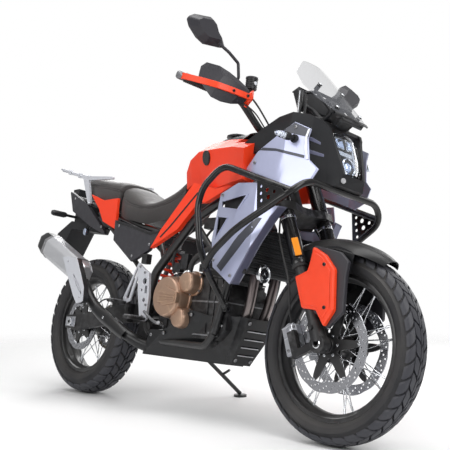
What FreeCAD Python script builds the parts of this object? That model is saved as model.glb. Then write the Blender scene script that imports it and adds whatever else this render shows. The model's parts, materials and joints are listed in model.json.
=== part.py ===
import FreeCAD, Part
import math
import os

from FreeCAD import Vector as V

# Adventure motorcycle, leaning on its side stand. Millimetres.
# The machine is drawn upright in the bike frame: +X forward, +Y to the rider's left, +Z up,
# tyres on z = 0. The front axle keeps its place and the swingarm reaches back to the rear one,
# which comes above x = 0. The last step leans the machine to the left, sets the tyres on the
# floor and moves the origin to the centre of the box's underside.

# Chassis geometry
WHEELBASE = 1510.0
FRONT_AXLE_X = 1510.0
CASTER = 25.5
FORK_OFFSET = 40.0
FORK_SPACING = 210.0
LEAN = 9.5

# Wheels
FRONT_TYRE_R = 329.0
FRONT_TYRE_W = 110.0
FRONT_TYRE_H = 75.0
REAR_TYRE_R = 321.0
REAR_TYRE_W = 150.0
REAR_TYRE_H = 92.0
FRONT_RIM_R = FRONT_TYRE_R - FRONT_TYRE_H
REAR_RIM_R = REAR_TYRE_R - REAR_TYRE_H
REAR_LACE_TURN = 5.0
SPOKE_R = 2.0
SPOKE_PAIRS = 16
AXLE_R = 12.5
AXLE_BORE_R = 8.0
BEARING_GAP = 0.08

# Brakes and chain
FRONT_DISC_R = 160.0
FRONT_DISC_Y = 57.0
REAR_DISC_R = 126.0
REAR_DISC_Y = 76.0
DISC_T = 5.0
PAD_GAP = 1.0
CHAIN_Y = 92.0
CHAIN_W = 16.0
CHAIN_H = 14.0
REAR_SPROCKET_R = 104.0
FRONT_SPROCKET_R = 40.0
FRONT_SPROCKET_X = 640.0
FRONT_SPROCKET_Z = 405.0

# Fork
STANCHION_R = 21.5
FORK_TUBE_R = 28.0
FORK_TUBE_LOW = 300.0
LOWER_CLAMP_T = 512.0
UPPER_CLAMP_T = 738.0
CLAMP_H = 34.0
FORK_TOP = UPPER_CLAMP_T + CLAMP_H + 6
HEAD_GAP = 6.0
HEAD_TUBE_R = 34.0
STEM_R = 15.0

# Running gear
SWINGARM_PIVOT_X = 560.0
SWINGARM_PIVOT_Z = 398.0
ARM_Y = 122.0
ARM_T = 26.0
STAND_LEG_R = 9.0
STAND_FOOT_X = 590.0
STAND_FOOT_Y = 455.0
SCREEN_PEG_Y = 66.0
SCREEN_PEG_LOW = 70.0
SCREEN_PEG_HIGH = 210.0
FENDER_R = FRONT_TYRE_R + 80.0
FENDER_BACK = 51.0
FENDER_DOWN = 35.0
FENDER_START = 53.0
FENDER_SWEEP = 58.0
SPRING_R = 33.0
SPRING_WIRE_R = 6.0
SPRING_TURNS = 6.5
SPRING_LOW = 98.0
SPRING_HIGH = 304.0
MIRROR_BACK_SCALE = 0.62
MIRROR_MIDDLE = (424.0, 327.0)
SHOCK_TUBE_X = 560.0
SHOCK_TUBE_Z = 740.0
STAND_STOWED = V(-0.97, 0.2, -0.1)
STAND_PIN_R = 6.0
SPOOL_AHEAD = 42.0
SPOOL_BELOW = 15.0
SPOOL_R = 3.4
SPOOL_DEPTH = 18.0
RACK_BARS = ((-330, 1096), (-230, 1070), (-140, 1050))
RACK_HOLE_Y = 72.0
RACK_HOLE_R = 4.2
RACK_BOSS_H = 22.0
CASE_HALF = 112.0
FRAME_CLEAR = 16.0
FRAME_Y = CASE_HALF + FRAME_CLEAR
PIVOT_R = 12.0
PEG_LENGTH = 90.0
RAIL_R = 12.0
CROSS_R = 10.0
RAIL_ROUTE = [V(640, FRAME_Y, 606), V(560, FRAME_Y - 16, 738), V(420, 104, 770)]
RAIL_ROUTE += [V(60, 104, 880), V(-210, 92, 950)]
ARM_FRONT_Y = 89.0
FRONT_HUB_HALF = 72.0
REAR_HUB_HALF = 101.0
CLUTCH_OUT = 74.0
PUMP_OUT = 60.0
GENERATOR_OUT = 60.0
SKID_FRONT_LOW = 50.0
SKID_FRONT_TOP = 82.0
SCREEN_BEND_R = 360.0
UPPER_PLAN = [(1060, 186), (1200, 206), (1330, 196), (1400, 176), (1500, 140)]
LOWER_PLAN = [(980, 200), (1020, 205), (1150, 218), (1230, 214), (1300, 190), (1380, 150)]
COWL_PLAN = [(1060, 176), (1330, 172), (1400, 136), (1450, 92), (1510, 58)]

# Bodywork and bars
CRASH_BAR_R = 12.5
BAR_R = 14.3
BAR_BACK = 13.4
BAR_ABOVE = 125.9
GRIP_R = 17.0
SHEET = 4.0
SEAT_GAP = 0.3

FRONT_AXLE = V(FRONT_AXLE_X, 0, FRONT_TYRE_R)
REAR_AXLE = V(FRONT_AXLE_X - WHEELBASE, 0, REAR_TYRE_R)
STAND_PIVOT = V(545, FRAME_Y + 30, 288)
SPOOL_X = REAR_AXLE.x + SPOOL_AHEAD
SPOOL_Z = REAR_AXLE.z - SPOOL_BELOW


# Small geometry helpers

def unit(v):
    """The direction of a vector."""
    return v * (1.0 / v.Length)


def cylinder(start, end, radius):
    """A round bar between two points."""
    span = end - start
    return Part.makeCylinder(radius, span.Length, start, span)


def box(x, y, z):
    """A box from three (low, high) pairs."""
    return Part.makeBox(x[1] - x[0], y[1] - y[0], z[1] - z[0], V(x[0], y[0], z[0]))


def fuse(shapes):
    """One solid, or as few as possible, out of several."""
    shapes = list(shapes)
    if len(shapes) == 1:
        return shapes[0]
    return shapes[0].multiFuse(shapes[1:]).removeSplitter()


def mirrored(shape):
    """The same shape on the other side of the centre plane."""
    return shape.mirror(V(0, 0, 0), V(0, 1, 0))


def both(shape):
    """A shape and its mirror image."""
    return Part.makeCompound([shape, mirrored(shape)])


def corner_edges(points, radius, closed=False):
    """Straight runs through points, with a tangent arc of one radius at each corner."""
    count = len(points)
    first = 0 if closed else 1
    last = count if closed else count - 1
    starts = list(points)
    ends = list(points)
    arcs = {}
    for i in range(first, last):
        here = points[i]
        back = unit(points[i - 1] - here)
        ahead = unit(points[(i + 1) % count] - here)
        turn = math.pi - back.getAngle(ahead)
        if turn < 0.01:
            continue
        room = 0.45 * min((points[i - 1] - here).Length, (points[(i + 1) % count] - here).Length)
        cut = min(radius * math.tan(turn / 2), room)
        rad = cut / math.tan(turn / 2)
        middle = here + unit(back + ahead) * (rad / math.cos(turn / 2) - rad)
        ends[i] = here + back * cut
        starts[i] = here + ahead * cut
        arcs[i] = Part.Arc(ends[i], middle, starts[i]).toShape()
    edges = []
    for i in range(count if closed else count - 1):
        j = (i + 1) % count
        edges.append(Part.LineSegment(starts[i], ends[j]).toShape())
        if j in arcs:
            edges.append(arcs[j])
    return edges


def tube(points, radius, bend=60.0):
    """A round tube along straight runs joined by tangent arcs."""
    path = Part.Wire(corner_edges(points, bend))
    start = points[0]
    ring = Part.Wire(Part.makeCircle(radius, start, points[1] - start))
    return path.makePipeShell([ring], True, True)


def side_plate(outline, y0, y1, corner=0.0):
    """A plate drawn in side view as (x, z) corners and filled from y0 to y1."""
    points = [V(x, y0, z) for x, z in outline]
    if corner:
        wire = Part.Wire(corner_edges(points, corner, True))
    else:
        wire = Part.makePolygon(points + [points[0]])
    return Part.Face(wire).extrude(V(0, y1 - y0, 0))


def plan_plate(outline, z0, z1, corner=0.0):
    """A plate drawn in plan as (x, y) corners and filled from z0 to z1."""
    points = [V(x, y, z0) for x, y in outline]
    if corner:
        wire = Part.Wire(corner_edges(points, corner, True))
    else:
        wire = Part.makePolygon(points + [points[0]])
    return Part.Face(wire).extrude(V(0, 0, z1 - z0))


def cover(outline, y_in, y_out, wall, corner=0.0):
    """A moulded side cover: a skin at y_out with walls back to y_in, open inside."""
    outer = side_plate(outline, y_in, y_out, corner)
    side = 1 if y_out > y_in else -1
    face = outer.Faces[-1]
    for candidate in outer.Faces:
        if abs(candidate.CenterOfMass.y - y_in) < 0.01:
            face = candidate
    rim = face.OuterWire.makeOffset2D(-wall)
    core = Part.Face(rim).extrude(V(0, y_out - y_in - side * wall, 0))
    return outer.cut(core)


def half_section(x, profile):
    """A closed cross-section at one x from (y, z) corners of its left half."""
    left = [V(x, y, z) for y, z in profile]
    right = [V(x, -y, z) for y, z in reversed(profile) if y > 0.01]
    points = left + right
    return Part.makePolygon(points + [points[0]])


def body_loft(sections):
    """A faceted body through mirrored cross-sections (x, left half profile)."""
    return Part.makeLoft([half_section(x, profile) for x, profile in sections], True, True)


def ring_solid(centre, y0, y1, r_out, r_in):
    """A flat ring about a wheel's axis."""
    outer = Part.makeCylinder(r_out, y1 - y0, V(centre.x, y0, centre.z), V(0, 1, 0))
    inner = Part.makeCylinder(r_in, y1 - y0, V(centre.x, y0, centre.z), V(0, 1, 0))
    return outer.cut(inner)


def lathe(centre, profile):
    """A full turn of a (radius, y) outline about a wheel's axis."""
    points = [V(centre.x, y, centre.z + r) for r, y in profile]
    face = Part.Face(Part.makePolygon(points + [points[0]]))
    return face.revolve(centre, V(0, 1, 0), 360)


def about(centre, radius, degrees, y=0.0):
    """A point on a circle round a wheel's axis; 0 points forward, 90 up."""
    angle = math.radians(degrees)
    return V(centre.x + radius * math.cos(angle), y, centre.z + radius * math.sin(angle))


def fork_place(shape):
    """Moves a piece from the fork's own frame (forward, left, up the legs) to the bike's."""
    placed = shape.copy()
    turn = FreeCAD.Rotation(V(0, 1, 0), -CASTER)
    placed.Placement = FreeCAD.Placement(FRONT_AXLE, turn).multiply(placed.Placement)
    return placed


def fork_point(n, y, t):
    """A point of the fork's own frame, in the bike frame."""
    c = math.radians(CASTER)
    return FRONT_AXLE + V(n * math.cos(c) - t * math.sin(c), y, n * math.sin(c) + t * math.cos(c))


# Wheels

def tyre(centre, radius, width, rim_r):
    """A tyre carcass with a flattened crown, shoulders and beads on the rim."""
    half = width / 2
    profile = [
        (radius, 0.0),
        (radius - 0.03 * width, 0.26 * width),
        (radius - 0.17 * width, 0.44 * width),
        (radius - 0.36 * width, half),
        (rim_r + 14, 0.47 * width),
        (rim_r + 0.5, 0.34 * width),
        (rim_r + 0.5, 0.26 * width),
        (rim_r + 12, 0.30 * width),
        (radius - 0.30 * width, 0.36 * width),
        (radius - 0.14 * width, 0.0),
    ]
    right = [(r, -y) for r, y in reversed(profile[1:-1])]
    return lathe(centre, profile + right)


def rim(centre, rim_r, width):
    """A drop-centre rim."""
    half = 0.34 * width
    outer = [(rim_r, half), (rim_r, 0.22 * width), (rim_r - 22, 0.12 * width)]
    inner = [(rim_r - 30, 0.12 * width), (rim_r - 14, 0.24 * width), (rim_r - 12, half)]
    profile = outer + [(r, -y) for r, y in reversed(outer)]
    profile += [(r, -y) for r, y in reversed(inner)] + inner
    return lathe(centre, profile)


def hub(centre, flange_r, flange_y, core_r, half_length):
    """A spool hub with two spoke flanges and a through bore."""
    bore = AXLE_R + BEARING_GAP
    profile = [(bore, half_length), (core_r, half_length), (core_r, flange_y + 5)]
    profile += [(flange_r, flange_y + 5), (flange_r, flange_y - 3), (core_r + 6, flange_y - 10)]
    mirrored_half = [(r, -y) for r, y in reversed(profile)]
    return lathe(centre, profile + mirrored_half)


def spokes(centre, flange_r, flange_y, rim_r, start):
    """Crossed wire spokes from both flanges to the rim's well."""
    wires = []
    step = 360.0 / SPOKE_PAIRS
    for k in range(SPOKE_PAIRS):
        for side in (1, -1):
            base = start + k * step + (step / 2 if side < 0 else 0)
            lead = 34 if k % 2 else -34
            low = about(centre, flange_r - 6, base, side * flange_y)
            high = about(centre, rim_r - 26, base + lead, side * 4)
            wires.append(cylinder(low, high, SPOKE_R))
    return wires


def wire_wheel(centre, rim_r, width, flange_r, flange_y, core_r, half_length, start=0.0):
    """A laced wheel in one piece: rim, spokes and hub."""
    pieces = [rim(centre, rim_r, width), hub(centre, flange_r, flange_y, core_r, half_length)]
    return fuse(pieces + spokes(centre, flange_r, flange_y, rim_r, start))


def front_wheel():
    """The front rim, hub and spokes."""
    return wire_wheel(FRONT_AXLE, FRONT_RIM_R, FRONT_TYRE_W, 44.0, 34.0, 26.0, FRONT_HUB_HALF)


def rear_wheel():
    """The rear rim, hub and spokes."""
    return wire_wheel(REAR_AXLE, REAR_RIM_R, REAR_TYRE_W, 58.0, 44.0, 34.0, REAR_HUB_HALF, REAR_LACE_TURN)


def brake_disc(centre, y, radius, band, carrier_r, hub_r):
    """A disc band on a six-armed carrier, bolted against its hub step."""
    low = y - DISC_T / 2
    high = y + DISC_T / 2
    band_ring = ring_solid(centre, low, high, radius, radius - band)
    carrier = ring_solid(centre, low, high, carrier_r, hub_r)
    arms = []
    for k in range(6):
        inner = about(centre, carrier_r - 8, 60 * k, y)
        outer = about(centre, radius - band + 6, 60 * k + 14, y)
        arms.append(cylinder(inner, outer, DISC_T / 2 + 1))
    return fuse([band_ring, carrier] + arms)


def front_discs():
    """Twin front discs on the hub's shoulders."""
    disc = brake_disc(FRONT_AXLE, FRONT_DISC_Y, FRONT_DISC_R, 34.0, 62.0, 26.0)
    return both(disc)


def rear_disc():
    """The rear disc, on the right of the hub."""
    return brake_disc(REAR_AXLE, -REAR_DISC_Y, REAR_DISC_R, 30.0, 70.0, 34.0)


def rear_sprocket():
    """The driven sprocket, on the left of the hub, its teeth inside the chain's run."""
    plate = ring_solid(REAR_AXLE, CHAIN_Y - 3.5, CHAIN_Y + 3.5, REAR_SPROCKET_R - CHAIN_H / 2 - 1, 34.0)
    return plate


# Fork and steering, drawn in the fork's own frame

def fork_tubes():
    """Outer tubes of the upside-down fork, with their caps and wipers."""
    y = FORK_SPACING / 2
    body = Part.makeCylinder(FORK_TUBE_R, FORK_TOP - FORK_TUBE_LOW, V(0, y, FORK_TUBE_LOW))
    lip = Part.makeCylinder(FORK_TUBE_R + 3, 22, V(0, y, FORK_TUBE_LOW - 6))
    cap = Part.makeCylinder(18, 12, V(0, y, FORK_TOP))
    bore = Part.makeCylinder(STANCHION_R + SEAT_GAP, 70, V(0, y, FORK_TUBE_LOW - 20))
    return fork_place(both(fuse([body, lip, cap]).cut(bore)))


def fork_legs():
    """Inner fork tubes, axle lugs with caliper ears, and the hollow front axle."""
    y = FORK_SPACING / 2
    leg = Part.makeCylinder(STANCHION_R, FORK_TUBE_LOW + 25, V(0, y, 15))
    lug = Part.makeCylinder(31, 38, V(0, y - 18, 0), V(0, 1, 0))
    shank = Part.makeCone(29, 25, 75, V(0, y, 5))
    ear = box((-112, -14), (y - 18, y + 2), (-4, 22))
    ear_up = box((-128, -96), (y - 18, y + 2), (-4, 92))
    boss = Part.makeCylinder(9, 14, V(0, y + 20, 58), V(0, 1, 0))
    spacer = Part.makeCylinder(20, y - 10 - FRONT_HUB_HALF, V(0, FRONT_HUB_HALF + 0.5, 0), V(0, 1, 0))
    side = fuse([leg, lug, shank, ear, ear_up, boss, spacer])
    axle = Part.makeCylinder(AXLE_R, FORK_SPACING + 46, V(0, -FORK_SPACING / 2 - 23, 0), V(0, 1, 0))
    hollow = Part.makeCylinder(AXLE_BORE_R, FORK_SPACING + 60, V(0, -FORK_SPACING / 2 - 30, 0), V(0, 1, 0))
    return fork_place(fuse([side, mirrored(side), axle]).cut(hollow))


def bar_place(x, y, z):
    """A place given from the middle of the handlebar, which stands on the upper clamp."""
    return fork_point(-BAR_BACK, 0, UPPER_CLAMP_T + BAR_ABOVE) + V(x, y, z)


def clamp_plate(t, height, fork_grip, nose):
    """One fork clamp: eyes round both tubes, joined through the stem's boss."""
    y = FORK_SPACING / 2
    reach = y + FORK_TUBE_R + fork_grip
    outline = [(-FORK_OFFSET - 32, -34), (-FORK_OFFSET - 32, 34), (-24, reach - 6), (24, reach)]
    outline += [(34, y - 22), (nose, 30), (nose, -30), (34, -y + 22), (24, -reach), (-24, -reach + 6)]
    plate = plan_plate(outline, t, t + height, 12)
    for side in (1, -1):
        plate = plate.cut(Part.makeCylinder(FORK_TUBE_R, height, V(0, side * y, t)))
    return plate


def triple_clamps():
    """Lower and upper clamps on the steering stem, with the bar risers."""
    lower = clamp_plate(LOWER_CLAMP_T, CLAMP_H, 11, 20)
    upper = clamp_plate(UPPER_CLAMP_T, CLAMP_H - 8, 9, 12)
    top = UPPER_CLAMP_T + CLAMP_H + 4
    stem = Part.makeCylinder(STEM_R, top - LOWER_CLAMP_T, V(-FORK_OFFSET, 0, LOWER_CLAMP_T))
    nut = Part.makeCylinder(20, 8, V(-FORK_OFFSET, 0, UPPER_CLAMP_T + CLAMP_H - 8))
    risers = []
    height = (UPPER_CLAMP_T + CLAMP_H - 12, UPPER_CLAMP_T + BAR_ABOVE + BAR_R + 2)
    for side in (1, -1):
        risers.append(box((-36, 6), (side * 50 - 16, side * 50 + 16), height))
    body = fuse([lower, upper, stem, nut] + risers)
    return fork_place(body).cut(handlebar_tube())


def bar_points():
    """The handlebar's route from the right end to the left."""
    left = [bar_place(0, 70, 0), bar_place(-18, 118, 25)]
    left += [bar_place(-48, 205, 119), bar_place(-118, 442, 149)]
    right = [V(p.x, -p.y, p.z) for p in reversed(left)]
    return right + left


def handlebar_tube():
    """The tapered bar as one bent tube."""
    return tube(bar_points(), BAR_R, 55)


def grip_axis():
    """Start and direction of the left grip."""
    points = bar_points()
    outer = points[-1]
    inner = points[-2]
    return outer, unit(inner - outer)


def hand_controls():
    """Grips, switch pods, levers and the front brake's master cylinder."""
    outer, inward = grip_axis()
    hole = cylinder(outer - inward * 30, outer + inward * 300, BAR_R)
    grip = cylinder(outer + inward * 6, outer + inward * 128, GRIP_R)
    flange = cylinder(outer + inward * 128, outer + inward * 134, GRIP_R + 5)
    pod = cylinder(outer + inward * 136, outer + inward * 186, GRIP_R + 9)
    perch = cylinder(outer + inward * 190, outer + inward * 214, GRIP_R + 3)
    pivot = outer + inward * 196 + V(34, 0, -4)
    lever = tube([pivot, outer + inward * 150 + V(52, 0, -8), outer + inward * 12 + V(44, 0, -14)], 6, 30)
    arm = cylinder(outer + inward * 202, pivot, 9)
    left = fuse([grip, flange, pod, perch, arm, lever]).cut(hole)
    right = mirrored(left)
    cup_base = bar_place(-8, -198, 159)
    reservoir = Part.makeCylinder(22, 42, cup_base)
    foot = cylinder(bar_place(-32, -216, 125), cup_base + V(0, 0, 6), 10)
    right = fuse([right, reservoir, foot]).cut(mirrored(hole))
    return Part.makeCompound([left, right])


def handguard(side):
    """A strap from bar end to inner clamp with a faceted shield over it."""
    route = [bar_place(-118, 452, 148), bar_place(-64, 462, 159), bar_place(2, 360, 159)]
    strap = tube(route + [bar_place(24, 235, 135), bar_place(-34, 190, 93)], 9, 30)
    low = [bar_place(-28, 440, 115), bar_place(24, 360, 93), bar_place(40, 230, 77)]
    mid = [bar_place(-46, 462, 159), bar_place(20, 366, 159), bar_place(42, 232, 137)]
    high = [bar_place(-54, 428, 203), bar_place(-14, 330, 215), bar_place(0, 240, 183)]
    skin = []
    for a, b in ((low, mid), (mid, high)):
        for i in range(2):
            edge_a = Part.LineSegment(a[i], a[i + 1]).toShape()
            edge_b = Part.LineSegment(b[i], b[i + 1]).toShape()
            skin.append(Part.makeRuledSurface(edge_a, edge_b).extrude(V(SHEET, 0, 0)))
    spacers = [cylinder(bar_place(-21, 398, 159), bar_place(0, 402, 159), 8)]
    spacers.append(cylinder(bar_place(12, 290, 147), bar_place(33, 294, 147), 8))
    points = bar_points()
    shield = fuse(skin + spacers + [strap]).cut(cylinder(points[-1], points[-2], BAR_R))
    return shield if side > 0 else mirrored(shield)


def handguards():
    """Both handguards."""
    return Part.makeCompound([handguard(1), handguard(-1)])


def mirror_set():
    """Leaf-shaped mirrors on bent stems."""
    route = [bar_place(-60, 244, 140), bar_place(-30, 248, 197), bar_place(-26, 262, 247)]
    stem = tube(route + [bar_place(-28, 313, 273), bar_place(-42, 372, 301)], 6, 16)
    outline = [(316, 297), (336, 287), (419, 272), (458, 285), (498, 315), (514, 344)]
    outline += [(484, 366), (404, 385), (374, 367), (352, 328)]
    y, z = MIRROR_MIDDLE
    wires = []
    for x, size in ((-62, 0.95), (-50, 1.0), (-22, MIRROR_BACK_SCALE)):
        ring = [bar_place(x, y + (a - y) * size, z + (b - z) * size) for a, b in outline]
        wires.append(Part.Wire(corner_edges(ring, 12 * size, True)))
    housing = Part.makeLoft(wires, True, True)
    return both(fuse([stem, housing]))


def front_fender():
    """A crowned mudguard over the front tyre, rising to the rear, with cheeks inside the fork legs."""
    centre = FRONT_AXLE - V(FENDER_BACK, 0, FENDER_DOWN)
    r = FENDER_R
    top = [(r, 0), (r - 4, 40), (r - 18, 66), (r - 44, 79)]
    under = [(r - 44, 75), (r - 21, 62), (r - 8, 38), (r - SHEET, 0)]
    profile = top + under + [(rr, -y) for rr, y in reversed(under[:-1])]
    profile += [(rr, -y) for rr, y in reversed(top[1:])]
    points = [V(centre.x + rr, y, centre.z) for rr, y in profile]
    face = Part.Face(Part.makePolygon(points + [points[0]]))
    shell = face.revolve(centre, V(0, -1, 0), FENDER_SWEEP)
    shell.rotate(centre, V(0, 1, 0), -FENDER_START)
    foot = [(1566, 470), (1530, 412), (1490, 400)]
    cheek = side_plate([(1640, 690)] + foot + [(1330, 470), (1320, 690)], 75, 79)
    eye = side_plate([(1560, 680)] + foot + [(1400, 430), (1400, 680)], 79, 83)
    rim = Part.makeCylinder(r - 30, 200, centre + V(0, -100, 0), V(0, 1, 0))
    sides = [cheek.common(rim), eye.common(rim)]
    return fuse([shell] + sides + [mirrored(s) for s in sides])


def fork_guards():
    """Long covers outside the fork legs, open towards the wheel."""
    outline = [(1457, 661), (1506, 633), (1544, 605), (1564, 451), (1529, 389), (1498, 424)]
    outline += [(1428, 445), (1385, 552), (1437, 574), (1446, 609)]
    shell = cover(outline, 96, 141, SHEET, 6)
    return both(shell)


def front_calipers():
    """Radial calipers behind the legs, each straddling its disc."""
    y0 = FRONT_DISC_Y - DISC_T / 2 - PAD_GAP
    y1 = FRONT_DISC_Y + DISC_T / 2 + PAD_GAP
    outline = [(-170, 18), (-118, 18), (-96, 40), (-98, 118), (-130, 132), (-164, 122)]
    body = side_plate(outline, y0 - 16, y1 + 22, 8)
    slot = box((-162, 60), (y0, y1), (-60, 200))
    wheel_room = Part.makeCylinder(90, 200, V(0, -100, 0), V(0, 1, 0))
    caliper = body.cut(slot).cut(wheel_room)
    return fork_place(both(caliper))


# Frame and running gear

def main_frame():
    """Steering head, spars, down tubes, cradle, seat rails and stays in one weldment."""
    head = Part.makeCylinder(HEAD_TUBE_R, UPPER_CLAMP_T - LOWER_CLAMP_T - CLAMP_H - 2 * HEAD_GAP,
                             V(-FORK_OFFSET, 0, LOWER_CLAMP_T + CLAMP_H + HEAD_GAP))
    bore = Part.makeCylinder(STEM_R + SEAT_GAP, 400, V(-FORK_OFFSET, 0, LOWER_CLAMP_T - 20))
    head = fork_place(head)
    bore = fork_place(bore)
    top = fork_point(-FORK_OFFSET, 0, UPPER_CLAMP_T - 40)
    low = fork_point(-FORK_OFFSET, 0, LOWER_CLAMP_T + 62)
    pivot = V(SWINGARM_PIVOT_X, FRAME_Y, SWINGARM_PIVOT_Z)
    upper_knee = V(800, FRAME_Y, 780)
    lower_knee = V(1052, FRAME_Y, 540)
    toe = V(1000, FRAME_Y, 330)
    spar = tube([top + V(-10, 22, 0), V(1010, 96, 905), upper_knee, V(590, FRAME_Y, 560), pivot], 19, 90)
    lower = tube([low + V(-10, 18, 0), V(1100, 100, 745), lower_knee, toe], 16, 90)
    belly = [V(960, FRAME_Y, 278), V(700, FRAME_Y, 278), V(585, FRAME_Y, 314)]
    cradle = tube([toe] + belly + [pivot], 14, 50)
    brace = tube([lower_knee, upper_knee], 12)
    rail = tube(RAIL_ROUTE, RAIL_R, 60)
    stay = tube([V(578, FRAME_Y, 500), V(330, 118, 680), V(60, 104, 850)], 11, 60)
    sides = [spar, lower, cradle, brace, rail, stay]
    cross = [cylinder(V(pivot.x, -FRAME_Y, pivot.z), pivot, PIVOT_R)]
    for x, y, z in ((60, 104, 880), (-200, 92, 946), (SHOCK_TUBE_X, FRAME_Y - 16, SHOCK_TUBE_Z)):
        cross.append(cylinder(V(x, -y, z), V(x, y, z), CROSS_R))
    outline = [(526, 276), (590, 262), (612, 330), (570, 398), (540, 398)]
    plate = side_plate(outline, FRAME_Y - 8, FRAME_Y + 8, 6)
    sides.append(plate)
    return fuse([head, stand_bracket()] + sides + [mirrored(s) for s in sides] + cross).cut(bore)


def engine_cases():
    """The crankcase and gearbox as one block with its sump."""
    outline = [(632, 352), (700, 306), (1000, 306), (1046, 350), (1046, 470), (1000, 540)]
    case = side_plate(outline + [(700, 560), (628, 500)], -CASE_HALF, CASE_HALF, 22)
    sump = side_plate([(740, 276), (960, 276), (990, 307), (720, 307)], -84, 84, 10)
    inner = V(FRONT_SPROCKET_X, CHAIN_Y - 14, FRONT_SPROCKET_Z)
    pocket = cylinder(inner, V(inner.x, CASE_HALF + 18, inner.z), 58)
    return fuse([case, sump]).cut(pocket)


def cylinder_block():
    """Forward-leaning twin cylinders with their head and cover."""
    barrel = side_plate([(850, 530), (1006, 520), (1036, 690), (890, 712)], -98, 98, 8)
    outline = [(880, 700), (1048, 676), (1070, 770), (1044, 806), (930, 824), (896, 796)]
    head = side_plate(outline, -86, 86, 16)
    fins = []
    for k in range(5):
        z = 560 + 24 * k
        fin = [(852 + 4 * k, z), (1018 + 4 * k, z - 20), (1020 + 4 * k, z - 14), (853 + 4 * k, z + 6)]
        fins.append(side_plate(fin, -106, 106))
    return fuse([barrel, head] + fins)


def round_cover(x, z, y0, y1, radius, lip):
    """A round engine cover with a stepped rim, drawn outwards from y0 to y1."""
    side = 1 if y1 > y0 else -1
    base = Part.makeCylinder(radius, abs(y1 - y0) - 12, V(x, y0, z), V(0, side, 0))
    crown = Part.makeCone(radius - 2, radius - lip, 12, V(x, y1 - side * 12, z), V(0, side, 0))
    return fuse([base, crown])


def engine_covers():
    """Clutch, water pump and lower covers on the right, generator cover on the left."""
    face = -CASE_HALF - CLUTCH_OUT
    clutch = round_cover(742, 458, -CASE_HALF, face, 84, 12)
    boss = [(700, 470), (742, 500), (822, 478), (822, 430), (742, 420), (700, 440)]
    wedge = side_plate(boss, face - 10, face + 36, 10)
    ribs = [side_plate([(706 + 4 * k, 476 - 13 * k), (800, 470 - 13 * k), (800, 475 - 13 * k),
                        (706 + 4 * k, 481 - 13 * k)], face - 15, face - 8) for k in range(3)]
    pump = round_cover(838, 520, -CASE_HALF, -CASE_HALF - PUMP_OUT, 44, 8)
    lower = round_cover(812, 378, -CASE_HALF, -CASE_HALF - PUMP_OUT + 2, 42, 8)
    right = fuse([clutch, wedge, pump, lower] + ribs)
    generator = round_cover(900, 430, CASE_HALF, CASE_HALF + GENERATOR_OUT, 92, 14)
    gearbox = round_cover(770, 500, CASE_HALF, CASE_HALF + 34, 50, 10)
    return Part.makeCompound([right, fuse([generator, gearbox])])


def radiator():
    """A finned radiator ahead of the down tubes, with ears to the frame and to the side panels."""
    outline = [(1130, 742), (1152, 560), (1188, 556), (1168, 740)]
    core = side_plate(outline, -176, 176, 5)
    grooves = []
    for k in range(19):
        z = 570 + 9 * k
        x = 1188 - (z - 556) * 20.0 / 184
        grooves.append(box((x - 8, x + 12), (-158, 158), (z, z + 5)))
    ear = box((1100, 1134), (94, 106), (712, 738))
    pegs = [cylinder(V(x, 170, z), V(x, 240, z), 7) for x, z in ((1143, 722), (1160, 590))]
    core = core.cut(Part.makeCompound(grooves))
    sides = [ear]
    for peg in pegs:
        ends = peg.cut(lower_shroud()).Solids
        sides.append(min(ends, key=lambda solid: solid.CenterOfMass.y))
    return fuse([core] + sides + [mirrored(piece) for piece in sides])


def exhaust_pipes():
    """Two header pipes into a collector that runs back to the silencer."""
    pipes = []
    for side in (1, -1):
        route = [V(1050, side * 46, 736), V(1100, side * 50, 712), V(1122, side * 56, 600)]
        route += [V(1110, side * 50, 420), V(1076, side * 36, 290), V(1000, side * 24, 247)]
        pipes.append(tube(route, 19, 60))
    run = [V(1000, 0, 247), V(900, 0, 246), V(690, -36, 245), V(600, -134, 248), V(520, -180, 286)]
    run += [V(372, -196, 352), V(272, -212, 404), V(196, -226, 500)]
    collector = box((880, 1010), (-44, 44), (230, 262))
    return fuse(pipes + [collector, tube(run, 24, 70)])


def silencer():
    """The silencer can with the shield clipped to its front end."""
    return fuse([silencer_can(), heat_shield()])


def heat_shield():
    """The slotted shield over the pipe ahead of the silencer."""
    outline = [(112, 604), (196, 600), (280, 556), (334, 412), (299, 384), (208, 416), (150, 470)]
    shield = cover(outline, -262, -292, SHEET, 8)
    for k in range(3):
        x = 206 + 24 * k
        z = 520 - 8 * k
        slot = side_plate([(x, z), (x + 30, z - 58), (x + 37, z - 54), (x + 7, z + 5)], -300, -250)
        shield = shield.cut(slot)
    return shield


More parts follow.
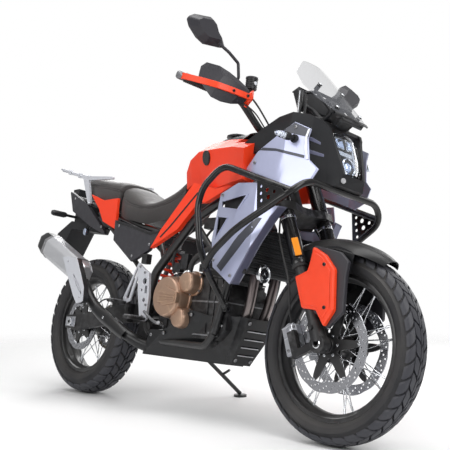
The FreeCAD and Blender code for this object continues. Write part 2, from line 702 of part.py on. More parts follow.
def skid_plate():
    """A folded skid plate, narrow at its slotted front, with flared side walls."""
    front_low = V(999, SKID_FRONT_LOW, 221)
    front_top = V(1092, SKID_FRONT_TOP, 404)
    rear_low = V(598, 146, 226)
    rear_top = V(632, 150, 322)
    tops = [rear_top, V(724, 150, 324), V(868, 142, 412), V(962, 118, 396), front_top]
    faces = []
    wire = Part.makePolygon([rear_low] + tops + [front_low, rear_low])
    for a, b in zip(tops[:-1], tops[1:]):
        faces.append((rear_low if b.x < 1000 else front_low, a, b))
    faces.append((rear_low, tops[-2], front_low))
    panels = []
    for a, b, c in faces:
        face = Part.Face(Part.makePolygon([a, b, c, a]))
        panels.append(face.extrude(V(0, -SHEET, 0)))
    wall = fuse(panels)
    corners = [front_low, V(999, -SKID_FRONT_LOW, 221), V(1092, -SKID_FRONT_TOP, 404), front_top]
    front = Part.Face(Part.makePolygon(corners + [corners[0]])).extrude(V(-SHEET, 0, 0))
    for k in range(4):
        front = front.cut(box((960, 1120), (-44 - 7 * k, 44 + 7 * k), (258 + 32 * k, 266 + 32 * k)))
    base = [rear_low, front_low, V(999, -SKID_FRONT_LOW, 221), V(598, -146, 226)]
    floor = Part.Face(Part.makePolygon([V(p.x, p.y, 218) for p in base] + [V(base[0].x, base[0].y, 218)]))
    floor = floor.extrude(V(0, 0, 8))
    return fuse([wall, mirrored(wall), front, floor])


def bar_gusset():
    """The perforated plate between the two left bars."""
    plate = side_plate([(1288, 872), (1306, 748), (1345, 772), (1425, 822), (1412, 836)], 268, 272)
    holes = [(1312, 846, 6), (1316, 820, 6), (1320, 794, 6), (1342, 838, 9), (1352, 806, 9), (1380, 826, 6)]
    for x, z, radius in holes:
        plate = plate.cut(cylinder(V(x, 260, z), V(x, 280, z), radius))
    return plate


def crash_bars():
    """Tubular bars round both sides, joined across the nose, with their gussets."""
    hoop = [V(1058, FRAME_Y + 8, 430), V(1050, 240, 545), V(1040, 288, 640), V(1012, 298, 790)]
    hoop += [V(1030, 298, 862), V(1108, 280, 944), V(1438, 250, 830)]
    sweep = [V(1052, 262, 560), V(1110, 286, 612), V(1228, 294, 696), V(1432, 262, 818), V(1461, 200, 877),
             V(1461, 0, 877)]
    left = fuse([tube(hoop, CRASH_BAR_R, 40), tube(sweep, CRASH_BAR_R, 45), bar_gusset()])
    return fuse([left, mirrored(left)])


# Bodywork

def fuel_tank():
    """The faceted tank, split by a tunnel for the steering head, with its lower wings."""
    sections = [
        (668, [(0, 1052), (84, 1040), (96, 1000), (82, 930), (0, 915)]),
        (720, [(0, 1092), (98, 1072), (126, 1040), (100, 940), (0, 900)]),
        (800, [(0, 1122), (92, 1110), (152, 1062), (112, 930), (0, 880)]),
        (930, [(0, 1128), (104, 1112), (182, 1052), (150, 900), (0, 870)]),
        (1060, [(0, 1122), (120, 1096), (208, 1040), (196, 900), (0, 860)]),
        (1150, [(0, 1112), (130, 1080), (226, 1020), (216, 905), (0, 860)]),
    ]
    body = body_loft(sections)
    tunnel = box((1020, 1200), (-160, 160), (800, 1200))
    body = body.cut(tunnel)
    wing = tank_wing().cut(body)
    return Part.makeCompound([body, wing, mirrored(wing)])


def side_shrouds():
    """Upper and lower fairing panels on each side."""
    top = upper_shroud()
    low = lower_shroud()
    return Part.makeCompound([top, low, mirrored(top), mirrored(low)])


def nose_cowl():
    """The shoulder cowls and the nose that carries the lamp, hollow behind."""
    arch = [(1069, 1046), (1173, 1101), (1264, 1140), (1331, 1150), (1385, 1142), (1421, 1123), (1446, 1096)]
    arch += [(1446, 1088), (1478, 1000), (1502, 929), (1490, 888), (1437, 872), (1410, 893)]
    arch += [(1418, 942), (1401, 971), (1390, 1053), (1397, 1086), (1341, 1112), (1301, 1089)]
    arch += [(1187, 1026), (1120, 1000)]
    cheek = wrapped_panel(arch, COWL_PLAN, 14)
    front = [(1502, 929), (1490, 888), (1437, 872), (1400, 884), (1400, 900), (1440, 925)]
    chin = side_plate(front, -62, 62)
    brow = side_plate([(1360, 1112), (1421, 1112), (1410, 1130), (1350, 1142)], -112, 112)
    return fuse([cheek, mirrored(cheek), chin, brow])


def headlight():
    """The tall stacked headlamp."""
    return side_plate([(1370, 930), (1494, 934), (1478, 1000), (1442, 1094), (1370, 1094)], -62, 62, 10)


def windscreen():
    """A curved, tapered screen of clear sheet."""
    base, length, along, normal = screen_frame()
    centre = base + normal * SCREEN_BEND_R
    outer = Part.makeCylinder(SCREEN_BEND_R, length + 80, centre - along * 40, along)
    inner = Part.makeCylinder(SCREEN_BEND_R - SHEET, length + 80, centre - along * 40, along)
    side = V(0, 1, 0)
    half = [(46, 0), (92, 60), (124, 130), (140, 210), (128, 290), (56, 372)]
    outline = [(-a, b) for a, b in half] + list(reversed(half))
    points = [base + side * a + along * b - normal * 40 for a, b in outline]
    wire = Part.Wire(corner_edges(points, 30, True))
    stencil = Part.Face(wire).extrude(normal * 200)
    return outer.cut(inner).common(stencil)


def instrument():
    """The display behind the screen, with the two brackets that carry display and screen."""
    panel = box((-12, 12), (-82, 82), (-38, 38))
    panel.rotate(V(0, 0, 0), V(0, 1, 0), -24)
    panel.translate(V(1266, 0, 1232))
    pieces = [panel]
    for side in (1, -1):
        y = side * SCREEN_PEG_Y
        pieces.append(tube([V(1272, y, 1222), V(1330, y, 1186), V(1384, y, 1138)], 8, 20))
        low = screen_seat(y, SCREEN_PEG_LOW, 26)
        high = screen_seat(y, SCREEN_PEG_HIGH, 26)
        pieces.append(tube([V(1384, y, 1138), low, high], 6, 14))
        for place in (SCREEN_PEG_LOW, SCREEN_PEG_HIGH):
            pieces.append(cylinder(screen_seat(y, place, 26), screen_seat(y, place, SHEET + SEAT_GAP), 9))
    return fuse(pieces)


def rider_seat():
    """The rider's saddle."""
    sections = [
        (250, [(0, 968), (96, 948), (126, 900), (132, 832), (0, 832)]),
        (330, [(0, 908), (100, 900), (134, 868), (130, 804), (0, 804)]),
        (450, [(0, 890), (96, 884), (128, 850), (124, 780), (0, 780)]),
        (580, [(0, 930), (70, 922), (104, 880), (104, 800), (0, 800)]),
        (664, [(0, 1000), (56, 990), (84, 940), (84, 880), (0, 880)]),
    ]
    return body_loft(sections)


def pillion_seat():
    """The raised passenger pad."""
    sections = [
        (-110, [(0, 1040), (70, 1034), (104, 1010), (104, 944), (0, 944)]),
        (60, [(0, 1018), (88, 1012), (120, 984), (118, 898), (0, 898)]),
        (200, [(0, 1010), (96, 1000), (128, 960), (126, 855), (0, 855)]),
        (249, [(0, 970), (96, 955), (128, 925), (126, 842), (0, 842)]),
    ]
    return body_loft(sections)


def tail_panels():
    """Painted panels under the passenger pad."""
    outline = [(12, 938), (124, 902), (244, 905), (250, 760), (143, 800), (96, 862)]
    return both(side_plate(outline, 124, 140))


def side_covers():
    """Dark covers below the rider's seat and beside the tail."""
    mid = [(262, 800), (540, 735), (612, 742), (545, 655), (430, 605), (270, 705)]
    tail = [(-209, 975), (-39, 898), (90, 800), (177, 730), (20, 784), (-157, 866)]
    cover_mid = side_plate(mid, FRAME_Y + 4, FRAME_Y + 22, 6)
    cover_tail = side_plate(tail, 108, 128, 6)
    return Part.makeCompound([cover_mid, cover_tail, mirrored(cover_mid), mirrored(cover_tail)])


def rear_rack():
    """A luggage rack on two side struts, with four bored bosses."""
    outline = [(-355, 1102), (-330, 1104), (-190, 1068), (-60, 1040), (150, 1020), (150, 1008), (-60, 1020)]
    outline += [(-14, 900), (-34, 894), (-110, 1030)]
    strut = side_plate(outline, 112, 124, 4)
    pieces = [strut, mirrored(strut)]
    holes = []
    for x, z in RACK_BARS:
        pieces.append(cylinder(V(x, -118, z), V(x, 118, z), 8))
        for side in (1, -1):
            low = V(x, side * RACK_HOLE_Y, z - RACK_BOSS_H / 2)
            pieces.append(cylinder(low, low + V(0, 0, RACK_BOSS_H), 11))
            holes.append(cylinder(low - V(0, 0, 5), low + V(0, 0, RACK_BOSS_H + 5), RACK_HOLE_R))
    return fuse(pieces).cut(Part.makeCompound(holes))


def rear_fender():
    """The inner mudguard with the plate holder."""
    outline = [(-370, 770), (-249, 832), (-93, 812), (-110, 780), (-240, 790), (-330, 650), (-342, 652)]
    holder = side_plate(outline, -70, 70, 6)
    spine = side_plate([(-240, 830), (-100, 812), (60, 880), (60, 900), (-120, 900), (-240, 900)], -60, 60)
    return fuse([holder, spine])


def signal_lamps():
    """Tail lamp and four direction indicators."""
    tail = side_plate([(-300, 1000), (-240, 1004), (-224, 880), (-262, 880)], -64, 64, 8)
    lamps = [tail]
    for side in (1, -1):
        stalk = cylinder(V(-232, side * 60, 852), V(-232, side * 120, 852), 7)
        lens = cylinder(V(-232, side * 118, 852), V(-236, side * 200, 850), 15)
        lamps.append(fuse([stalk, lens]))
        front = cylinder(V(1366, side * 180, 1040), V(1366, side * 214, 1040), 9)
        lens = cylinder(V(1366, side * 212, 1040), V(1350, side * 276, 1042), 14)
        lamps.append(fuse([front, lens]))
    return Part.makeCompound(lamps)


def footrests():
    """Alloy hanger plates with the rider's and the passenger's pegs."""
    inner = FRAME_Y + 18
    outer = FRAME_Y + 32
    outline = [(500, 600), (545, 574), (585, 558), (606, 450), (606, 360), (560, 352), (520, 480)]
    plate = side_plate(outline, inner, outer, 10)
    hole = cylinder(V(562, inner - 40, 520), V(562, outer + 40, 520), 14)
    plate = plate.cut(hole)
    peg = box((560, 606), (outer, outer + PEG_LENGTH), (352, 370))
    arm = [(500, 600), (520, 580), (470, 430), (430, 420), (420, 445)]
    hanger = side_plate(arm, inner + 4, outer - 2, 6)
    rear_peg = box((416, 452), (outer - 2, outer + PEG_LENGTH - 10), (418, 434))
    return both(fuse([plate, peg, hanger, rear_peg]))


def swingarm():
    """The swingarm: box-section arms, inset at the pivot so that the chain passes round."""
    inner = ARM_Y - ARM_T / 2
    outer = ARM_Y + ARM_T / 2
    near = (ARM_FRONT_Y - ARM_T / 2, ARM_FRONT_Y + ARM_T / 2)
    x = REAR_AXLE.x
    z = REAR_AXLE.z
    side = [(x - 52, z - 31), (x - 52, z + 31), (x + 60, z + 37), (438, 424), (438, 344), (x + 60, z - 33)]
    arm = side_plate(side, inner, outer, 10)
    nose = [(400, 344), (400, 424), (560, 426), (586, 398), (560, 370), (470, 344)]
    front = side_plate(nose, near[0], near[1], 8)
    step = side_plate([(400, 344), (400, 420), (438, 424), (438, 344)], near[0], outer)
    spool = cylinder(V(SPOOL_X, outer - SPOOL_DEPTH, SPOOL_Z), V(SPOOL_X, outer + 5, SPOOL_Z), SPOOL_R)
    hinge = V(SWINGARM_PIVOT_X, 0, SWINGARM_PIVOT_Z)
    pivot = cylinder(hinge - V(0, near[1], 0), hinge + V(0, near[1], 0), 28)
    bridge = box((398, 436), (-outer, outer), (352, 412))
    reach = V(0, outer + 14, 0)
    axle = cylinder(REAR_AXLE - reach, REAR_AXLE + reach, AXLE_R)
    spacers = []
    for s in (1, -1):
        start = REAR_AXLE + V(0, s * (REAR_HUB_HALF + 0.5), 0)
        spacers.append(cylinder(start, REAR_AXLE + V(0, s * (inner + 1), 0), 22))
    hollow = cylinder(REAR_AXLE - reach * 1.2, REAR_AXLE + reach * 1.2, AXLE_BORE_R)
    pin = cylinder(hinge - V(0, 200, 0), hinge + V(0, 200, 0), PIVOT_R)
    side_parts = [arm, front, step]
    body = fuse(side_parts + [mirrored(s) for s in side_parts] + [pivot, bridge, axle] + spacers)
    return body.cut(Part.makeCompound([hollow, pin, spool, mirrored(spool)]))


def rear_shock():
    """The spring and damper between frame and swingarm, with its eyes on both."""
    low = V(428, 0, 400)
    high = V(SHOCK_TUBE_X, 0, SHOCK_TUBE_Z)
    axis = unit(high - low)
    body = cylinder(low, high, 22)
    seat_low = cylinder(low + axis * 92, low + axis * 102, 46)
    seat_high = cylinder(low + axis * 300, low + axis * 310, 46)
    return fuse([body, seat_low, coil_spring(low, axis), seat_high])


def coil_spring(low, axis):
    """A wire coil about the damper, its ends let into the two seats."""
    height = SPRING_HIGH - SPRING_LOW
    path = Part.makeHelix(height / SPRING_TURNS, height, SPRING_R)
    ring = Part.Wire(Part.makeCircle(SPRING_WIRE_R, V(SPRING_R, 0, 0), V(0, 1, 0)))
    coil = Part.Wire(path.Edges).makePipeShell([ring], True, True)
    turn = FreeCAD.Rotation(V(0, 0, 1), axis)
    coil.Placement = FreeCAD.Placement(low + axis * SPRING_LOW, turn)
    return coil


def drive_chain():
    """The chain round both sprockets: two straight runs, two wraps and the driving sprocket."""
    rear = REAR_AXLE
    front = V(FRONT_SPROCKET_X, 0, FRONT_SPROCKET_Z)
    span = front - rear
    slope = math.atan2(span.z, span.x)
    tilt = math.acos((REAR_SPROCKET_R - FRONT_SPROCKET_R) / span.Length)
    y = CHAIN_Y - CHAIN_W / 2

    def at(centre, radius, angle):
        return V(centre.x + radius * math.cos(angle), y, centre.z + radius * math.sin(angle))

    def belt(extra):
        big = REAR_SPROCKET_R + extra
        small = FRONT_SPROCKET_R + extra
        up_rear = at(rear, big, slope + tilt)
        low_rear = at(rear, big, slope - tilt)
        up_front = at(front, small, slope + tilt)
        low_front = at(front, small, slope - tilt)
        edges = [
            Part.LineSegment(up_rear, up_front).toShape(),
            Part.Arc(up_front, at(front, small, slope), low_front).toShape(),
            Part.LineSegment(low_front, low_rear).toShape(),
            Part.Arc(low_rear, at(rear, big, slope + math.pi), up_rear).toShape(),
        ]
        return Part.Face(Part.Wire(edges)).extrude(V(0, CHAIN_W, 0))

    loop = belt(CHAIN_H / 2).cut(belt(-CHAIN_H / 2))
    reach = REAR_SPROCKET_R + CHAIN_H
    runs = box((rear.x + 20, front.x - 10), (y - 1, y + CHAIN_W + 1), (rear.z - reach, rear.z + reach))
    straight = loop.common(runs)
    wraps = loop.cut(runs)
    sprocket = ring_solid(front, CHAIN_Y - 3.5, CHAIN_Y + 3.5, FRONT_SPROCKET_R - 4, 12)
    ends = sorted(wraps.Solids, key=lambda end: end.CenterOfMass.x)
    return Part.makeCompound(straight.Solids + [ends[0], fuse([ends[1], sprocket])])


def rear_caliper():
    """The rear caliper ahead of the axle, on a lug against the swingarm."""
    y0 = -REAR_DISC_Y - DISC_T / 2 - PAD_GAP
    y1 = -REAR_DISC_Y + DISC_T / 2 + PAD_GAP
    x = REAR_AXLE.x
    z = REAR_AXLE.z
    outline = [(x + 88, z - 3), (x + 150, z + 9), (x + 146, z + 71), (x + 100, z + 81), (x + 78, z + 51)]
    body = side_plate(outline, y0 - 12, y1 + 10, 8)
    lug = box((x + 96, x + 142), (-(ARM_Y - ARM_T / 2), y0 - 10), (z + 3, z + 29))
    slot = ring_solid(REAR_AXLE, y0, y1, REAR_DISC_R + 6, 40)
    return fuse([body, lug]).cut(slot)


def stand_foot():
    """Where the stand's foot meets the floor, in the bike frame."""
    lean = math.radians(LEAN)
    z = (STAND_FOOT_Y * math.sin(lean) + floor_level()) / math.cos(lean)
    return V(STAND_FOOT_X, STAND_FOOT_Y, z)


def side_stand():
    """The side stand: pivot eye, leg, foot pad and the rider's prong."""
    foot = stand_foot()
    axis = stand_axis()
    lean = math.radians(LEAN)
    up = V(0, -math.sin(lean), math.cos(lean))
    ankle = foot + up * 14
    eye = cylinder(STAND_PIVOT - axis * 9, STAND_PIVOT + axis * 9, 15)
    leg = cylinder(STAND_PIVOT + stand_direction() * 8, ankle, STAND_LEG_R)
    pad = Part.makeCylinder(30, 10, foot, up)
    middle = STAND_PIVOT + (ankle - STAND_PIVOT) * 0.62
    prong = cylinder(middle, middle + V(40, 6, 26), 6)
    bore = cylinder(STAND_PIVOT - axis * 30, STAND_PIVOT + axis * 30, STAND_PIN_R + BEARING_GAP)
    return fuse([eye, leg, pad, prong]).cut(bore)


def plan_strip(path, wall):
    """A tall curtain, one wall thick, that follows (x, y) points in plan."""
    inner = [(x, y - math.copysign(wall, y)) for x, y in reversed(path)]
    return plan_plate(path + inner, 150, 1500)


def wrapped_panel(outline, path, wall, corner=0.0):
    """A panel with a side-view outline that follows a plan curve, one wall thick."""
    stencil = side_plate(outline, 20, 400, corner)
    return stencil.common(plan_strip(path, wall))


def place_on_floor(shape, origin):
    """Leans a piece to the left and moves it from the bike frame to the part's own."""
    leaned = shape.copy()
    leaned.rotate(V(0, 0, 0), V(1, 0, 0), -LEAN)
    leaned.translate(V(-origin.x, -origin.y, -origin.z))
    return leaned


def overlaps(a, b):
    """Whether two boxes meet."""
    return a.BoundBox.intersect(b.BoundBox)


def relieve(shapes):
    """Cuts each piece back where a piece that carries or passes it needs the room."""
    for name, others in RELIEF.items():
        for other in others:
            if overlaps(shapes[name], shapes[other]):
                shapes[name] = shapes[name].cut(shapes[other])


def stand_direction():
    """The deployed leg's direction from pivot to ankle."""
    return unit(stand_foot() + V(0, -2.3, 13.8) - STAND_PIVOT)


def stand_axis():
    """The stand's hinge axis: turning about it folds the leg back along the machine."""
    return unit(stand_direction().cross(unit(STAND_STOWED)))


def stand_bracket():
    """The pivot bolt and its boss on the frame plate."""
    axis = stand_axis()
    pin = cylinder(STAND_PIVOT - axis * 24, STAND_PIVOT + axis * 13, STAND_PIN_R)
    boss = cylinder(STAND_PIVOT - axis * 26, STAND_PIVOT - axis * 9.5, 14)
    arm = cylinder(STAND_PIVOT - axis * 20, STAND_PIVOT - axis * 20 + V(0, -24, 0), 10)
    head = cylinder(STAND_PIVOT + axis * 9.5, STAND_PIVOT + axis * 15, 10)
    return fuse([pin, boss, arm, head])


def silencer_can():
    """The eight-sided silencer can, tapered at both ends."""
    start = V(172, -232, 546)
    end = V(-168, -236, 690)
    axis = unit(end - start)
    side = V(0, 1, 0)
    up = axis.cross(side)
    if up.z < 0:
        up = up * -1.0
    rings = []
    for along, half_w, half_h in ((-40, 34, 40), (0, 50, 52), (300, 54, 56), (352, 50, 52), (374, 40, 42)):
        centre = start + axis * along
        shape = []
        for a, b in ((-1, -0.5), (-1, 0.5), (-0.5, 1), (0.5, 1), (1, 0.5), (1, -0.5), (0.5, -1), (-0.5, -1)):
            shape.append(centre + side * (half_w * a) + up * (half_h * b))
        rings.append(Part.makePolygon(shape + [shape[0]]))
    return Part.makeLoft(rings, True, True)


def tank_wing():
    """The left lower wing of the tank with its long blade beside the frame."""
    outline = [(820, 925), (960, 890), (1077, 905), (981, 868), (905, 838), (860, 840)]
    return side_plate(outline + [(751, 735), (585, 660), (640, 735)], FRAME_Y + 22, FRAME_Y + 44)


def screen_frame():
    """The screen's base point, its direction upwards and its inward normal."""
    base = V(1496, 0, 1135)
    tip = V(1240, 0, 1414)
    along = unit(tip - base)
    return base, (tip - base).Length, along, unit(V(-along.z, 0, along.x))


def screen_seat(side, along_mm, off):
    """A point off the screen's inner face, at a lateral and a lengthwise place."""
    base, length, along, normal = screen_frame()
    sag = SCREEN_BEND_R - math.sqrt(SCREEN_BEND_R ** 2 - side ** 2)
    return base + along * along_mm + V(0, side, 0) + normal * (sag + off)


def upper_shroud():
    """The left upper panel beside the nose."""
    upper = [(1219, 1014), (1325, 1079), (1361, 1103), (1424, 1074), (1416, 1041), (1428, 961), (1463, 928)]
    upper += [(1437, 878), (1370, 859), (1142, 943)]
    return wrapped_panel(upper, UPPER_PLAN, SHEET)


def lower_shroud():
    """The left lower panel beside the radiator, with its two windows."""
    lower = [(1031, 856), (1132, 889), (1246, 882), (1272, 797), (1318, 798), (1291, 757), (1214, 616)]
    lower += [(1152, 509), (1035, 573), (1008, 678)]
    quad = [(1047, 823), (1184, 839), (1146, 788), (1051, 803)]
    tri = [(1033, 766), (1091, 758), (1031, 684)]
    low = wrapped_panel(lower, LOWER_PLAN, SHEET)
    for window in (quad, tri):
        low = low.cut(side_plate(window, 100, 300))
    return low


# Lean, floor and writing

def crown_low(radius, width):
    """Lowest height of a leaned tyre whose axle is at its own radius."""
    lean = math.radians(LEAN)
    lowest = 0.0
    for drop, y in ((0.0, 0.0), (0.03 * width, 0.26 * width), (0.17 * width, 0.44 * width)):
        lowest = min(lowest, -y * math.sin(lean) + drop * math.cos(lean))
    return lowest


def floor_level():
    """Height of the floor under the leaned tyres."""
    return min(crown_low(FRONT_TYRE_R, FRONT_TYRE_W), crown_low(REAR_TYRE_R, REAR_TYRE_W))


def floor_origin(shapes):
    """The leaned machine's box centre, on the floor."""
    leaned = [place_on_floor(shape, V(0, 0, 0)) for shape in shapes.values()]
    bounds = Part.makeCompound(leaned).BoundBox
    return V((bounds.XMin + bounds.XMax) / 2, (bounds.YMin + bounds.YMax) / 2, floor_level())


BUILDERS = {
    "main_frame": main_frame,
    "engine_cases": engine_cases,
    "engine_covers": engine_covers,
    "cylinder_block": cylinder_block,
    "swingarm": swingarm,
    "rear_shock": rear_shock,
    "drive_chain": drive_chain,
    "rear_caliper": rear_caliper,
    "footrests": footrests,
    "radiator": radiator,
    "exhaust_pipes": exhaust_pipes,
    "silencer": silencer,
    "crash_bars": crash_bars,
    "skid_plate": skid_plate,
    "headlight": headlight,
    "signal_lamps": signal_lamps,
    "instrument": instrument,
    "windscreen": windscreen,
    "side_shrouds": side_shrouds,
    "nose_cowl": nose_cowl,
    "fuel_tank": fuel_tank,
    "rear_rack": rear_rack,
    "rear_fender": rear_fender,
    "tail_panels": tail_panels,
    "side_covers": side_covers,
    "pillion_seat": pillion_seat,
    "rider_seat": rider_seat,
    "fork_legs": fork_legs,
    "fork_tubes": fork_tubes,
    "triple_clamps": triple_clamps,
    "front_calipers": front_calipers,
    "front_fender": front_fender,
    "fork_guards": fork_guards,
    "handlebar": handlebar_tube,
    "hand_controls": hand_controls,
    "handguards": handguards,
    "mirrors": mirror_set,
    "front_tyre": lambda: tyre(FRONT_AXLE, FRONT_TYRE_R, FRONT_TYRE_W, FRONT_RIM_R),
    "front_rim": front_wheel,
    "front_discs": front_discs,
    "rear_tyre": lambda: tyre(REAR_AXLE, REAR_TYRE_R, REAR_TYRE_W, REAR_RIM_R),
    "rear_rim": rear_wheel,
    "rear_disc": rear_disc,
    "rear_sprocket": rear_sprocket,
    "side_stand": side_stand,
}


RELIEF = {
    "cylinder_block": ["engine_cases", "main_frame"],
    "engine_covers": ["cylinder_block", "engine_cases"],
    "exhaust_pipes": ["cylinder_block", "engine_cases", "main_frame"],
    "radiator": ["main_frame"],
    "instrument": ["nose_cowl", "windscreen"],
    "side_shrouds": ["crash_bars", "signal_lamps"],
    "nose_cowl": ["headlight", "side_shrouds", "crash_bars", "signal_lamps"],
    "fuel_tank": ["main_frame", "nose_cowl", "side_shrouds", "crash_bars"],
    "rider_seat": ["main_frame", "fuel_tank", "pillion_seat"],
    "pillion_seat": ["main_frame"],
    "rear_fender": ["main_frame", "signal_lamps", "pillion_seat"],
    "rear_rack": ["main_frame", "pillion_seat"],
    "tail_panels": ["rear_rack", "pillion_seat", "rider_seat", "main_frame"],
    "side_covers": ["main_frame", "rider_seat", "tail_panels", "rear_rack", "pillion_seat", "footrests"],
    "skid_plate": ["exhaust_pipes", "main_frame", "engine_covers", "engine_cases", "crash_bars"],
    "footrests": ["main_frame", "swingarm"],
    "rear_shock": ["main_frame", "swingarm"],
    "silencer": ["exhaust_pipes"],
    "fork_guards": ["fork_legs", "fork_tubes", "front_fender", "front_calipers"],
    "front_fender": ["fork_legs", "fork_tubes"],
    "front_calipers": ["fork_legs"],
    "handguards": ["handlebar", "hand_controls", "mirrors"],
    "mirrors": ["handlebar", "hand_controls"],
}


def main():
    """Builds every piece, relieves later ones, leans the machine and writes the files."""
    shapes = {name: build() for name, build in BUILDERS.items()}
    relieve(shapes)
    origin = floor_origin(shapes)
    os.makedirs("parts", exist_ok=True)
    for name, shape in shapes.items():
        place_on_floor(shape, origin).exportStep("parts/" + name + ".step")
    print("origin", origin)


if __name__ == "__main__":
    main()
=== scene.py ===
"""An adventure motorcycle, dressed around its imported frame.

Places are given in the machine's own upright frame, in millimetres: x forward from the rear
axle, y to the rider's left, z up from the tyres' contact. MachineFrame turns them into the
part's frame, where the machine leans on its side stand.
"""

from __future__ import annotations

import copy
import json
import logging
import math
from dataclasses import dataclass, field
from enum import Enum
from typing import Sequence

import bmesh
import bpy
import numpy as np
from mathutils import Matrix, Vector
from mathutils.geometry import delaunay_2d_cdt

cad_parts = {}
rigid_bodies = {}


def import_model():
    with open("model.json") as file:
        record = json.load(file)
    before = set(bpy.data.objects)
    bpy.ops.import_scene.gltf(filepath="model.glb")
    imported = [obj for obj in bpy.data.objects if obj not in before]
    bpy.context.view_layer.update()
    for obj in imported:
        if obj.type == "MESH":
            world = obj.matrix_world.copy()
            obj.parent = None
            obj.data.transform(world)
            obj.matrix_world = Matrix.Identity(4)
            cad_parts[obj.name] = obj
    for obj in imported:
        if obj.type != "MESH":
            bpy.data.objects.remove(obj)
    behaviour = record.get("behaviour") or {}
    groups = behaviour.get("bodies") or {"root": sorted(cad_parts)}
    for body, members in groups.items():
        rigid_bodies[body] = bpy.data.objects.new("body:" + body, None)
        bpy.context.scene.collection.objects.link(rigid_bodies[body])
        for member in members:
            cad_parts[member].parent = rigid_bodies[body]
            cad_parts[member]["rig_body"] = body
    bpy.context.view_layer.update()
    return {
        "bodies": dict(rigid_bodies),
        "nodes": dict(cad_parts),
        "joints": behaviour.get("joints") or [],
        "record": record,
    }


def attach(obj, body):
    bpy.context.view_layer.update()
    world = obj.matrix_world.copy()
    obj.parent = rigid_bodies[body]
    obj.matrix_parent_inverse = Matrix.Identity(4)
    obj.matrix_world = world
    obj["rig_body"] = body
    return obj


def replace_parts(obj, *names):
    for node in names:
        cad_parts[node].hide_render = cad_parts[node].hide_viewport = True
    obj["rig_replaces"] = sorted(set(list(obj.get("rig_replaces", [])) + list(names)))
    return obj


LOG = logging.getLogger("motorcycle")
MM = 0.001
Colour = tuple[float, float, float]
Place = tuple[float, float, float]
Places = Sequence[Place]
Outline = Sequence[tuple[float, float]]
REAR_TYRE_R = 321.0
FRONT_TYRE_R = 329.0
WHEELBASE = 1510.0
CASTER = math.radians(25.5)
FRONT_AXLE = np.array((WHEELBASE, 0.0, FRONT_TYRE_R))
REAR_AXLE = np.array((0.0, 0.0, REAR_TYRE_R))
CHAIN_Y = 92.0
CHAIN_PITCH = 15.875


class Body(Enum):
    """The bodies that pieces ride on."""

    CHASSIS = "chassis"
    STEERING = "steering"
    FRONT_WHEEL = "front_wheel"
    REAR_WHEEL = "rear_wheel"
    STAND = "side_stand"


class Grain(Enum):
    """The kinds of fine relief that a finish may have."""

    NONE = "none"
    PEEL = "peel"
    MOULDED = "moulded"
    CAST = "cast"
    BRUSHED = "brushed"
    LEATHER = "leather"


# Shapes as arrays


@dataclass
class Shape:
    """Points in millimetres and blocks of faces, each block an array of equal polygons."""

    points: np.ndarray
    faces: list[np.ndarray]

    def __add__(self, other: "Shape") -> "Shape":
        """Two shapes in one, with the second's faces renumbered."""
        shift = len(self.points)
        return Shape(np.vstack([self.points, other.points]), self.faces + [f + shift for f in other.faces])

    def mirrored(self) -> "Shape":
        """The same shape on the other side, its faces still outwards."""
        return Shape(self.points * (1, -1, 1), [f[:, ::-1] for f in self.faces])

    def both(self) -> "Shape":
        """The shape with its mirror image."""
        return self + self.mirrored()

    def moved(self, origin: Sequence[float], axes: np.ndarray) -> "Shape":
        """The shape with its own x, y and z laid along the rows of axes from an origin."""
        return Shape(np.asarray(origin) + self.points @ np.asarray(axes), list(self.faces))


def turns(count: int) -> np.ndarray:
    """Equal steps round a full turn, in radians."""
    return np.linspace(0, 2 * np.pi, count, endpoint=False)


def joined(shapes: Sequence[Shape]) -> Shape:
    """Several shapes in one.

    Args:
        shapes: The shapes, at least one.
    Returns:
        One shape with all their points and faces.
    """
    sizes = np.cumsum([0] + [len(s.points) for s in shapes[:-1]])
    faces = [f + shift for s, shift in zip(shapes, sizes) for f in s.faces]
    return Shape(np.vstack([s.points for s in shapes]), faces)


def grid(points: np.ndarray, close_u: bool = False, close_v: bool = False) -> Shape:
    """Quads over a surface sampled on a grid.

    Args:
        points: Samples, shaped (u, v, 3).
        close_u: Whether the last row joins the first.
        close_v: Whether the last column joins the first.
    Returns:
        The surface, facing along du x dv.
    """
    rows, cols = points.shape[:2]
    u = np.arange(rows if close_u else rows - 1)[:, None]
    v = np.arange(cols if close_v else cols - 1)[None, :]
    nu, nv = (u + 1) % rows, (v + 1) % cols
    quads = np.stack([u * cols + v, nu * cols + v, nu * cols + nv, u * cols + nv], axis=-1)
    return Shape(points.reshape(-1, 3), [quads.reshape(-1, 4)])


def around(radius: object, turn: object) -> np.ndarray:
    """Places on a circle in side view, as (x, z) along the last axis."""
    return np.stack([radius * np.cos(turn), radius * np.sin(turn)], axis=-1)


def on_wheel(centre: np.ndarray, radius: object, turn: np.ndarray, y: object) -> np.ndarray:
    """Places about a wheel's axis: x = r cos a and z = r sin a from the centre, y sideways."""
    across = radius * np.cos(turn)
    return centre + np.stack([across, np.broadcast_to(y, across.shape), radius * np.sin(turn)], axis=-1)


def spun(profile: Outline, at: Sequence[float], axes: Sequence[Sequence[float]], steps: int = 48) -> Shape:
    """A closed (radius, height) outline turned about an axis.

    Args:
        profile: The outline.
        at: The place that heights count from.
        axes: Where the turn starts, where it goes to, and the axis, as rows.
        steps: Steps round the axis.
    Returns:
        The closed shape.
    """
    radius, height = np.asarray(profile, float).T
    turn = turns(steps)[:, None]
    local = np.stack([radius * np.cos(turn), radius * np.sin(turn),
                      np.broadcast_to(height, (steps, len(height)))], axis=-1)
    return grid(np.asarray(at, float) + local @ np.asarray(axes, float), True, True)


def lathe(profile: Outline, centre: Sequence[float], steps: int = 96) -> Shape:
    """A closed (radius, y) outline turned about a wheel's axis."""
    return spun(profile, centre, ((1, 0, 0), (0, 0, 1), (0, 1, 0)), steps)


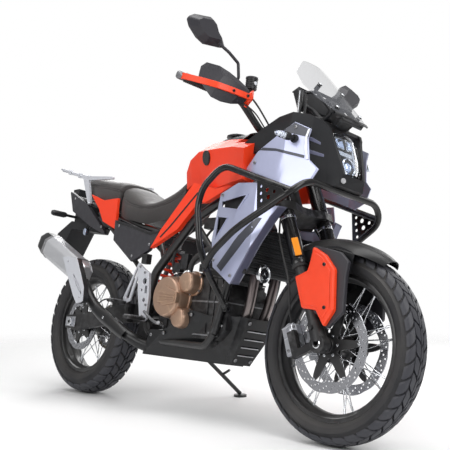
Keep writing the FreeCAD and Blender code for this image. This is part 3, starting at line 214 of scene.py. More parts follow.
def unit(v: np.ndarray) -> np.ndarray:
    """Directions of the vectors along the last axis."""
    v = np.asarray(v, float)
    return v / np.linalg.norm(v, axis=-1, keepdims=True)


def rounded(points: Places, radius: float, steps: int = 6) -> np.ndarray:
    """Runs through points with an arc at each corner.

    Each corner becomes a quadratic curve between two points on its runs, radius from the corner.
    """
    route = np.asarray(points, float)
    before, here, after = route[:-2], route[1:-1], route[2:]
    room_a = np.linalg.norm(before - here, axis=1, keepdims=True)
    room_b = np.linalg.norm(after - here, axis=1, keepdims=True)
    cut = np.minimum(radius, 0.48 * np.minimum(room_a, room_b))
    start = here + (before - here) / room_a * cut
    end = here + (after - here) / room_b * cut
    t = np.linspace(0, 1, steps)[None, :, None]
    arcs = (1 - t) ** 2 * start[:, None] + 2 * t * (1 - t) * here[:, None] + t ** 2 * end[:, None]
    return np.vstack([route[:1], arcs.reshape(-1, 3), route[-1:]])


def smooth(points: Sequence[Sequence[float]], count: int) -> np.ndarray:
    """A cardinal curve through points: cubic Hermite spans with central tangents."""
    p = np.asarray(points, float)
    tangent = np.gradient(p, axis=0)
    s = np.linspace(0, len(p) - 1, count)
    i = np.minimum(s.astype(int), len(p) - 2)
    t = (s - i)[:, None]
    a, b, c, d = p[i], p[i + 1], tangent[i], tangent[i + 1]
    return ((2 * t ** 3 - 3 * t ** 2 + 1) * a + (t ** 3 - 2 * t ** 2 + t) * c
            + (3 * t ** 2 - 2 * t ** 3) * b + (t ** 3 - t ** 2) * d)


def carried(path: np.ndarray, outline: np.ndarray, guide: Place = (0, 1, 0),
            scale: np.ndarray | None = None, caps: bool = True) -> Shape:
    """A closed outline carried along a path.

    Args:
        path: Points of the path, shaped (n, 3).
        outline: Outline points (side, up), shaped (m, 2).
        guide: The outline's side direction, before it is squared to the path.
        scale: A size factor at each path point, or none.
        caps: Whether both ends are closed.
    Returns:
        The swept shape: path point + side * outline x + up * outline y.
    """
    along = unit(np.gradient(path, axis=0))
    side = np.broadcast_to(np.asarray(guide, float), along.shape)
    side = unit(side - along * np.sum(side * along, axis=1, keepdims=True))
    up = np.cross(along, side)
    factor = np.ones(len(path)) if scale is None else np.asarray(scale, float)
    flat = outline[None, :, :] * factor[:, None, None]
    points = path[:, None] + side[:, None] * flat[..., :1] + up[:, None] * flat[..., 1:]
    body = grid(points, False, True)
    if caps:
        count = len(outline)
        last = (len(path) - 1) * count
        body.faces.append(np.arange(count)[None, :])
        body.faces.append(last + np.arange(count)[None, ::-1])
    return body


def circle(radius: float, sides: int) -> np.ndarray:
    """Points round a circle, shaped (sides, 2)."""
    turn = turns(sides)
    return radius * np.stack([np.cos(turn), -np.sin(turn)], axis=1)


def tube(points: Places, radius: float, bend: float = 0.0, sides: int = 14,
         guide: Place = (0.31, 0.87, 0.38)) -> Shape:
    """A round tube along runs with bent corners."""
    path = rounded(points, bend, 7) if bend else np.asarray(points, float)
    return carried(path, circle(radius, sides), guide)


def bars(starts: np.ndarray, ends: np.ndarray, radius: float, sides: int = 8) -> Shape:
    """Many straight round bars at once, one for each pair of end points."""
    along = unit(ends - starts)
    guide = np.where(np.abs(along[:, 1:2]) < 0.9, [[0.0, 1.0, 0.0]], [[1.0, 0.0, 0.0]])
    side = unit(np.cross(along, guide))
    up = np.cross(along, side)
    ring = circle(radius, sides)
    around = side[:, None] * ring[None, :, :1] + up[:, None] * ring[None, :, 1:]
    points = np.stack([starts[:, None] + around, ends[:, None] + around], axis=1)
    count = len(starts)
    base = (np.arange(count) * 2 * sides)[:, None]
    k = np.arange(sides)[None, :]
    nxt = (k + 1) % sides
    quads = np.stack([base + k, base + sides + k, base + sides + nxt, base + nxt], axis=-1).reshape(-1, 4)
    low = base + k
    high = (base + sides + k[:, ::-1])
    return Shape(points.reshape(-1, 3), [quads, low, high])


def rod(start: Sequence[float], end: Sequence[float], radius: float, sides: int = 8) -> Shape:
    """One straight round bar between two places."""
    return bars(np.asarray(start, float)[None], np.asarray(end, float)[None], radius, sides)


def bolts(centres: Places, axes: Places, radius: float, height: float = 0.0) -> Shape:
    """Button-head screws with a socket, each standing on its seat along its axis.

    The head is a turned outline of five rings; the inner two make the socket.
    """
    places = np.asarray(centres, float)
    along = unit(np.broadcast_to(np.asarray(axes, float), places.shape))
    tall = height or 0.55 * radius
    guide = np.where(np.abs(along[:, 2:3]) < 0.9, [[0.0, 0.0, 1.0]], [[1.0, 0.0, 0.0]])
    side = unit(np.cross(guide, along))
    up = np.cross(along, side)
    rings = np.array([(1.0, -0.4), (1.0, 0.55), (0.78, 1.0), (0.5, 1.0), (0.44, 0.35)])
    sides, size = 12, 12 * len(rings)
    turn = turns(sides)
    flat = rings[:, :1] * radius * np.cos(turn), rings[:, :1] * radius * np.sin(turn)
    local = (side[:, None, None] * flat[0][None, ..., None] + up[:, None, None] * flat[1][None, ..., None]
             + along[:, None, None] * (rings[:, 1] * tall)[None, :, None, None])
    points = places[:, None, None] + local
    count = len(places)
    base = (np.arange(count) * size)[:, None, None]
    low = base + sides * np.arange(len(rings) - 1)[None, :, None]
    k = np.arange(sides)[None, None, :]
    nxt = (k + 1) % sides
    quads = np.stack([low + k, low + nxt, low + sides + nxt, low + sides + k], axis=-1)
    floor = (np.arange(count) * size)[:, None] + size - sides + np.arange(sides)[None, :]
    return Shape(points.reshape(-1, 3), [quads.reshape(-1, 4), floor])


def punched(outline: np.ndarray, holes: Sequence[np.ndarray], low: float, high: float) -> Shape:
    """A flat plate with holes, its outline in x and z, between two heights in y.

    The faces are a constrained triangulation of the outline with its holes, laid at both
    heights, and one quad for each edge of every loop.
    """
    loops = [np.asarray(outline, float)] + [np.asarray(h, float) for h in holes]
    sizes = np.cumsum([0] + [len(loop) for loop in loops])
    rings = [list(range(a, b)) for a, b in zip(sizes[:-1], sizes[1:])]
    flat = np.vstack(loops)
    made = delaunay_2d_cdt([Vector(p) for p in flat], [], rings, 2, 1e-4)
    plane = np.array([tuple(p) for p in made[0]])
    triangles = np.array(made[2], int)
    count = len(plane)
    bottom = np.column_stack([plane[:, 0], np.full(count, low), plane[:, 1]])
    top = np.column_stack([plane[:, 0], np.full(count, high), plane[:, 1]])
    corner = plane[triangles]
    turn = np.cross(corner[:, 1] - corner[:, 0], corner[:, 2] - corner[:, 0])
    triangles = np.where((turn > 0)[:, None], triangles, triangles[:, ::-1])
    edges = np.vstack([triangles[:, [0, 1]], triangles[:, [1, 2]], triangles[:, [2, 0]]])
    code = edges[:, 0] * count + edges[:, 1]
    back = edges[:, 1] * count + edges[:, 0]
    rim = edges[~np.isin(code, back)]
    walls = np.stack([rim[:, 0], rim[:, 1], rim[:, 1] + count, rim[:, 0] + count], axis=1)
    return Shape(np.vstack([bottom, top]), [triangles, triangles[:, ::-1] + count, walls[:, ::-1]])


def ring_holes(centre: tuple[float, float], circle_r: float, hole_r: float, count: int, turn: float = 0.0,
               sides: int = 12) -> list[np.ndarray]:
    """Round holes, evenly spaced on a circle, as loops for punched."""
    middle = np.asarray(centre) + around(circle_r, turn + turns(count))
    return [m + circle(hole_r, sides) for m in middle]


def prism(outline: Outline, low: float, high: float) -> Shape:
    """A side-view outline (x, z) between two heights in y."""
    return punched(np.asarray(outline, float), [], low, high)


def cage(points: Places, faces: Sequence[Sequence[int]]) -> Shape:
    """A shape from a short list of corners and the polygons between them."""
    return Shape(np.asarray(points, float), [np.array([face]) for face in faces])


def block(low: Place, high: Place) -> Shape:
    """A box between two corners, for forms that a bevel finishes."""
    x, y, z = zip(low, high)
    corners = [(i, j, k) for i in x for j in y for k in z]
    return cage(corners,
                [(0, 1, 3, 2), (4, 6, 7, 5), (0, 4, 5, 1), (2, 3, 7, 6), (0, 2, 6, 4), (1, 5, 7, 3)])


# The machine's frame


class MachineFrame:
    """Turns places in the upright machine into places in the part."""

    def __init__(self, joints: Sequence[dict]) -> None:
        """Reads the rear axle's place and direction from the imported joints."""
        rear = next(joint for joint in joints if joint["name"] == "rear_wheel_spin")
        self.y = unit(np.array(rear["axis"]))
        self.x = np.array((1.0, 0.0, 0.0))
        self.z = np.cross(self.x, self.y)
        self.origin = np.array(rear["pos_m"]) - self.z * REAR_TYRE_R * MM

    def part(self, points: np.ndarray) -> np.ndarray:
        """Machine millimetres to part metres."""
        return self.origin + (np.asarray(points, float) * MM) @ np.stack([self.x, self.y, self.z])


def fork(n: float, y: float, t: float) -> np.ndarray:
    """A place on the fork: n ahead of the axle's line, y sideways, t up along the legs."""
    ahead = np.array((math.cos(CASTER), 0.0, math.sin(CASTER)))
    up = np.array((-math.sin(CASTER), 0.0, math.cos(CASTER)))
    return FRONT_AXLE + ahead * n + up * t + np.array((0.0, y, 0.0))


AHEAD_AXES = ((0, 1, 0), (0, 0, 1), (1, 0, 0))
FORK_AXES = np.array([(math.cos(CASTER), 0, math.sin(CASTER)), (0, 1, 0),
                      (-math.sin(CASTER), 0, math.cos(CASTER))])


# Shader helpers


class Sheet:
    """A short way to add shader nodes to a tree and join them."""

    def __init__(self, tree: bpy.types.NodeTree) -> None:
        """Keeps the tree that the nodes go into."""
        self.tree = tree

    def add(self, kind: str, settings: dict | None = None, **inputs: object) -> bpy.types.Node:
        """Adds a node.

        Args:
            kind: The node's type without its ShaderNode prefix.
            settings: Attributes of the node, such as an operation.
            inputs: Socket values, or sockets to join, by their names with underscores.
        Returns:
            The new node.
        """
        node = self.tree.nodes.new("ShaderNode" + kind)
        for name, value in (settings or {}).items():
            setattr(node, name, value)
        for name, value in inputs.items():
            self.put(node.inputs[int(name[1:])] if name[0] == "_" else node.inputs[name.replace("_", " ")],
                     value)
        return node

    def put(self, socket: bpy.types.NodeSocket, value: object) -> None:
        """Sets a socket, or joins it to another."""
        if isinstance(value, bpy.types.NodeSocket):
            self.tree.links.new(value, socket)
        else:
            socket.default_value = value

    def math(self, operation: str, a: object, b: object = 0.0) -> bpy.types.NodeSocket:
        """The output of a Math node."""
        return self.add("Math", {"operation": operation}, _0=a, _1=b).outputs[0]

    def ramp(self, value: object, low: float, high: float) -> bpy.types.NodeSocket:
        """A value stretched from low..high to 0..1 with soft ends."""
        node = self.add("MapRange", {"interpolation_type": "SMOOTHSTEP"}, _0=value, _1=low, _2=high)
        return node.outputs[0]


def group(name: str, ins: Sequence[tuple[str, str, object]], outs: Sequence[tuple[str, str]]) -> tuple:
    """A new shader node group with named sockets.

    Args:
        name: The group's name.
        ins: Input sockets as (name, socket kind, default).
        outs: Output sockets as (name, socket kind).
    Returns:
        The tree, its sheet, the input node and the output node.
    """
    tree = bpy.data.node_groups.new(name, "ShaderNodeTree")
    for label, kind, default in ins:
        socket = tree.interface.new_socket(name=label, in_out="INPUT", socket_type="NodeSocket" + kind)
        socket.default_value = default
    for label, kind in outs:
        tree.interface.new_socket(name=label, in_out="OUTPUT", socket_type="NodeSocket" + kind)
    return tree, Sheet(tree), tree.nodes.new("NodeGroupInput"), tree.nodes.new("NodeGroupOutput")


class Effects:
    """The node groups that several finishes share, each built once."""

    def __init__(self) -> None:
        """Builds the relief, wear and dust groups."""
        self.relief = {kind: self._relief(kind) for kind in Grain if kind is not Grain.NONE}
        self.wear = self._wear()
        self.dust = self._dust()

    def _relief(self, kind: Grain) -> bpy.types.NodeTree:
        """Fine relief for one kind of surface: a height and a matching value from 0 to 1."""
        ins = [("Scale", "Float", 1.0), ("Stretch", "Vector", (1.0, 1.0, 1.0))]
        tree, sheet, gin, gout = group("relief_" + kind.value, ins,
                                       [("Height", "Float"), ("Value", "Float")])
        place = sheet.add("TexCoord").outputs["Object"]
        place = sheet.add("Mapping", Vector=place, Scale=gin.outputs["Stretch"]).outputs[0]
        scale = gin.outputs["Scale"]
        fine = sheet.add("TexNoise", Vector=place, Scale=scale, Detail=3.0, Roughness=0.6).outputs["Fac"]
        height = fine
        if kind in (Grain.MOULDED, Grain.LEATHER, Grain.CAST):
            cells = sheet.add("TexVoronoi", {"feature": "SMOOTH_F1"}, Vector=place,
                              Scale=sheet.math("MULTIPLY", scale, 1.7)).outputs["Distance"]
            if kind is Grain.LEATHER:
                cells = sheet.add("TexVoronoi", {"feature": "DISTANCE_TO_EDGE"}, Vector=place,
                                  Scale=scale).outputs[0]
                cells = sheet.ramp(cells, 0.0, 0.25)
            share = 0.75 if kind is Grain.LEATHER else 0.5
            height = sheet.math("ADD", sheet.math("MULTIPLY", cells, share),
                                sheet.math("MULTIPLY", fine, 1 - share))
        broad = sheet.add("TexNoise", Vector=place, Scale=sheet.math("MULTIPLY", scale, 0.04),
                          Detail=4.0).outputs["Fac"]
        value = sheet.math("ADD", sheet.math("MULTIPLY", height, 0.5), sheet.math("MULTIPLY", broad, 0.5))
        sheet.put(gout.inputs["Height"], height)
        sheet.put(gout.inputs["Value"], value)
        return tree

    def _wear(self) -> bpy.types.NodeTree:
        """Lighter edges: the surface's pointiness broken up by noise."""
        ins = [("Colour", "Color", (1, 1, 1, 1)), ("Worn", "Color", (1, 1, 1, 1)), ("Amount", "Float", 0.5),
               ("Patches", "Float", 40.0)]
        tree, sheet, gin, gout = group("edge_wear", ins, [("Colour", "Color"), ("Mask", "Float")])
        point = sheet.add("NewGeometry").outputs["Pointiness"]
        edge = sheet.ramp(point, 0.51, 0.60)
        place = sheet.add("TexCoord").outputs["Object"]
        noise = sheet.add("TexNoise", Vector=place, Scale=gin.outputs["Patches"], Detail=6.0).outputs["Fac"]
        broken = sheet.ramp(noise, 0.42, 0.62)
        mask = sheet.math("MULTIPLY", sheet.math("MULTIPLY", edge, broken), gin.outputs["Amount"])
        mix = sheet.add("Mix", {"data_type": "RGBA"}, _0=mask, _6=gin.outputs["Colour"],
                        _7=gin.outputs["Worn"])
        sheet.put(gout.inputs["Colour"], mix.outputs[2])
        sheet.put(gout.inputs["Mask"], mask)
        return tree

    def _dust(self) -> bpy.types.NodeTree:
        """A thin film on upward faces and in broad patches."""
        ins = [("Colour", "Color", (1, 1, 1, 1)), ("Film", "Color", (0.4, 0.37, 0.33, 1)),
               ("Amount", "Float", 0.1)]
        tree, sheet, gin, gout = group("dust_film", ins, [("Colour", "Color"), ("Mask", "Float")])
        normal = sheet.add("NewGeometry").outputs["Normal"]
        up = sheet.ramp(sheet.add("SeparateXYZ", Vector=normal).outputs[2], -0.2, 1.0)
        place = sheet.add("TexCoord").outputs["Object"]
        noise = sheet.add("TexNoise", Vector=place, Scale=9.0, Detail=8.0).outputs["Fac"]
        patch = sheet.ramp(noise, 0.35, 0.75)
        film = sheet.math("ADD", sheet.math("MULTIPLY", up, 0.6), sheet.math("MULTIPLY", patch, 0.4))
        mask = sheet.math("MULTIPLY", film, gin.outputs["Amount"])
        mix = sheet.add("Mix", {"data_type": "RGBA"}, _0=mask, _6=gin.outputs["Colour"],
                        _7=gin.outputs["Film"])
        sheet.put(gout.inputs["Colour"], mix.outputs[2])
        sheet.put(gout.inputs["Mask"], mask)
        return tree


@dataclass(frozen=True)
class Finish:
    """One surface finish of the machine."""

    name: str
    colour: Colour
    roughness: float
    slot: str = "black_plastic"
    metallic: float = 0.0
    coat: float = 0.0
    grain: Grain = Grain.PEEL
    grain_scale: float = 500.0
    grain_depth: float = 0.02
    stretch: Place = (1.0, 1.0, 1.0)
    tone: float = 0.12
    wear: float = 0.15
    worn: Colour = (0.35, 0.35, 0.35)
    dust: float = 0.05
    sheen: float = 0.0
    transmission: float = 0.0
    alpha: float = 1.0
    ior: float = 1.5

    def build(self, effects: Effects) -> bpy.types.Material:
        """Makes the material.

        Args:
            effects: The shared node groups.
        Returns:
            The new material.
        """
        material = bpy.data.materials.new(self.name)
        material.use_nodes = True
        tree = material.node_tree
        sheet = Sheet(tree)
        shader = tree.nodes["Principled BSDF"]
        shader.inputs["Metallic"].default_value = self.metallic
        shader.inputs["Coat Weight"].default_value = self.coat
        shader.inputs["Coat Roughness"].default_value = 0.05
        shader.inputs["Sheen Weight"].default_value = self.sheen
        shader.inputs["IOR"].default_value = self.ior
        shader.inputs["Transmission Weight"].default_value = self.transmission
        shader.inputs["Alpha"].default_value = self.alpha
        colour = self.paint(sheet)
        if self.grain is Grain.NONE:
            sheet.put(shader.inputs["Base Color"], colour)
            shader.inputs["Roughness"].default_value = self.roughness
            return material
        relief = sheet.add("Group", {"node_tree": effects.relief[self.grain]}, Scale=self.grain_scale,
                           Stretch=self.stretch)
        toned = self._toned(sheet, colour, relief.outputs["Value"])
        worn = sheet.add("Group", {"node_tree": effects.wear}, Colour=toned, Worn=(*self.worn, 1.0),
                         Amount=self.wear)
        dusty = sheet.add("Group", {"node_tree": effects.dust}, Colour=worn.outputs["Colour"],
                          Amount=self.dust)
        sheet.put(shader.inputs["Base Color"], dusty.outputs["Colour"])
        rough = sheet.math("ADD", sheet.math("MULTIPLY", relief.outputs["Value"], self.roughness * 0.5),
                           self.roughness * 0.75)
        rough = sheet.math("ADD", rough, sheet.math("MULTIPLY", dusty.outputs["Mask"], 0.4))
        sheet.put(shader.inputs["Roughness"], rough)
        bump = sheet.add("Bump", Strength=1.0, Distance=self.grain_depth * MM,
                         Height=relief.outputs["Height"])
        sheet.put(shader.inputs["Normal"], bump.outputs["Normal"])
        return material

    def paint(self, sheet: Sheet) -> object:
        """The colour before wear: one value here, a pattern in finishes that have one."""
        return (*self.colour, 1.0)

    def _toned(self, sheet: Sheet, colour: object, value: object) -> bpy.types.NodeSocket:
        """The colour, darker and lighter by tone with the relief's value."""
        swing = sheet.add("MapRange", _0=value, _1=0.2, _2=0.8, _3=1.0 - self.tone, _4=1.0 + self.tone)
        hue = sheet.add("HueSaturation", Value=swing.outputs[0], Color=colour)
        return hue.outputs[0]


@dataclass(frozen=True)
class ClearSheet(Finish):
    """Clear sheet whose shadow stays light."""

    def build(self, effects: Effects) -> bpy.types.Material:
        """A thin clear sheet: mostly see-through, with a mirror-like skin at flat angles."""
        material = bpy.data.materials.new(self.name)
        material.use_nodes = True
        shader = material.node_tree.nodes["Principled BSDF"]
        shader.inputs["Base Color"].default_value = (*self.colour, 1.0)
        shader.inputs["Roughness"].default_value = self.roughness
        shader.inputs["IOR"].default_value = self.ior
        shader.inputs["Metallic"].default_value = 0.0
        sheet = Sheet(material.node_tree)
        edge = sheet.add("Fresnel", IOR=self.ior).outputs[0]
        rim = sheet.add("LayerWeight", Blend=0.35).outputs["Facing"]
        solid = sheet.math("ADD", sheet.math("MULTIPLY", edge, 0.3), sheet.math("MULTIPLY", rim, 0.05))
        solid = sheet.math("ADD", solid, self.alpha)
        sheet.put(shader.inputs["Alpha"], sheet.math("MINIMUM", solid, 1.0))
        return material


class Kit:
    """Everything that pieces need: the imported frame, the machine's axes, the materials and the slots."""

    def __init__(self, frame: dict) -> None:
        """Loads the finishes and finds the machine's frame."""
        self.frame = frame
        self.machine = MachineFrame(frame["joints"])
        self.effects = Effects()
        self.materials: dict[str, bpy.types.Material] = {}
        self.slots = {part["node"]: part["material_slot"] for part in frame["record"]["subparts"]}
        self.body = Body.CHASSIS

    def riding(self, body: Body) -> "Kit":
        """The same kit, with another body for the pieces that name none."""
        kit = copy.copy(self)
        kit.body = body
        return kit

    def material(self, finish: Finish) -> bpy.types.Material:
        """The finish's material, built on first use."""
        if finish.name not in self.materials:
            self.materials[finish.name] = finish.build(self.effects)
        return self.materials[finish.name]

    def piece(self, name: str, shape: Shape | Sequence[Shape], finish: Finish, replaces: Sequence[str] = (),
              slot: str = "", body: Body | None = None, bevel: float = 0.0, solid: float = 0.0,
              angle: float = 32.0, clean: bool = False) -> bpy.types.Object:
        """Makes one finished piece.

        Args:
            name: The piece's name.
            shape: Its points and faces in machine millimetres, or several such shapes.
            finish: Its surface.
            replaces: The nodes it stands for.
            slot: The record's material slot, where it isn't the finish's own; not used.
            bevel: Width of its rounded edges, in millimetres.
            solid: Wall thickness added inwards, in millimetres.
            angle: Edges sharper than this stay sharp, in degrees.
            clean: Whether doubles are merged and faces turned outwards.
        Returns:
            The new object.
        """
        mesh = self._mesh(name, shape if isinstance(shape, Shape) else joined(shape))
        if clean:
            self._clean(mesh)
        return self._finish_piece(mesh, finish, body or self.body, replaces, bevel,
                                  solid, angle)

    def _mesh(self, name: str, shape: Shape) -> bpy.types.Mesh:
        """A mesh with a shape's points and faces, in the part's frame."""
        mesh = bpy.data.meshes.new(name)
        points = self.machine.part(shape.points)
        loops = np.concatenate([f.ravel() for f in shape.faces])
        totals = np.concatenate([np.full(len(f), f.shape[1]) for f in shape.faces])
        mesh.vertices.add(len(points))
        mesh.vertices.foreach_set("co", points.ravel())
        mesh.loops.add(len(loops))
        mesh.loops.foreach_set("vertex_index", loops.astype(np.int32))
        mesh.polygons.add(len(totals))
        mesh.polygons.foreach_set("loop_start",
                                  np.concatenate([[0], np.cumsum(totals)[:-1]]).astype(np.int32))
        mesh.update(calc_edges=True)
        mesh.validate()
        return mesh

    def copy(self, node: str, finish: Finish, bevel: float = 1.2, angle: float = 32.0) -> bpy.types.Object:
        """A merged copy of a CAD node with rounded edges, which stands for it."""
        mesh = self.frame["nodes"][node].data.copy()
        mesh.name = "dressed_" + node
        work = bmesh.new()
        work.from_mesh(mesh)
        bmesh.ops.remove_doubles(work, verts=work.verts, dist=0.02 * MM)
        bmesh.ops.dissolve_degenerate(work, edges=work.edges, dist=0.01 * MM)
        bmesh.ops.dissolve_limit(work, angle_limit=math.radians(0.6), verts=work.verts, edges=work.edges)
        work.to_mesh(mesh)
        work.free()
        mesh.materials.clear()
        body = Body(self.frame["nodes"][node]["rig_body"])
        return self._finish_piece(mesh, finish, body, (node,), bevel, 0.0, angle)

    @staticmethod
    def _clean(mesh: bpy.types.Mesh) -> None:
        """Merges doubles and turns faces outwards."""
        work = bmesh.new()
        work.from_mesh(mesh)
        bmesh.ops.remove_doubles(work, verts=work.verts, dist=0.01 * MM)
        bmesh.ops.recalc_face_normals(work, faces=work.faces)
        work.to_mesh(mesh)
        work.free()

    def _finish_piece(self, mesh: bpy.types.Mesh, finish: Finish, body: Body,
                      replaces: Sequence[str], bevel: float, solid: float,
                      angle: float) -> bpy.types.Object:
        """Adds the material, modifiers and frame calls, and reports the piece."""
        mesh.materials.append(self.material(finish))
        mesh.shade_smooth()
        mesh.set_sharp_from_angle(angle=math.radians(angle))
        thing = bpy.data.objects.new(mesh.name, mesh)
        bpy.context.scene.collection.objects.link(thing)
        if solid:
            wall = thing.modifiers.new("wall", "SOLIDIFY")
            wall.thickness = solid * MM
            wall.offset = -1.0
            wall.use_even_offset = True
        if bevel:
            edge = thing.modifiers.new("edges", "BEVEL")
            edge.width = bevel * MM
            edge.segments = 2
            edge.limit_method = "ANGLE"
            edge.angle_limit = math.radians(angle)
            edge.harden_normals = True
        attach(thing, body.value)
        if replaces:
            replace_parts(thing, *replaces)
        LOG.info("%s: %d faces, rides on %s", mesh.name, len(mesh.polygons), body.value)
        return thing


# Finishes


def seen(red: int, green: int, blue: int) -> Colour:
    """A colour as it looks on a screen, 0 to 255, turned to scene values."""
    levels = np.array((red, green, blue)) / 255.0
    return tuple(float(v) for v in np.where(levels > 0.04045, ((levels + 0.055) / 1.055) ** 2.4,
                                            levels / 12.92))


@dataclass(frozen=True)
class FinnedCore(Finish):
    """Radiator core: fine corrugated fins between flat tubes."""

    def paint(self, sheet: Sheet) -> bpy.types.NodeSocket:
        """Alternating fin and tube colours across the core's width."""
        place = sheet.add("TexCoord").outputs["Object"]
        wave = sheet.add("TexWave", {"wave_type": "BANDS", "bands_direction": "Y"}, Vector=place,
                         Scale=160.0)
        mix = sheet.add("Mix", {"data_type": "RGBA"}, _0=wave.outputs["Fac"], _6=(*seen(16, 16, 18), 1.0),
                        _7=(*seen(84, 86, 90), 1.0))
        return mix.outputs[2]


@dataclass(frozen=True)
class HeatedPipe(Finish):
    """Stainless pipe, darker towards the ports."""

    def paint(self, sheet: Sheet) -> bpy.types.NodeSocket:
        """Colour by height, broken up by noise: pale steel below, dark and bluish near the ports."""
        place = sheet.add("TexCoord").outputs["Object"]
        height = sheet.add("SeparateXYZ", Vector=place).outputs[2]
        noise = sheet.add("TexNoise", Vector=place, Scale=14.0, Detail=5.0).outputs["Fac"]
        level = sheet.math("ADD", height, sheet.math("MULTIPLY", noise, 0.12))
        ramp = sheet.add("ValToRGB", Fac=level)
        stops = ramp.color_ramp.elements
        stops[0].position, stops[0].color = 0.22, (*seen(150, 146, 142), 1.0)
        stops[1].position, stops[1].color = 0.95, (*seen(92, 88, 100), 1.0)
        middle = stops.new(0.6)
        middle.color = (*seen(122, 112, 112), 1.0)
        return ramp.outputs["Color"]


@dataclass(frozen=True)
class SilverPaint(Finish):
    """Silver panel paint whose tone wanders slowly."""

    def paint(self, sheet: Sheet) -> bpy.types.NodeSocket:
        """The base colour, mixed with a cooler silver by broad noise."""
        place = sheet.add("TexCoord").outputs["Object"]
        slow = sheet.add("TexNoise", Vector=place, Scale=3.0, Detail=1.0).outputs["Fac"]
        mix = sheet.add("Mix", {"data_type": "RGBA"}, _0=slow, _6=(*self.colour, 1.0),
                        _7=(*seen(196, 202, 226), 1.0))
        return mix.outputs[2]


ORANGE = Finish("orange_paint", seen(246, 58, 12), 0.46, slot="orange_paint", coat=0.04, grain_scale=1400.0,
                grain_depth=0.006, tone=0.05, wear=0.05, worn=seen(250, 120, 90), dust=0.02)
ORANGE_PLASTIC = Finish("orange_plastic", seen(246, 64, 16), 0.44, slot="orange_paint", coat=0.04,
                        grain_scale=900.0, grain_depth=0.01, tone=0.06, wear=0.08, worn=seen(250, 130, 100),
                        dust=0.03)
SILVER = SilverPaint("silver_paint", seen(168, 172, 205), 0.34, slot="silver_paint", metallic=0.45,
                     coat=0.6, grain_scale=1600.0, grain_depth=0.006, tone=0.05, wear=0.05,
                     worn=seen(220, 222, 235), dust=0.02)
# Silver paint darkened as painted shade, for the folded flange and the ribs in the hollow beside the lamp.
SHADED_SILVER = Finish("silver_shadow_paint", seen(96, 98, 122), 0.36, slot="silver_paint", metallic=0.4,
                     coat=0.5, grain_scale=1600.0, grain_depth=0.006, tone=0.06, wear=0.04, dust=0.02)
# Dark grey for the real patch and inlay stripe; the same grey also paints the shade along the step of the
# upper panel.
GREY_INLAY_AND_STEP_SHADE = Finish("grey_inlay_and_step_shade", seen(62, 64, 74), 0.42, metallic=0.2, coat=0.2, grain_scale=1500.0,
                    grain_depth=0.008, tone=0.08, wear=0.05, dust=0.03)
MATT_BLACK = Finish("black_plastic", seen(19, 20, 24), 0.48, ior=1.38, grain=Grain.MOULDED,
                    grain_scale=1300.0, grain_depth=0.03, tone=0.1, wear=0.12, worn=seen(66, 67, 71),
                    dust=0.03)
SATIN_BLACK = Finish("satin_black_plastic", seen(15, 16, 19), 0.34, ior=1.42, grain=Grain.MOULDED,
                     grain_scale=1900.0, grain_depth=0.02, tone=0.12, wear=0.2, worn=seen(90, 91, 96),
                     dust=0.04)
GREY_PLASTIC = Finish("grey_plastic", seen(42, 41, 47), 0.44, grain=Grain.MOULDED, grain_scale=1400.0,
                      grain_depth=0.025, tone=0.07, wear=0.08, worn=seen(92, 92, 96), dust=0.025)
FRAME_BLACK = Finish("frame_black", seen(16, 16, 19), 0.34, slot="rim_black", coat=0.2, grain_scale=900.0,
                     grain_depth=0.02, tone=0.12, wear=0.25, worn=seen(95, 95, 98), dust=0.06)
GLOSS_BLACK = Finish("bar_gloss_black", seen(10, 10, 13), 0.2, ior=1.38, coat=0.15, grain_scale=700.0,
                     grain_depth=0.01, tone=0.08, wear=0.15, worn=seen(110, 110, 112), dust=0.03)
CAST_BLACK = Finish("cast_black", seen(27, 27, 30), 0.46, slot="engine_dark", metallic=0.35,
                    grain=Grain.CAST, grain_scale=900.0, grain_depth=0.09, tone=0.22, wear=0.45,
                    worn=seen(120, 120, 122), dust=0.09)
CAST_GREY = Finish("cast_grey", seen(120, 121, 124), 0.42, slot="alloy", metallic=0.75, grain=Grain.CAST,
                   grain_scale=1100.0, grain_depth=0.06, tone=0.18, wear=0.4, worn=seen(190, 190, 192),
                   dust=0.07)
BRONZE = Finish("bronze_cover", seen(178, 147, 126), 0.38, slot="bronze_cover", metallic=0.7,
                grain=Grain.CAST, grain_scale=1500.0, grain_depth=0.03, tone=0.12, wear=0.3,
                worn=seen(214, 184, 150), dust=0.05)
ALLOY = Finish("alloy", seen(188, 190, 194), 0.3, slot="steel", metallic=0.9, grain=Grain.BRUSHED,
               grain_scale=700.0, grain_depth=0.015, stretch=(1.0, 0.12, 1.0), tone=0.1, wear=0.3,
               worn=seen(225, 226, 228), dust=0.04)
FORK_SILVER = Finish("fork_alloy", seen(176, 178, 184), 0.32, slot="fork_alloy", metallic=0.85,
                     grain=Grain.CAST, grain_scale=1400.0, grain_depth=0.02, tone=0.1, wear=0.3,
                     worn=seen(222, 223, 226), dust=0.05)
CHROME = Finish("polished_steel", seen(206, 208, 212), 0.12, slot="steel", metallic=1.0, grain_scale=900.0,
                grain_depth=0.004, tone=0.05, wear=0.1, worn=seen(235, 235, 236), dust=0.03)
PALE_SILVER = Finish("pale_silver_paint", seen(212, 214, 221), 0.34, slot="exhaust_steel", metallic=0.35,
                     coat=0.3, grain_scale=1500.0, grain_depth=0.008, tone=0.05, wear=0.1,
                     worn=seen(236, 236, 240), dust=0.02)
STEEL = Finish("steel", seen(150, 150, 153), 0.34, slot="steel", metallic=0.95, grain=Grain.BRUSHED,
               grain_scale=900.0, grain_depth=0.01, tone=0.14, wear=0.3, worn=seen(205, 205, 207),
               dust=0.05)
DISC = Finish("disc_steel", seen(172, 173, 178), 0.24, slot="disc_steel", metallic=1.0, grain=Grain.BRUSHED,
              grain_scale=1200.0, grain_depth=0.012, stretch=(0.35, 1.0, 0.35), tone=0.12, wear=0.2,
              worn=seen(210, 211, 214), dust=0.03)
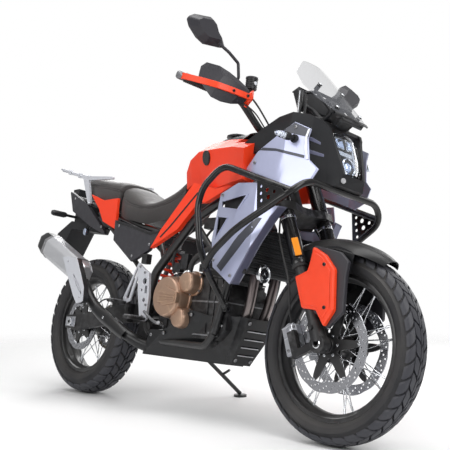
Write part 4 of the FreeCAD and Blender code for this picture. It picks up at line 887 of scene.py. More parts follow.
CHAIN = Finish("chain_steel", seen(120, 112, 96), 0.38, slot="chain_steel", metallic=0.9, grain_scale=700.0,
               grain_depth=0.02, tone=0.25, wear=0.4, worn=seen(190, 186, 176), dust=0.12)
CAN = Finish("silencer_steel", seen(206, 207, 211), 0.34, slot="exhaust_steel", metallic=0.8,
             grain=Grain.BRUSHED, grain_scale=900.0, grain_depth=0.012, stretch=(0.15, 1.0, 1.0), tone=0.1,
             wear=0.25, worn=seen(226, 226, 227), dust=0.04)
PIPE = HeatedPipe("exhaust_steel", seen(132, 130, 132), 0.3, slot="exhaust_steel", metallic=0.95,
                  grain=Grain.BRUSHED, grain_scale=600.0, grain_depth=0.01, tone=0.15, wear=0.3,
                  worn=seen(200, 196, 190), dust=0.06)
# Tread rubber painted lighter and bluer than the carcass's rubber: the same rubber, with the sheen that the
# blocks reflect painted in as colour.
LIT_TREAD_RUBBER = Finish("tread_rubber_painted_sheen", seen(46, 47, 54), 0.5, slot="tyre", grain=Grain.CAST,
                      grain_scale=900.0, grain_depth=0.08, tone=0.1, wear=0.1, worn=seen(70, 70, 74),
                      dust=0.05)
RUBBER = Finish("tyre_rubber", seen(27, 27, 31), 0.66, slot="tyre", grain=Grain.CAST, grain_scale=900.0,
                grain_depth=0.08, tone=0.18, wear=0.5, worn=seen(70, 69, 68), dust=0.12)
GRIP = Finish("grip_rubber", seen(28, 28, 30), 0.68, grain=Grain.MOULDED, grain_scale=1200.0,
              grain_depth=0.08, tone=0.15, wear=0.3, worn=seen(66, 66, 66), dust=0.06)
SEAT = Finish("seat_cover", seen(31, 26, 26), 0.5, slot="seat_cover", grain=Grain.LEATHER,
              grain_scale=420.0, grain_depth=0.16, tone=0.2, wear=0.12, worn=seen(82, 76, 74), dust=0.05,
              sheen=0.15)
SEAT_TOP = Finish("seat_top_cover", seen(46, 41, 42), 0.62, slot="seat_cover", grain=Grain.LEATHER,
                  grain_scale=300.0, grain_depth=0.3, tone=0.22, wear=0.1, worn=seen(90, 84, 82), dust=0.05,
                  sheen=0.2)
THREAD = Finish("seat_thread", seen(70, 66, 66), 0.7, slot="seat_cover", grain_scale=2500.0,
                grain_depth=0.05, tone=0.2, wear=0.0, dust=0.03)
RADIATOR = FinnedCore("radiator_core", seen(40, 40, 43), 0.45, metallic=0.6, grain_scale=800.0,
                      grain_depth=0.03, tone=0.2, wear=0.2, worn=seen(120, 120, 120), dust=0.1)
AMBER = Finish("amber_lens", seen(246, 148, 14), 0.16, slot="signal_lens", coat=0.4, grain_scale=500.0,
               grain_depth=0.05, tone=0.1, wear=0.0, dust=0.02)
RED_LENS = Finish("red_lens", seen(190, 14, 18), 0.14, slot="signal_lens", coat=0.6, grain_scale=500.0,
                  grain_depth=0.05, tone=0.1, wear=0.0, dust=0.02)
WHITE_LENS = Finish("white_lens", seen(232, 236, 242), 0.16, slot="lamp_lens", coat=0.5, grain_scale=600.0,
                    grain_depth=0.03, tone=0.05, wear=0.0, dust=0.02)
REFLECTOR = Finish("lamp_reflector", seen(196, 208, 232), 0.1, slot="lamp_lens", metallic=1.0,
                   grain_scale=120.0, grain_depth=0.05, tone=0.08, wear=0.0, dust=0.0)
LENS_GLASS = Finish("lens_glass", (0.9, 0.94, 1.0), 0.04, slot="lamp_lens", grain=Grain.NONE,
                    transmission=1.0, ior=1.48)
DISPLAY = Finish("display_glass", seen(10, 12, 16), 0.08, slot="lamp_lens", coat=0.8, grain_scale=300.0,
                 grain_depth=0.005, tone=0.05, wear=0.0, dust=0.02)
SCREEN = ClearSheet("clear_screen", seen(128, 130, 136), 0.05, slot="clear_screen", ior=1.49, alpha=0.01)
MIRROR = Finish("mirror_glass", seen(210, 214, 220), 0.03, slot="steel", metallic=1.0, grain_scale=60.0,
                grain_depth=0.002, tone=0.02, wear=0.0, dust=0.01)


# The studio


@dataclass
class Studio:
    """The camera at the photograph's place, a pale floor and soft lamps."""

    place: Place = (2.49197, -2.30179, 0.61091)
    ahead: Place = (-0.73459, 0.67663, 0.05055)
    up: Place = (0.03722, -0.03420, 0.99872)
    lens_mm: float = 62.394
    floor_reach: float = 14.0
    lamps: list[tuple] = field(default_factory=lambda: [
        ("overhead", (0.3, -0.4, 3.6), (0.0, 0.0, 0.5), (3.4, 2.2), 84.0),
        ("key", (3.0, -0.6, 2.1), (0.1, 0.0, 0.6), (1.2, 2.4), 42.0),
        ("side", (0.2, -3.6, 2.0), (0.0, 0.0, 0.5), (2.6, 1.6), 46.0),
        ("back", (-2.6, 1.8, 2.4), (0.0, 0.0, 0.7), (1.6, 1.8), 40.0),
        ("far_side", (0.6, 3.2, 1.6), (0.0, 0.0, 0.5), (2.4, 1.4), 34.0),
    ])

    def build(self) -> None:
        """Adds the camera, lamps, world and floor."""
        bpy.context.scene.view_settings.view_transform = "Standard"
        self._camera()
        for name, place, target, size, power in self.lamps:
            self._lamp(name, place, target, size, power)
        self._world()
        self._floor()

    def _camera(self) -> None:
        """The photograph's camera, with its axes given as rows."""
        data = bpy.data.cameras.new("camera")
        data.lens = self.lens_mm
        data.sensor_width = 36.0
        data.clip_end = 60.0
        camera = bpy.data.objects.new("camera", data)
        bpy.context.scene.collection.objects.link(camera)
        ahead = Vector(self.ahead).normalized()
        right = ahead.cross(Vector(self.up)).normalized()
        up = right.cross(ahead)
        matrix = camera.matrix_world.copy()
        for row in range(3):
            matrix[row][0], matrix[row][1], matrix[row][2] = right[row], up[row], -ahead[row]
            matrix[row][3] = self.place[row]
        camera.matrix_world = matrix
        bpy.context.scene.camera = camera

    @staticmethod
    def _lamp(name: str, place: Place, target: Place, size: tuple[float, float], power: float) -> None:
        """One soft rectangular lamp aimed at a target."""
        data = bpy.data.lights.new(name, "AREA")
        data.shape = "RECTANGLE"
        data.size, data.size_y = size
        data.energy = power
        lamp = bpy.data.objects.new(name, data)
        bpy.context.scene.collection.objects.link(lamp)
        lamp.location = place
        lamp.rotation_euler = (Vector(target) - Vector(place)).to_track_quat("-Z", "Y").to_euler()

    @staticmethod
    def _world() -> None:
        """White to the camera and in reflections, softer as a light."""
        world = bpy.data.worlds.new("studio")
        bpy.context.scene.world = world
        world.use_nodes = True
        sheet = Sheet(world.node_tree)
        back = world.node_tree.nodes["Background"]
        path = sheet.add("LightPath")
        shown = sheet.math("MAXIMUM", path.outputs["Is Camera Ray"], path.outputs["Is Transmission Ray"])
        shown = sheet.math("MAXIMUM", shown, sheet.math("MULTIPLY", path.outputs["Is Glossy Ray"], 0.34))
        strength = sheet.add("MapRange", _0=shown, _1=0.0, _2=1.0, _3=0.27, _4=1.0).outputs[0]
        sheet.put(back.inputs["Strength"], strength)
        back.inputs["Color"].default_value = (1.0, 1.0, 1.0, 1.0)

    def _floor(self) -> None:
        """A pale floor that fades into the background away from the machine."""
        mesh = bpy.data.meshes.new("floor")
        r = self.floor_reach
        mesh.from_pydata([(-r, -r, 0), (r, -r, 0), (r, r, 0), (-r, r, 0)], [], [(0, 1, 2, 3)])
        floor = bpy.data.objects.new("floor", mesh)
        bpy.context.scene.collection.objects.link(floor)
        material = bpy.data.materials.new("floor_pale")
        material.use_nodes = True
        sheet = Sheet(material.node_tree)
        shader = material.node_tree.nodes["Principled BSDF"]
        place = sheet.add("TexCoord").outputs["Object"]
        noise = sheet.add("TexNoise", Vector=place, Scale=40.0, Detail=4.0).outputs["Fac"]
        tint = sheet.add("MapRange", _0=noise, _1=0.0, _2=1.0, _3=0.955, _4=0.985).outputs[0]
        sheet.put(shader.inputs["Base Color"],
                  sheet.add("CombineColor", _0=tint, _1=tint, _2=tint).outputs[0])
        shader.inputs["Roughness"].default_value = 0.75
        shader.inputs["Specular IOR Level"].default_value = 0.15
        distance = sheet.add("VectorMath", {"operation": "LENGTH"}, _0=place).outputs["Value"]
        near = sheet.math("SUBTRACT", 1.0, sheet.ramp(distance, 1.4, 4.2))
        sheet.put(shader.inputs["Alpha"], near)
        mesh.materials.append(material)


@dataclass
class Assembly:
    """A part of the machine that is dressed with one kit."""

    kit: Kit

    def side_screws(self, name: str, places: Places, radius: float, height: float, finish: Finish,
                    replaces: Sequence[str] = (), slot: str = "") -> None:
        """One piece of screws that face sideways, away from the machine's middle."""
        axes = [(0.0, math.copysign(1.0, place[1]), 0.0) for place in places]
        self.kit.piece(name, bolts(places, axes, radius, height), finish, replaces, slot)


# Wheels


@dataclass
class TyreSection:
    """A tyre's section, which the carcass and the tread blocks share."""

    radius: float
    width: float
    rim_r: float
    outline_points: int = 41
    crown_points: int = 28

    def outer(self) -> np.ndarray:
        """Half of the outer outline from the crown's centre to the bead, as (radius, y)."""
        w, r = self.width, self.radius
        rough = [(r, 0.0), (r - 0.012 * w, 0.14 * w), (r - 0.03 * w, 0.26 * w), (r - 0.085 * w, 0.36 * w),
                 (r - 0.17 * w, 0.44 * w), (r - 0.27 * w, 0.487 * w), (r - 0.36 * w, 0.5 * w),
                 (self.rim_r + 26, 0.495 * w), (self.rim_r + 14, 0.465 * w), (self.rim_r + 5, 0.40 * w),
                 (self.rim_r + 0.8, 0.345 * w)]
        return smooth(rough, self.outline_points)

    def crown(self, sideways: np.ndarray) -> np.ndarray:
        """The crown's radius at sideways places, from the outer outline."""
        radius, side = self.outer()[:self.crown_points].T
        return np.interp(np.abs(sideways), side, radius)


@dataclass
class Tyre(Assembly):
    """A block-tread tyre: a carcass with sidewall rings, and blocks whose tops are at the full radius."""

    name: str
    node: str
    centre: np.ndarray
    section: TyreSection
    pitches: int = 34
    groove: float = 7.0

    def build(self) -> None:
        """Makes the carcass and the tread."""
        self._carcass()
        self._tread()

    def _carcass(self) -> None:
        """The carcass: the outer outline, lowered under the tread, with two rings on each wall."""
        outer = self.section.outer()
        count = np.arange(len(outer))
        low = np.where(count < 24, self.groove * np.clip((25 - count) / 4.0, 0, 1), 0.0)
        from_rim = outer[:, 0] - self.section.rim_r
        ripple = 0.7 * np.exp(-((from_rim - 34) / 1.4) ** 2) + 0.8 * np.exp(-((from_rim - 17) / 1.2) ** 2)
        grow = np.gradient(outer, axis=0)
        normal = unit(np.stack([grow[:, 1], -grow[:, 0]], axis=1))
        skin = outer + normal * (ripple - low)[:, None]
        rim, w = self.section.rim_r, self.section.width
        inner = np.array([(rim + 0.8, 0.262 * w), (rim + 12, 0.30 * w),
                          (self.section.radius - 0.3 * w, 0.36 * w), (self.section.radius - 0.15 * w, 0.0)])
        half = np.vstack([skin, inner])
        profile = np.vstack([half, (half * (1, -1))[::-1][1:-1]])
        shape = lathe(profile, self.centre, 192)
        self.kit.piece(self.name + "_carcass", shape, RUBBER, (self.node,), angle=50, clean=True)

    def _tread(self) -> None:
        """Blocks in five rows with slanted, zigzag edges, one to a pitch in each row.

        A block is a grid over (turn, sideways) lifted from the groove floor to the crown; its edges
        are drawn in and its corners sheared by the row's slant.
        """
        w = self.section.width
        rows = [(-0.44, -0.285, 0.0, 0.74, 0.5), (-0.255, -0.07, 0.36, 0.78, -0.4),
                (-0.042, 0.042, 0.1, 0.76, 0.34), (0.07, 0.255, 0.86, 0.78, 0.4),
                (0.285, 0.44, 0.5, 0.74, -0.5)]
        shapes = [self._row(np.array((a * w, b * w)), start, share, slant)
                  for a, b, start, share, slant in rows]
        # The blocks take the lighter tread rubber, a painted sheen on the same rubber as the carcass.
        self.kit.piece(self.name + "_tread", shapes, LIT_TREAD_RUBBER, (self.node,), bevel=0.9, angle=38)

    def _row(self, reach: np.ndarray, start: float, share: float, slant: float) -> Shape:
        """One ring of blocks between two sideways places, as a four by four grid with walls."""
        pitch = 2 * np.pi / self.pitches
        side_points = 4
        sheet_points = side_points ** 2
        u = np.linspace(0, 1, side_points)
        k = np.arange(self.pitches)
        kk, uu, vv = np.meshgrid(k, u, u, indexing="ij")
        zig = 0.05 * np.where((vv > 0.3) & (vv < 0.7), 1.0, -0.4)
        turn = (kk + start + share * (uu - 0.5) + slant * (vv - 0.5) + zig * (uu * 2 - 1) * 0.5) * pitch
        side = reach[0] + (reach[1] - reach[0]) * vv
        top = self._at(turn, side, 0.0)
        foot = self._at(turn + (uu - 0.5) * 0.02 * pitch, side + (vv - 0.5) * 1.6, self.groove + 1.2)
        points = np.stack([top, foot], axis=1)
        base = (k * 2 * sheet_points)[:, None, None]
        cell = (np.arange(3)[:, None] * side_points + np.arange(3)).ravel()
        face = np.stack([cell, cell + side_points, cell + side_points + 1, cell + 1], axis=-1)[None]
        rim = np.array([0, 4, 8, 12, 13, 14, 15, 11, 7, 3, 2, 1])
        nxt = np.roll(rim, -1)
        wall = np.stack([rim, rim + sheet_points, nxt + sheet_points, nxt], axis=-1)[None]
        sole = face[..., ::-1] + sheet_points
        faces = np.concatenate([base + face, base + wall, base + sole], axis=1).reshape(-1, 4)
        return Shape(points.reshape(-1, 3), [faces[:, ::-1]])

    def _at(self, turn: np.ndarray, side: np.ndarray, drop: float) -> np.ndarray:
        """Places on the crown, lowered by drop."""
        return on_wheel(self.centre, self.section.crown(side) - drop, turn, side)


@dataclass
class SpokedRim(Assembly):
    """A tubeless rim with raised edges, a hub and crossed spokes with nipples."""

    name: str
    node: str
    centre: np.ndarray
    rim_r: float
    width: float
    flange_r: float
    flange_y: float
    core_r: float
    half_length: float
    lace_turn: float = 0.0
    spokes: int = 16

    def build(self) -> None:
        """Makes the rim, the hub and the spokes."""
        w, r = self.width, self.rim_r
        outer = [(r, 0.345 * w), (r + 0.3, 0.325 * w), (r - 3, 0.30 * w), (r - 2, 0.24 * w),
                 (r - 8, 0.20 * w), (r - 21, 0.13 * w), (r - 22, 0.0)]
        inner = [(r - 30.5, 0.0), (r - 30, 0.10 * w), (r - 27, 0.14 * w), (r - 17, 0.20 * w),
                 (r - 14.5, 0.25 * w), (r - 13, 0.30 * w), (r - 14, 0.33 * w), (r - 12, 0.349 * w),
                 (r - 4, 0.352 * w)]
        half = outer[:-1] + [(rr, -y) for rr, y in reversed(outer)]
        low = [(rr, -y) for rr, y in reversed(inner)] + inner[1:]
        self.kit.piece(self.name + "_rim", lathe(half + low, self.centre, 180), FRAME_BLACK, (self.node,),
                       angle=40, clean=True)
        self._hub()
        self._spokes()

    def _hub(self) -> None:
        """A waisted hub with stepped flanges, a bearing seal and a bore."""
        fr, fy, cr, hl = self.flange_r, self.flange_y, self.core_r, self.half_length
        half = [(12.7, hl - 4), (cr - 8, hl - 4), (cr - 7, hl), (cr - 1, hl), (cr, hl - 1.5), (cr, fy + 6),
                (fr - 4, fy + 5), (fr, fy + 4), (fr, fy - 2), (fr - 3, fy - 3), (cr + 8, fy - 9),
                (cr + 2, fy - 18), (cr, 0.0)]
        profile = half + [(r, -y) for r, y in reversed(half[:-1])]
        self.kit.piece(self.name + "_hub", lathe(profile, self.centre, 72), FRAME_BLACK, (self.node,),
                       bevel=0.8, clean=True)

    def _spokes(self) -> None:
        """Sixteen crossed spokes a side, with heads at the flange and nipples in the well."""
        k = np.arange(self.spokes)
        odd = np.where(k % 2 == 1, 1, -1)
        step = 2 * np.pi / self.spokes
        lows, highs = [], []
        for side in (1, -1):
            base = math.radians(self.lace_turn) + k * step + (step / 2 if side < 0 else 0)
            lows.append(on_wheel(self.centre, self.flange_r - 6, base, side * (self.flange_y + 1.5 * odd)))
            highs.append(on_wheel(self.centre, self.rim_r - 26, base + odd * math.radians(34), side * 4.0))
        low, high = np.vstack(lows), np.vstack(highs)
        wires = bars(low, high, 2.1, 8)
        along = unit(high - low)
        nipples = bars(high - along * 22, high + along * 1.5, 3.6, 8)
        heads = bars(low - np.array((0, 3.4, 0)), low + np.array((0, 3.4, 0)), 3.2, 8)
        self.kit.piece(self.name + "_spokes", [wires, nipples, heads], CHROME, (self.node,), angle=50,
                       clean=True)


@dataclass
class Disc(Assembly):
    """A drilled, scalloped brake disc on a carrier with floating buttons."""

    name: str
    node: str
    centre: np.ndarray
    y: float
    radius: float
    band: float
    carrier_r: float
    hub_r: float
    turn: float = 0.0

    def build(self) -> None:
        """Makes the band, the carrier and its buttons."""
        c = (self.centre[0], self.centre[2])
        out = turns(180)
        edge = self.radius - 2.2 * (0.5 + 0.5 * np.cos(12 * out)) ** 2
        ring = np.asarray(c) + around(edge, out)
        well = self.radius - self.band
        dip = well + 3.0 * np.cos(6 * (out - self.turn))
        holes = [np.asarray(c) + around(dip, out)[::2]]
        for k, radius in enumerate((self.radius - 8, self.radius - self.band / 2,
                                    self.radius - self.band + 9)):
            holes += ring_holes(c, radius, 3.4, 24, self.turn + k * 0.087, 10)
        self.kit.piece(self.name + "_band", punched(ring, holes, self.y - 2.5, self.y + 2.5), DISC,
                       (self.node,), bevel=0.3, angle=40)
        self._carrier(c)

    def _carrier(self, c: tuple[float, float]) -> None:
        """A black six-armed spider: its radius swings between hub and band, with six windows."""
        out = turns(144)
        swing = (0.5 + 0.5 * np.cos(6 * (out - self.turn))) ** 3.0
        reach = self.carrier_r - 6 + (self.radius - self.band + 5 - self.carrier_r + 6) * swing
        ring = np.asarray(c) + around(reach, out)
        middle = [np.asarray(c) + circle(self.hub_r + 0.4, 48)]
        windows = ring_holes(c, (self.carrier_r + self.hub_r) / 2 + 6, 7.0, 6, self.turn + np.pi / 6, 14)
        self.kit.piece(self.name + "_carrier", punched(ring, middle + windows, self.y - 3.4, self.y + 3.4),
                       FRAME_BLACK, (self.node,), bevel=0.7)
        angles = self.turn + np.arange(6) * np.pi / 3
        side = math.copysign(1.0, self.y)
        seats = [on_wheel(self.centre, radius, angles, self.y + side * 3.2)
                 for radius in (self.radius - self.band + 1, self.hub_r + 11)]
        shape = bolts(np.vstack(seats), (0, side, 0), 5.6, 2.6)
        self.kit.piece(self.name + "_buttons", shape, CHROME, (self.node,))


class Wheels(Assembly):
    """Both wheels with their discs and the driven sprocket."""

    def build(self) -> None:
        """Makes every piece of both wheels."""
        front, rear = self.kit.riding(Body.FRONT_WHEEL), self.kit.riding(Body.REAR_WHEEL)
        Tyre(front, "front_tyre", "front_tyre", FRONT_AXLE, TyreSection(FRONT_TYRE_R, 110.0, 254.0),
             38).build()
        Tyre(rear, "rear_tyre", "rear_tyre", REAR_AXLE, TyreSection(REAR_TYRE_R, 150.0, 229.0), 34).build()
        SpokedRim(front, "front_wheel", "front_rim", FRONT_AXLE, 254.0, 110.0, 44.0, 34.0, 26.0,
                  72.0).build()
        SpokedRim(rear, "rear_wheel", "rear_rim", REAR_AXLE, 229.0, 150.0, 58.0, 44.0, 34.0, 101.0,
                  5.0).build()
        for side, name in ((1, "left"), (-1, "right")):
            Disc(front, "front_disc_" + name, "front_discs", FRONT_AXLE, 57.0 * side, 160.0, 34.0, 62.0,
                 26.0, 0.12).build()
        Disc(rear, "rear_disc", "rear_disc", REAR_AXLE, -76.0, 126.0, 30.0, 70.0, 34.0, 0.3).build()
        self._sprocket()

    def _sprocket(self) -> None:
        """The driven sprocket: 44 teeth under the chain, six windows and bolts."""
        out = turns(352)
        radius = 96.0 - 2.6 * (0.5 - 0.5 * np.cos(44 * out)) ** 1.5
        ring = around(radius, out) + (0.0, REAR_TYRE_R)
        holes = [np.array((0.0, REAR_TYRE_R)) + circle(34.4, 40)]
        holes += ring_holes((0.0, REAR_TYRE_R), 66.0, 15.0, 6, 0.2, 20)
        holes += ring_holes((0.0, REAR_TYRE_R), 80.0, 4.0, 12, 0.46)
        self.kit.piece("rear_sprocket_plate", punched(ring, holes, CHAIN_Y - 3.4, CHAIN_Y + 3.4), STEEL,
                       ("rear_sprocket",), body=Body.REAR_WHEEL, bevel=0.6)
        angles = 0.2 + np.pi / 6 + np.arange(6) * np.pi / 3
        at = on_wheel(REAR_AXLE, 52, angles, 95.2)
        self.kit.piece("rear_sprocket_nuts", bolts(at, (0, 1, 0), 6.0, 4.0), CHROME, body=Body.REAR_WHEEL)


# Engine, exhaust and cooling


@dataclass
class Engine(Assembly):
    """The twin's cases, covers, cylinders and small parts."""

    case_y: float = 112.0

    def build(self) -> None:
        """Makes every engine piece."""
        self.kit.copy("engine_cases", CAST_BLACK, 2.4)
        self.kit.copy("cylinder_block", CAST_BLACK, 1.4)
        self._right_covers()
        self._left_covers()
        self._details()

    @staticmethod
    def _turned(x: float, z: float, profile: Outline, steps: int = 64) -> Shape:
        """A (radius, y) outline turned about a crosswise axis at x, z."""
        return lathe(profile, np.array((x, 0.0, z)), steps)

    def _right_covers(self) -> None:
        """Clutch cover with its raised pointed boss and ribs, pump and sump covers with screws."""
        y = -self.case_y
        dome = [(0.01, y - 73), (66, y - 73.5), (74, y - 72), (79, y - 68), (82, y - 60), (84, y - 50),
                (84, y - 14), (90, y - 12), (91, y - 2), (88, y + 1), (0.01, y + 1)]
        pump = [(0.01, y - 58), (30, y - 58.5), (37, y - 56), (41, y - 50), (43, y - 40), (44, y - 10),
                (50, y - 8), (50, y), (0.01, y)]
        low = [(0.01, y - 56), (28, y - 56.5), (35, y - 54), (39, y - 48), (41, y - 38), (42, y - 10),
               (47, y - 8), (47, y), (0.01, y)]
        shapes = [self._turned(742, 458, dome), self._turned(838, 520, pump, 48),
                  self._turned(812, 378, low, 48)]
        self.kit.piece("clutch_cover", shapes, BRONZE, ("engine_covers",), bevel=1.2, angle=28, clean=True)
        boss = [(703, 472), (740, 499), (768, 494), (822, 476), (826, 454), (822, 432), (768, 424),
                (740, 421), (703, 440)]
        ribs = [prism([(712, 452 + d), (816, 450 + d * 0.55), (816, 455 + d * 0.55), (712, 457 + d)],
                      y - 84, y - 70) for d in (-22, -8, 6, 20)]
        raised = prism(boss, y - 80, y - 60)
        self.kit.piece("clutch_boss", [raised] + ribs, BRONZE, ("engine_covers",), bevel=2.2)
        places = []
        for x, z, ring, depth, count, start in ((742, 458, 86, 13, 9, 0.2), (838, 520, 46.5, 9, 5, 0.6),
                                                (812, 378, 44, 9, 5, 1.0)):
            turn = start + turns(count)
            places += [(x + ring * math.cos(t), y - depth, z + ring * math.sin(t)) for t in turn]
        self.kit.piece("cover_screws", bolts(places, (0, -1, 0), 5.2, 4.0), STEEL, ("engine_covers",))

    def _left_covers(self) -> None:
        """Generator and gearbox covers."""
        y = self.case_y
        dome = [(0.01, y + 60), (40, y + 60.5), (44, y + 57), (66, y + 57), (76, y + 53), (84, y + 46),
                (91, y + 30), (92, y + 10), (97, y + 8), (97, y), (0.01, y)]
        gear = [(0.01, y + 34), (34, y + 34), (44, y + 28), (49, y + 18), (50, y), (0.01, y)]
        shapes = [self._turned(900, 430, dome), self._turned(770, 500, gear, 48)]
        self.kit.piece("generator_cover", shapes, BRONZE, ("engine_covers",), bevel=1.2, angle=28,
                       clean=True)
        turn = np.linspace(0.3, 2 * np.pi + 0.3, 10, endpoint=False)
        places = [(900 + 93 * math.cos(t), y + 9, 430 + 93 * math.sin(t)) for t in turn]
        self.kit.piece("generator_screws", bolts(places, (0, 1, 0), 5.2, 4.0), STEEL, ("engine_covers",))

    def _details(self) -> None:
        """Case ribs, seams and screws, hoses with clamps, an oil filter and electric boxes."""
        y = self.case_y
        ribs = []
        for x in (690, 930, 965, 1000):
            ribs.append(prism([(x, 330), (x + 5, 330), (x + 5, 540), (x, 540)], -y - 5, y + 5))
        self.kit.piece("case_ribs", ribs, CAST_BLACK, bevel=1.2)
        seams = [prism([(640, 448), (1046, 448), (1046, 455), (640, 455)], -y - 3.5, y + 3.5),
                 prism([(716, 318), (1006, 318), (1006, 324), (716, 324)], -y - 4, y + 4)]
        self.kit.piece("case_seams", seams, CAST_GREY, slot="engine_dark", bevel=1.0)
        places = [(x, s * (y + 3), z) for s in (-1, 1)
                  for x, z in ((662, 474), (676, 340), (1030, 478), (1026, 362), (940, 528), (1010, 515),
                               (700, 540), (960, 330))]
        axes = [(0, math.copysign(1, p[1]), 0) for p in places]
        self.kit.piece("case_screws", bolts(places, axes, 5.5, 4.5), STEEL)
        hoses = [tube([(838, -150, 560), (850, -150, 610), (930, -146, 660), (1060, -138, 640),
                       (1135, -110, 600)], 11, 40, 16),
                 tube([(1040, -60, 800), (1085, -96, 790), (1120, -140, 735)], 11, 30, 16),
                 tube([(870, -112, 600), (850, -124, 650), (880, -118, 720), (940, -92, 790)], 5, 30, 10),
                 tube([(700, -116, 560), (690, -128, 620), (720, -120, 700), (800, -100, 760)], 6, 40, 10),
                 tube([(860, 112, 560), (850, 122, 640), (890, 112, 730), (930, 90, 800)], 6, 40, 10)]
        self.kit.piece("engine_hoses", hoses, GRIP, slot="engine_dark", clean=True)
        clamps = [self._clamp((838, -150, 563), (0, 0, 1), 12.4),
                  self._clamp((1120, -117, 610), (1, 0.5, -0.6), 12.4)]
        self.kit.piece("hose_clamps", clamps, CHROME, clean=True)
        can = spun([(0.01, 1074), (30, 1074), (33, 1068), (33, 1046), (0.01, 1046)], (0, -40, 380),
                   AHEAD_AXES)
        self.kit.piece("oil_filter", can, SATIN_BLACK, slot="engine_dark", bevel=1.0, clean=True)
        boxes = [block((862, -128, 742), (930, -96, 786)), block((690, -124, 566), (742, -98, 604)),
                 block((940, 90, 560), (1000, 122, 600)), block((760, -138, 574), (800, -112, 640))]
        self.kit.piece("electric_boxes", boxes, SATIN_BLACK, slot="engine_dark", bevel=3.0)

    @staticmethod
    def _clamp(place: Place, axis: Place, radius: float) -> Shape:
        """A band round a hose."""
        middle = np.asarray(place, float)
        along = unit(np.asarray(axis, float))
        return rod(middle - along * 4, middle + along * 4, radius, 20)


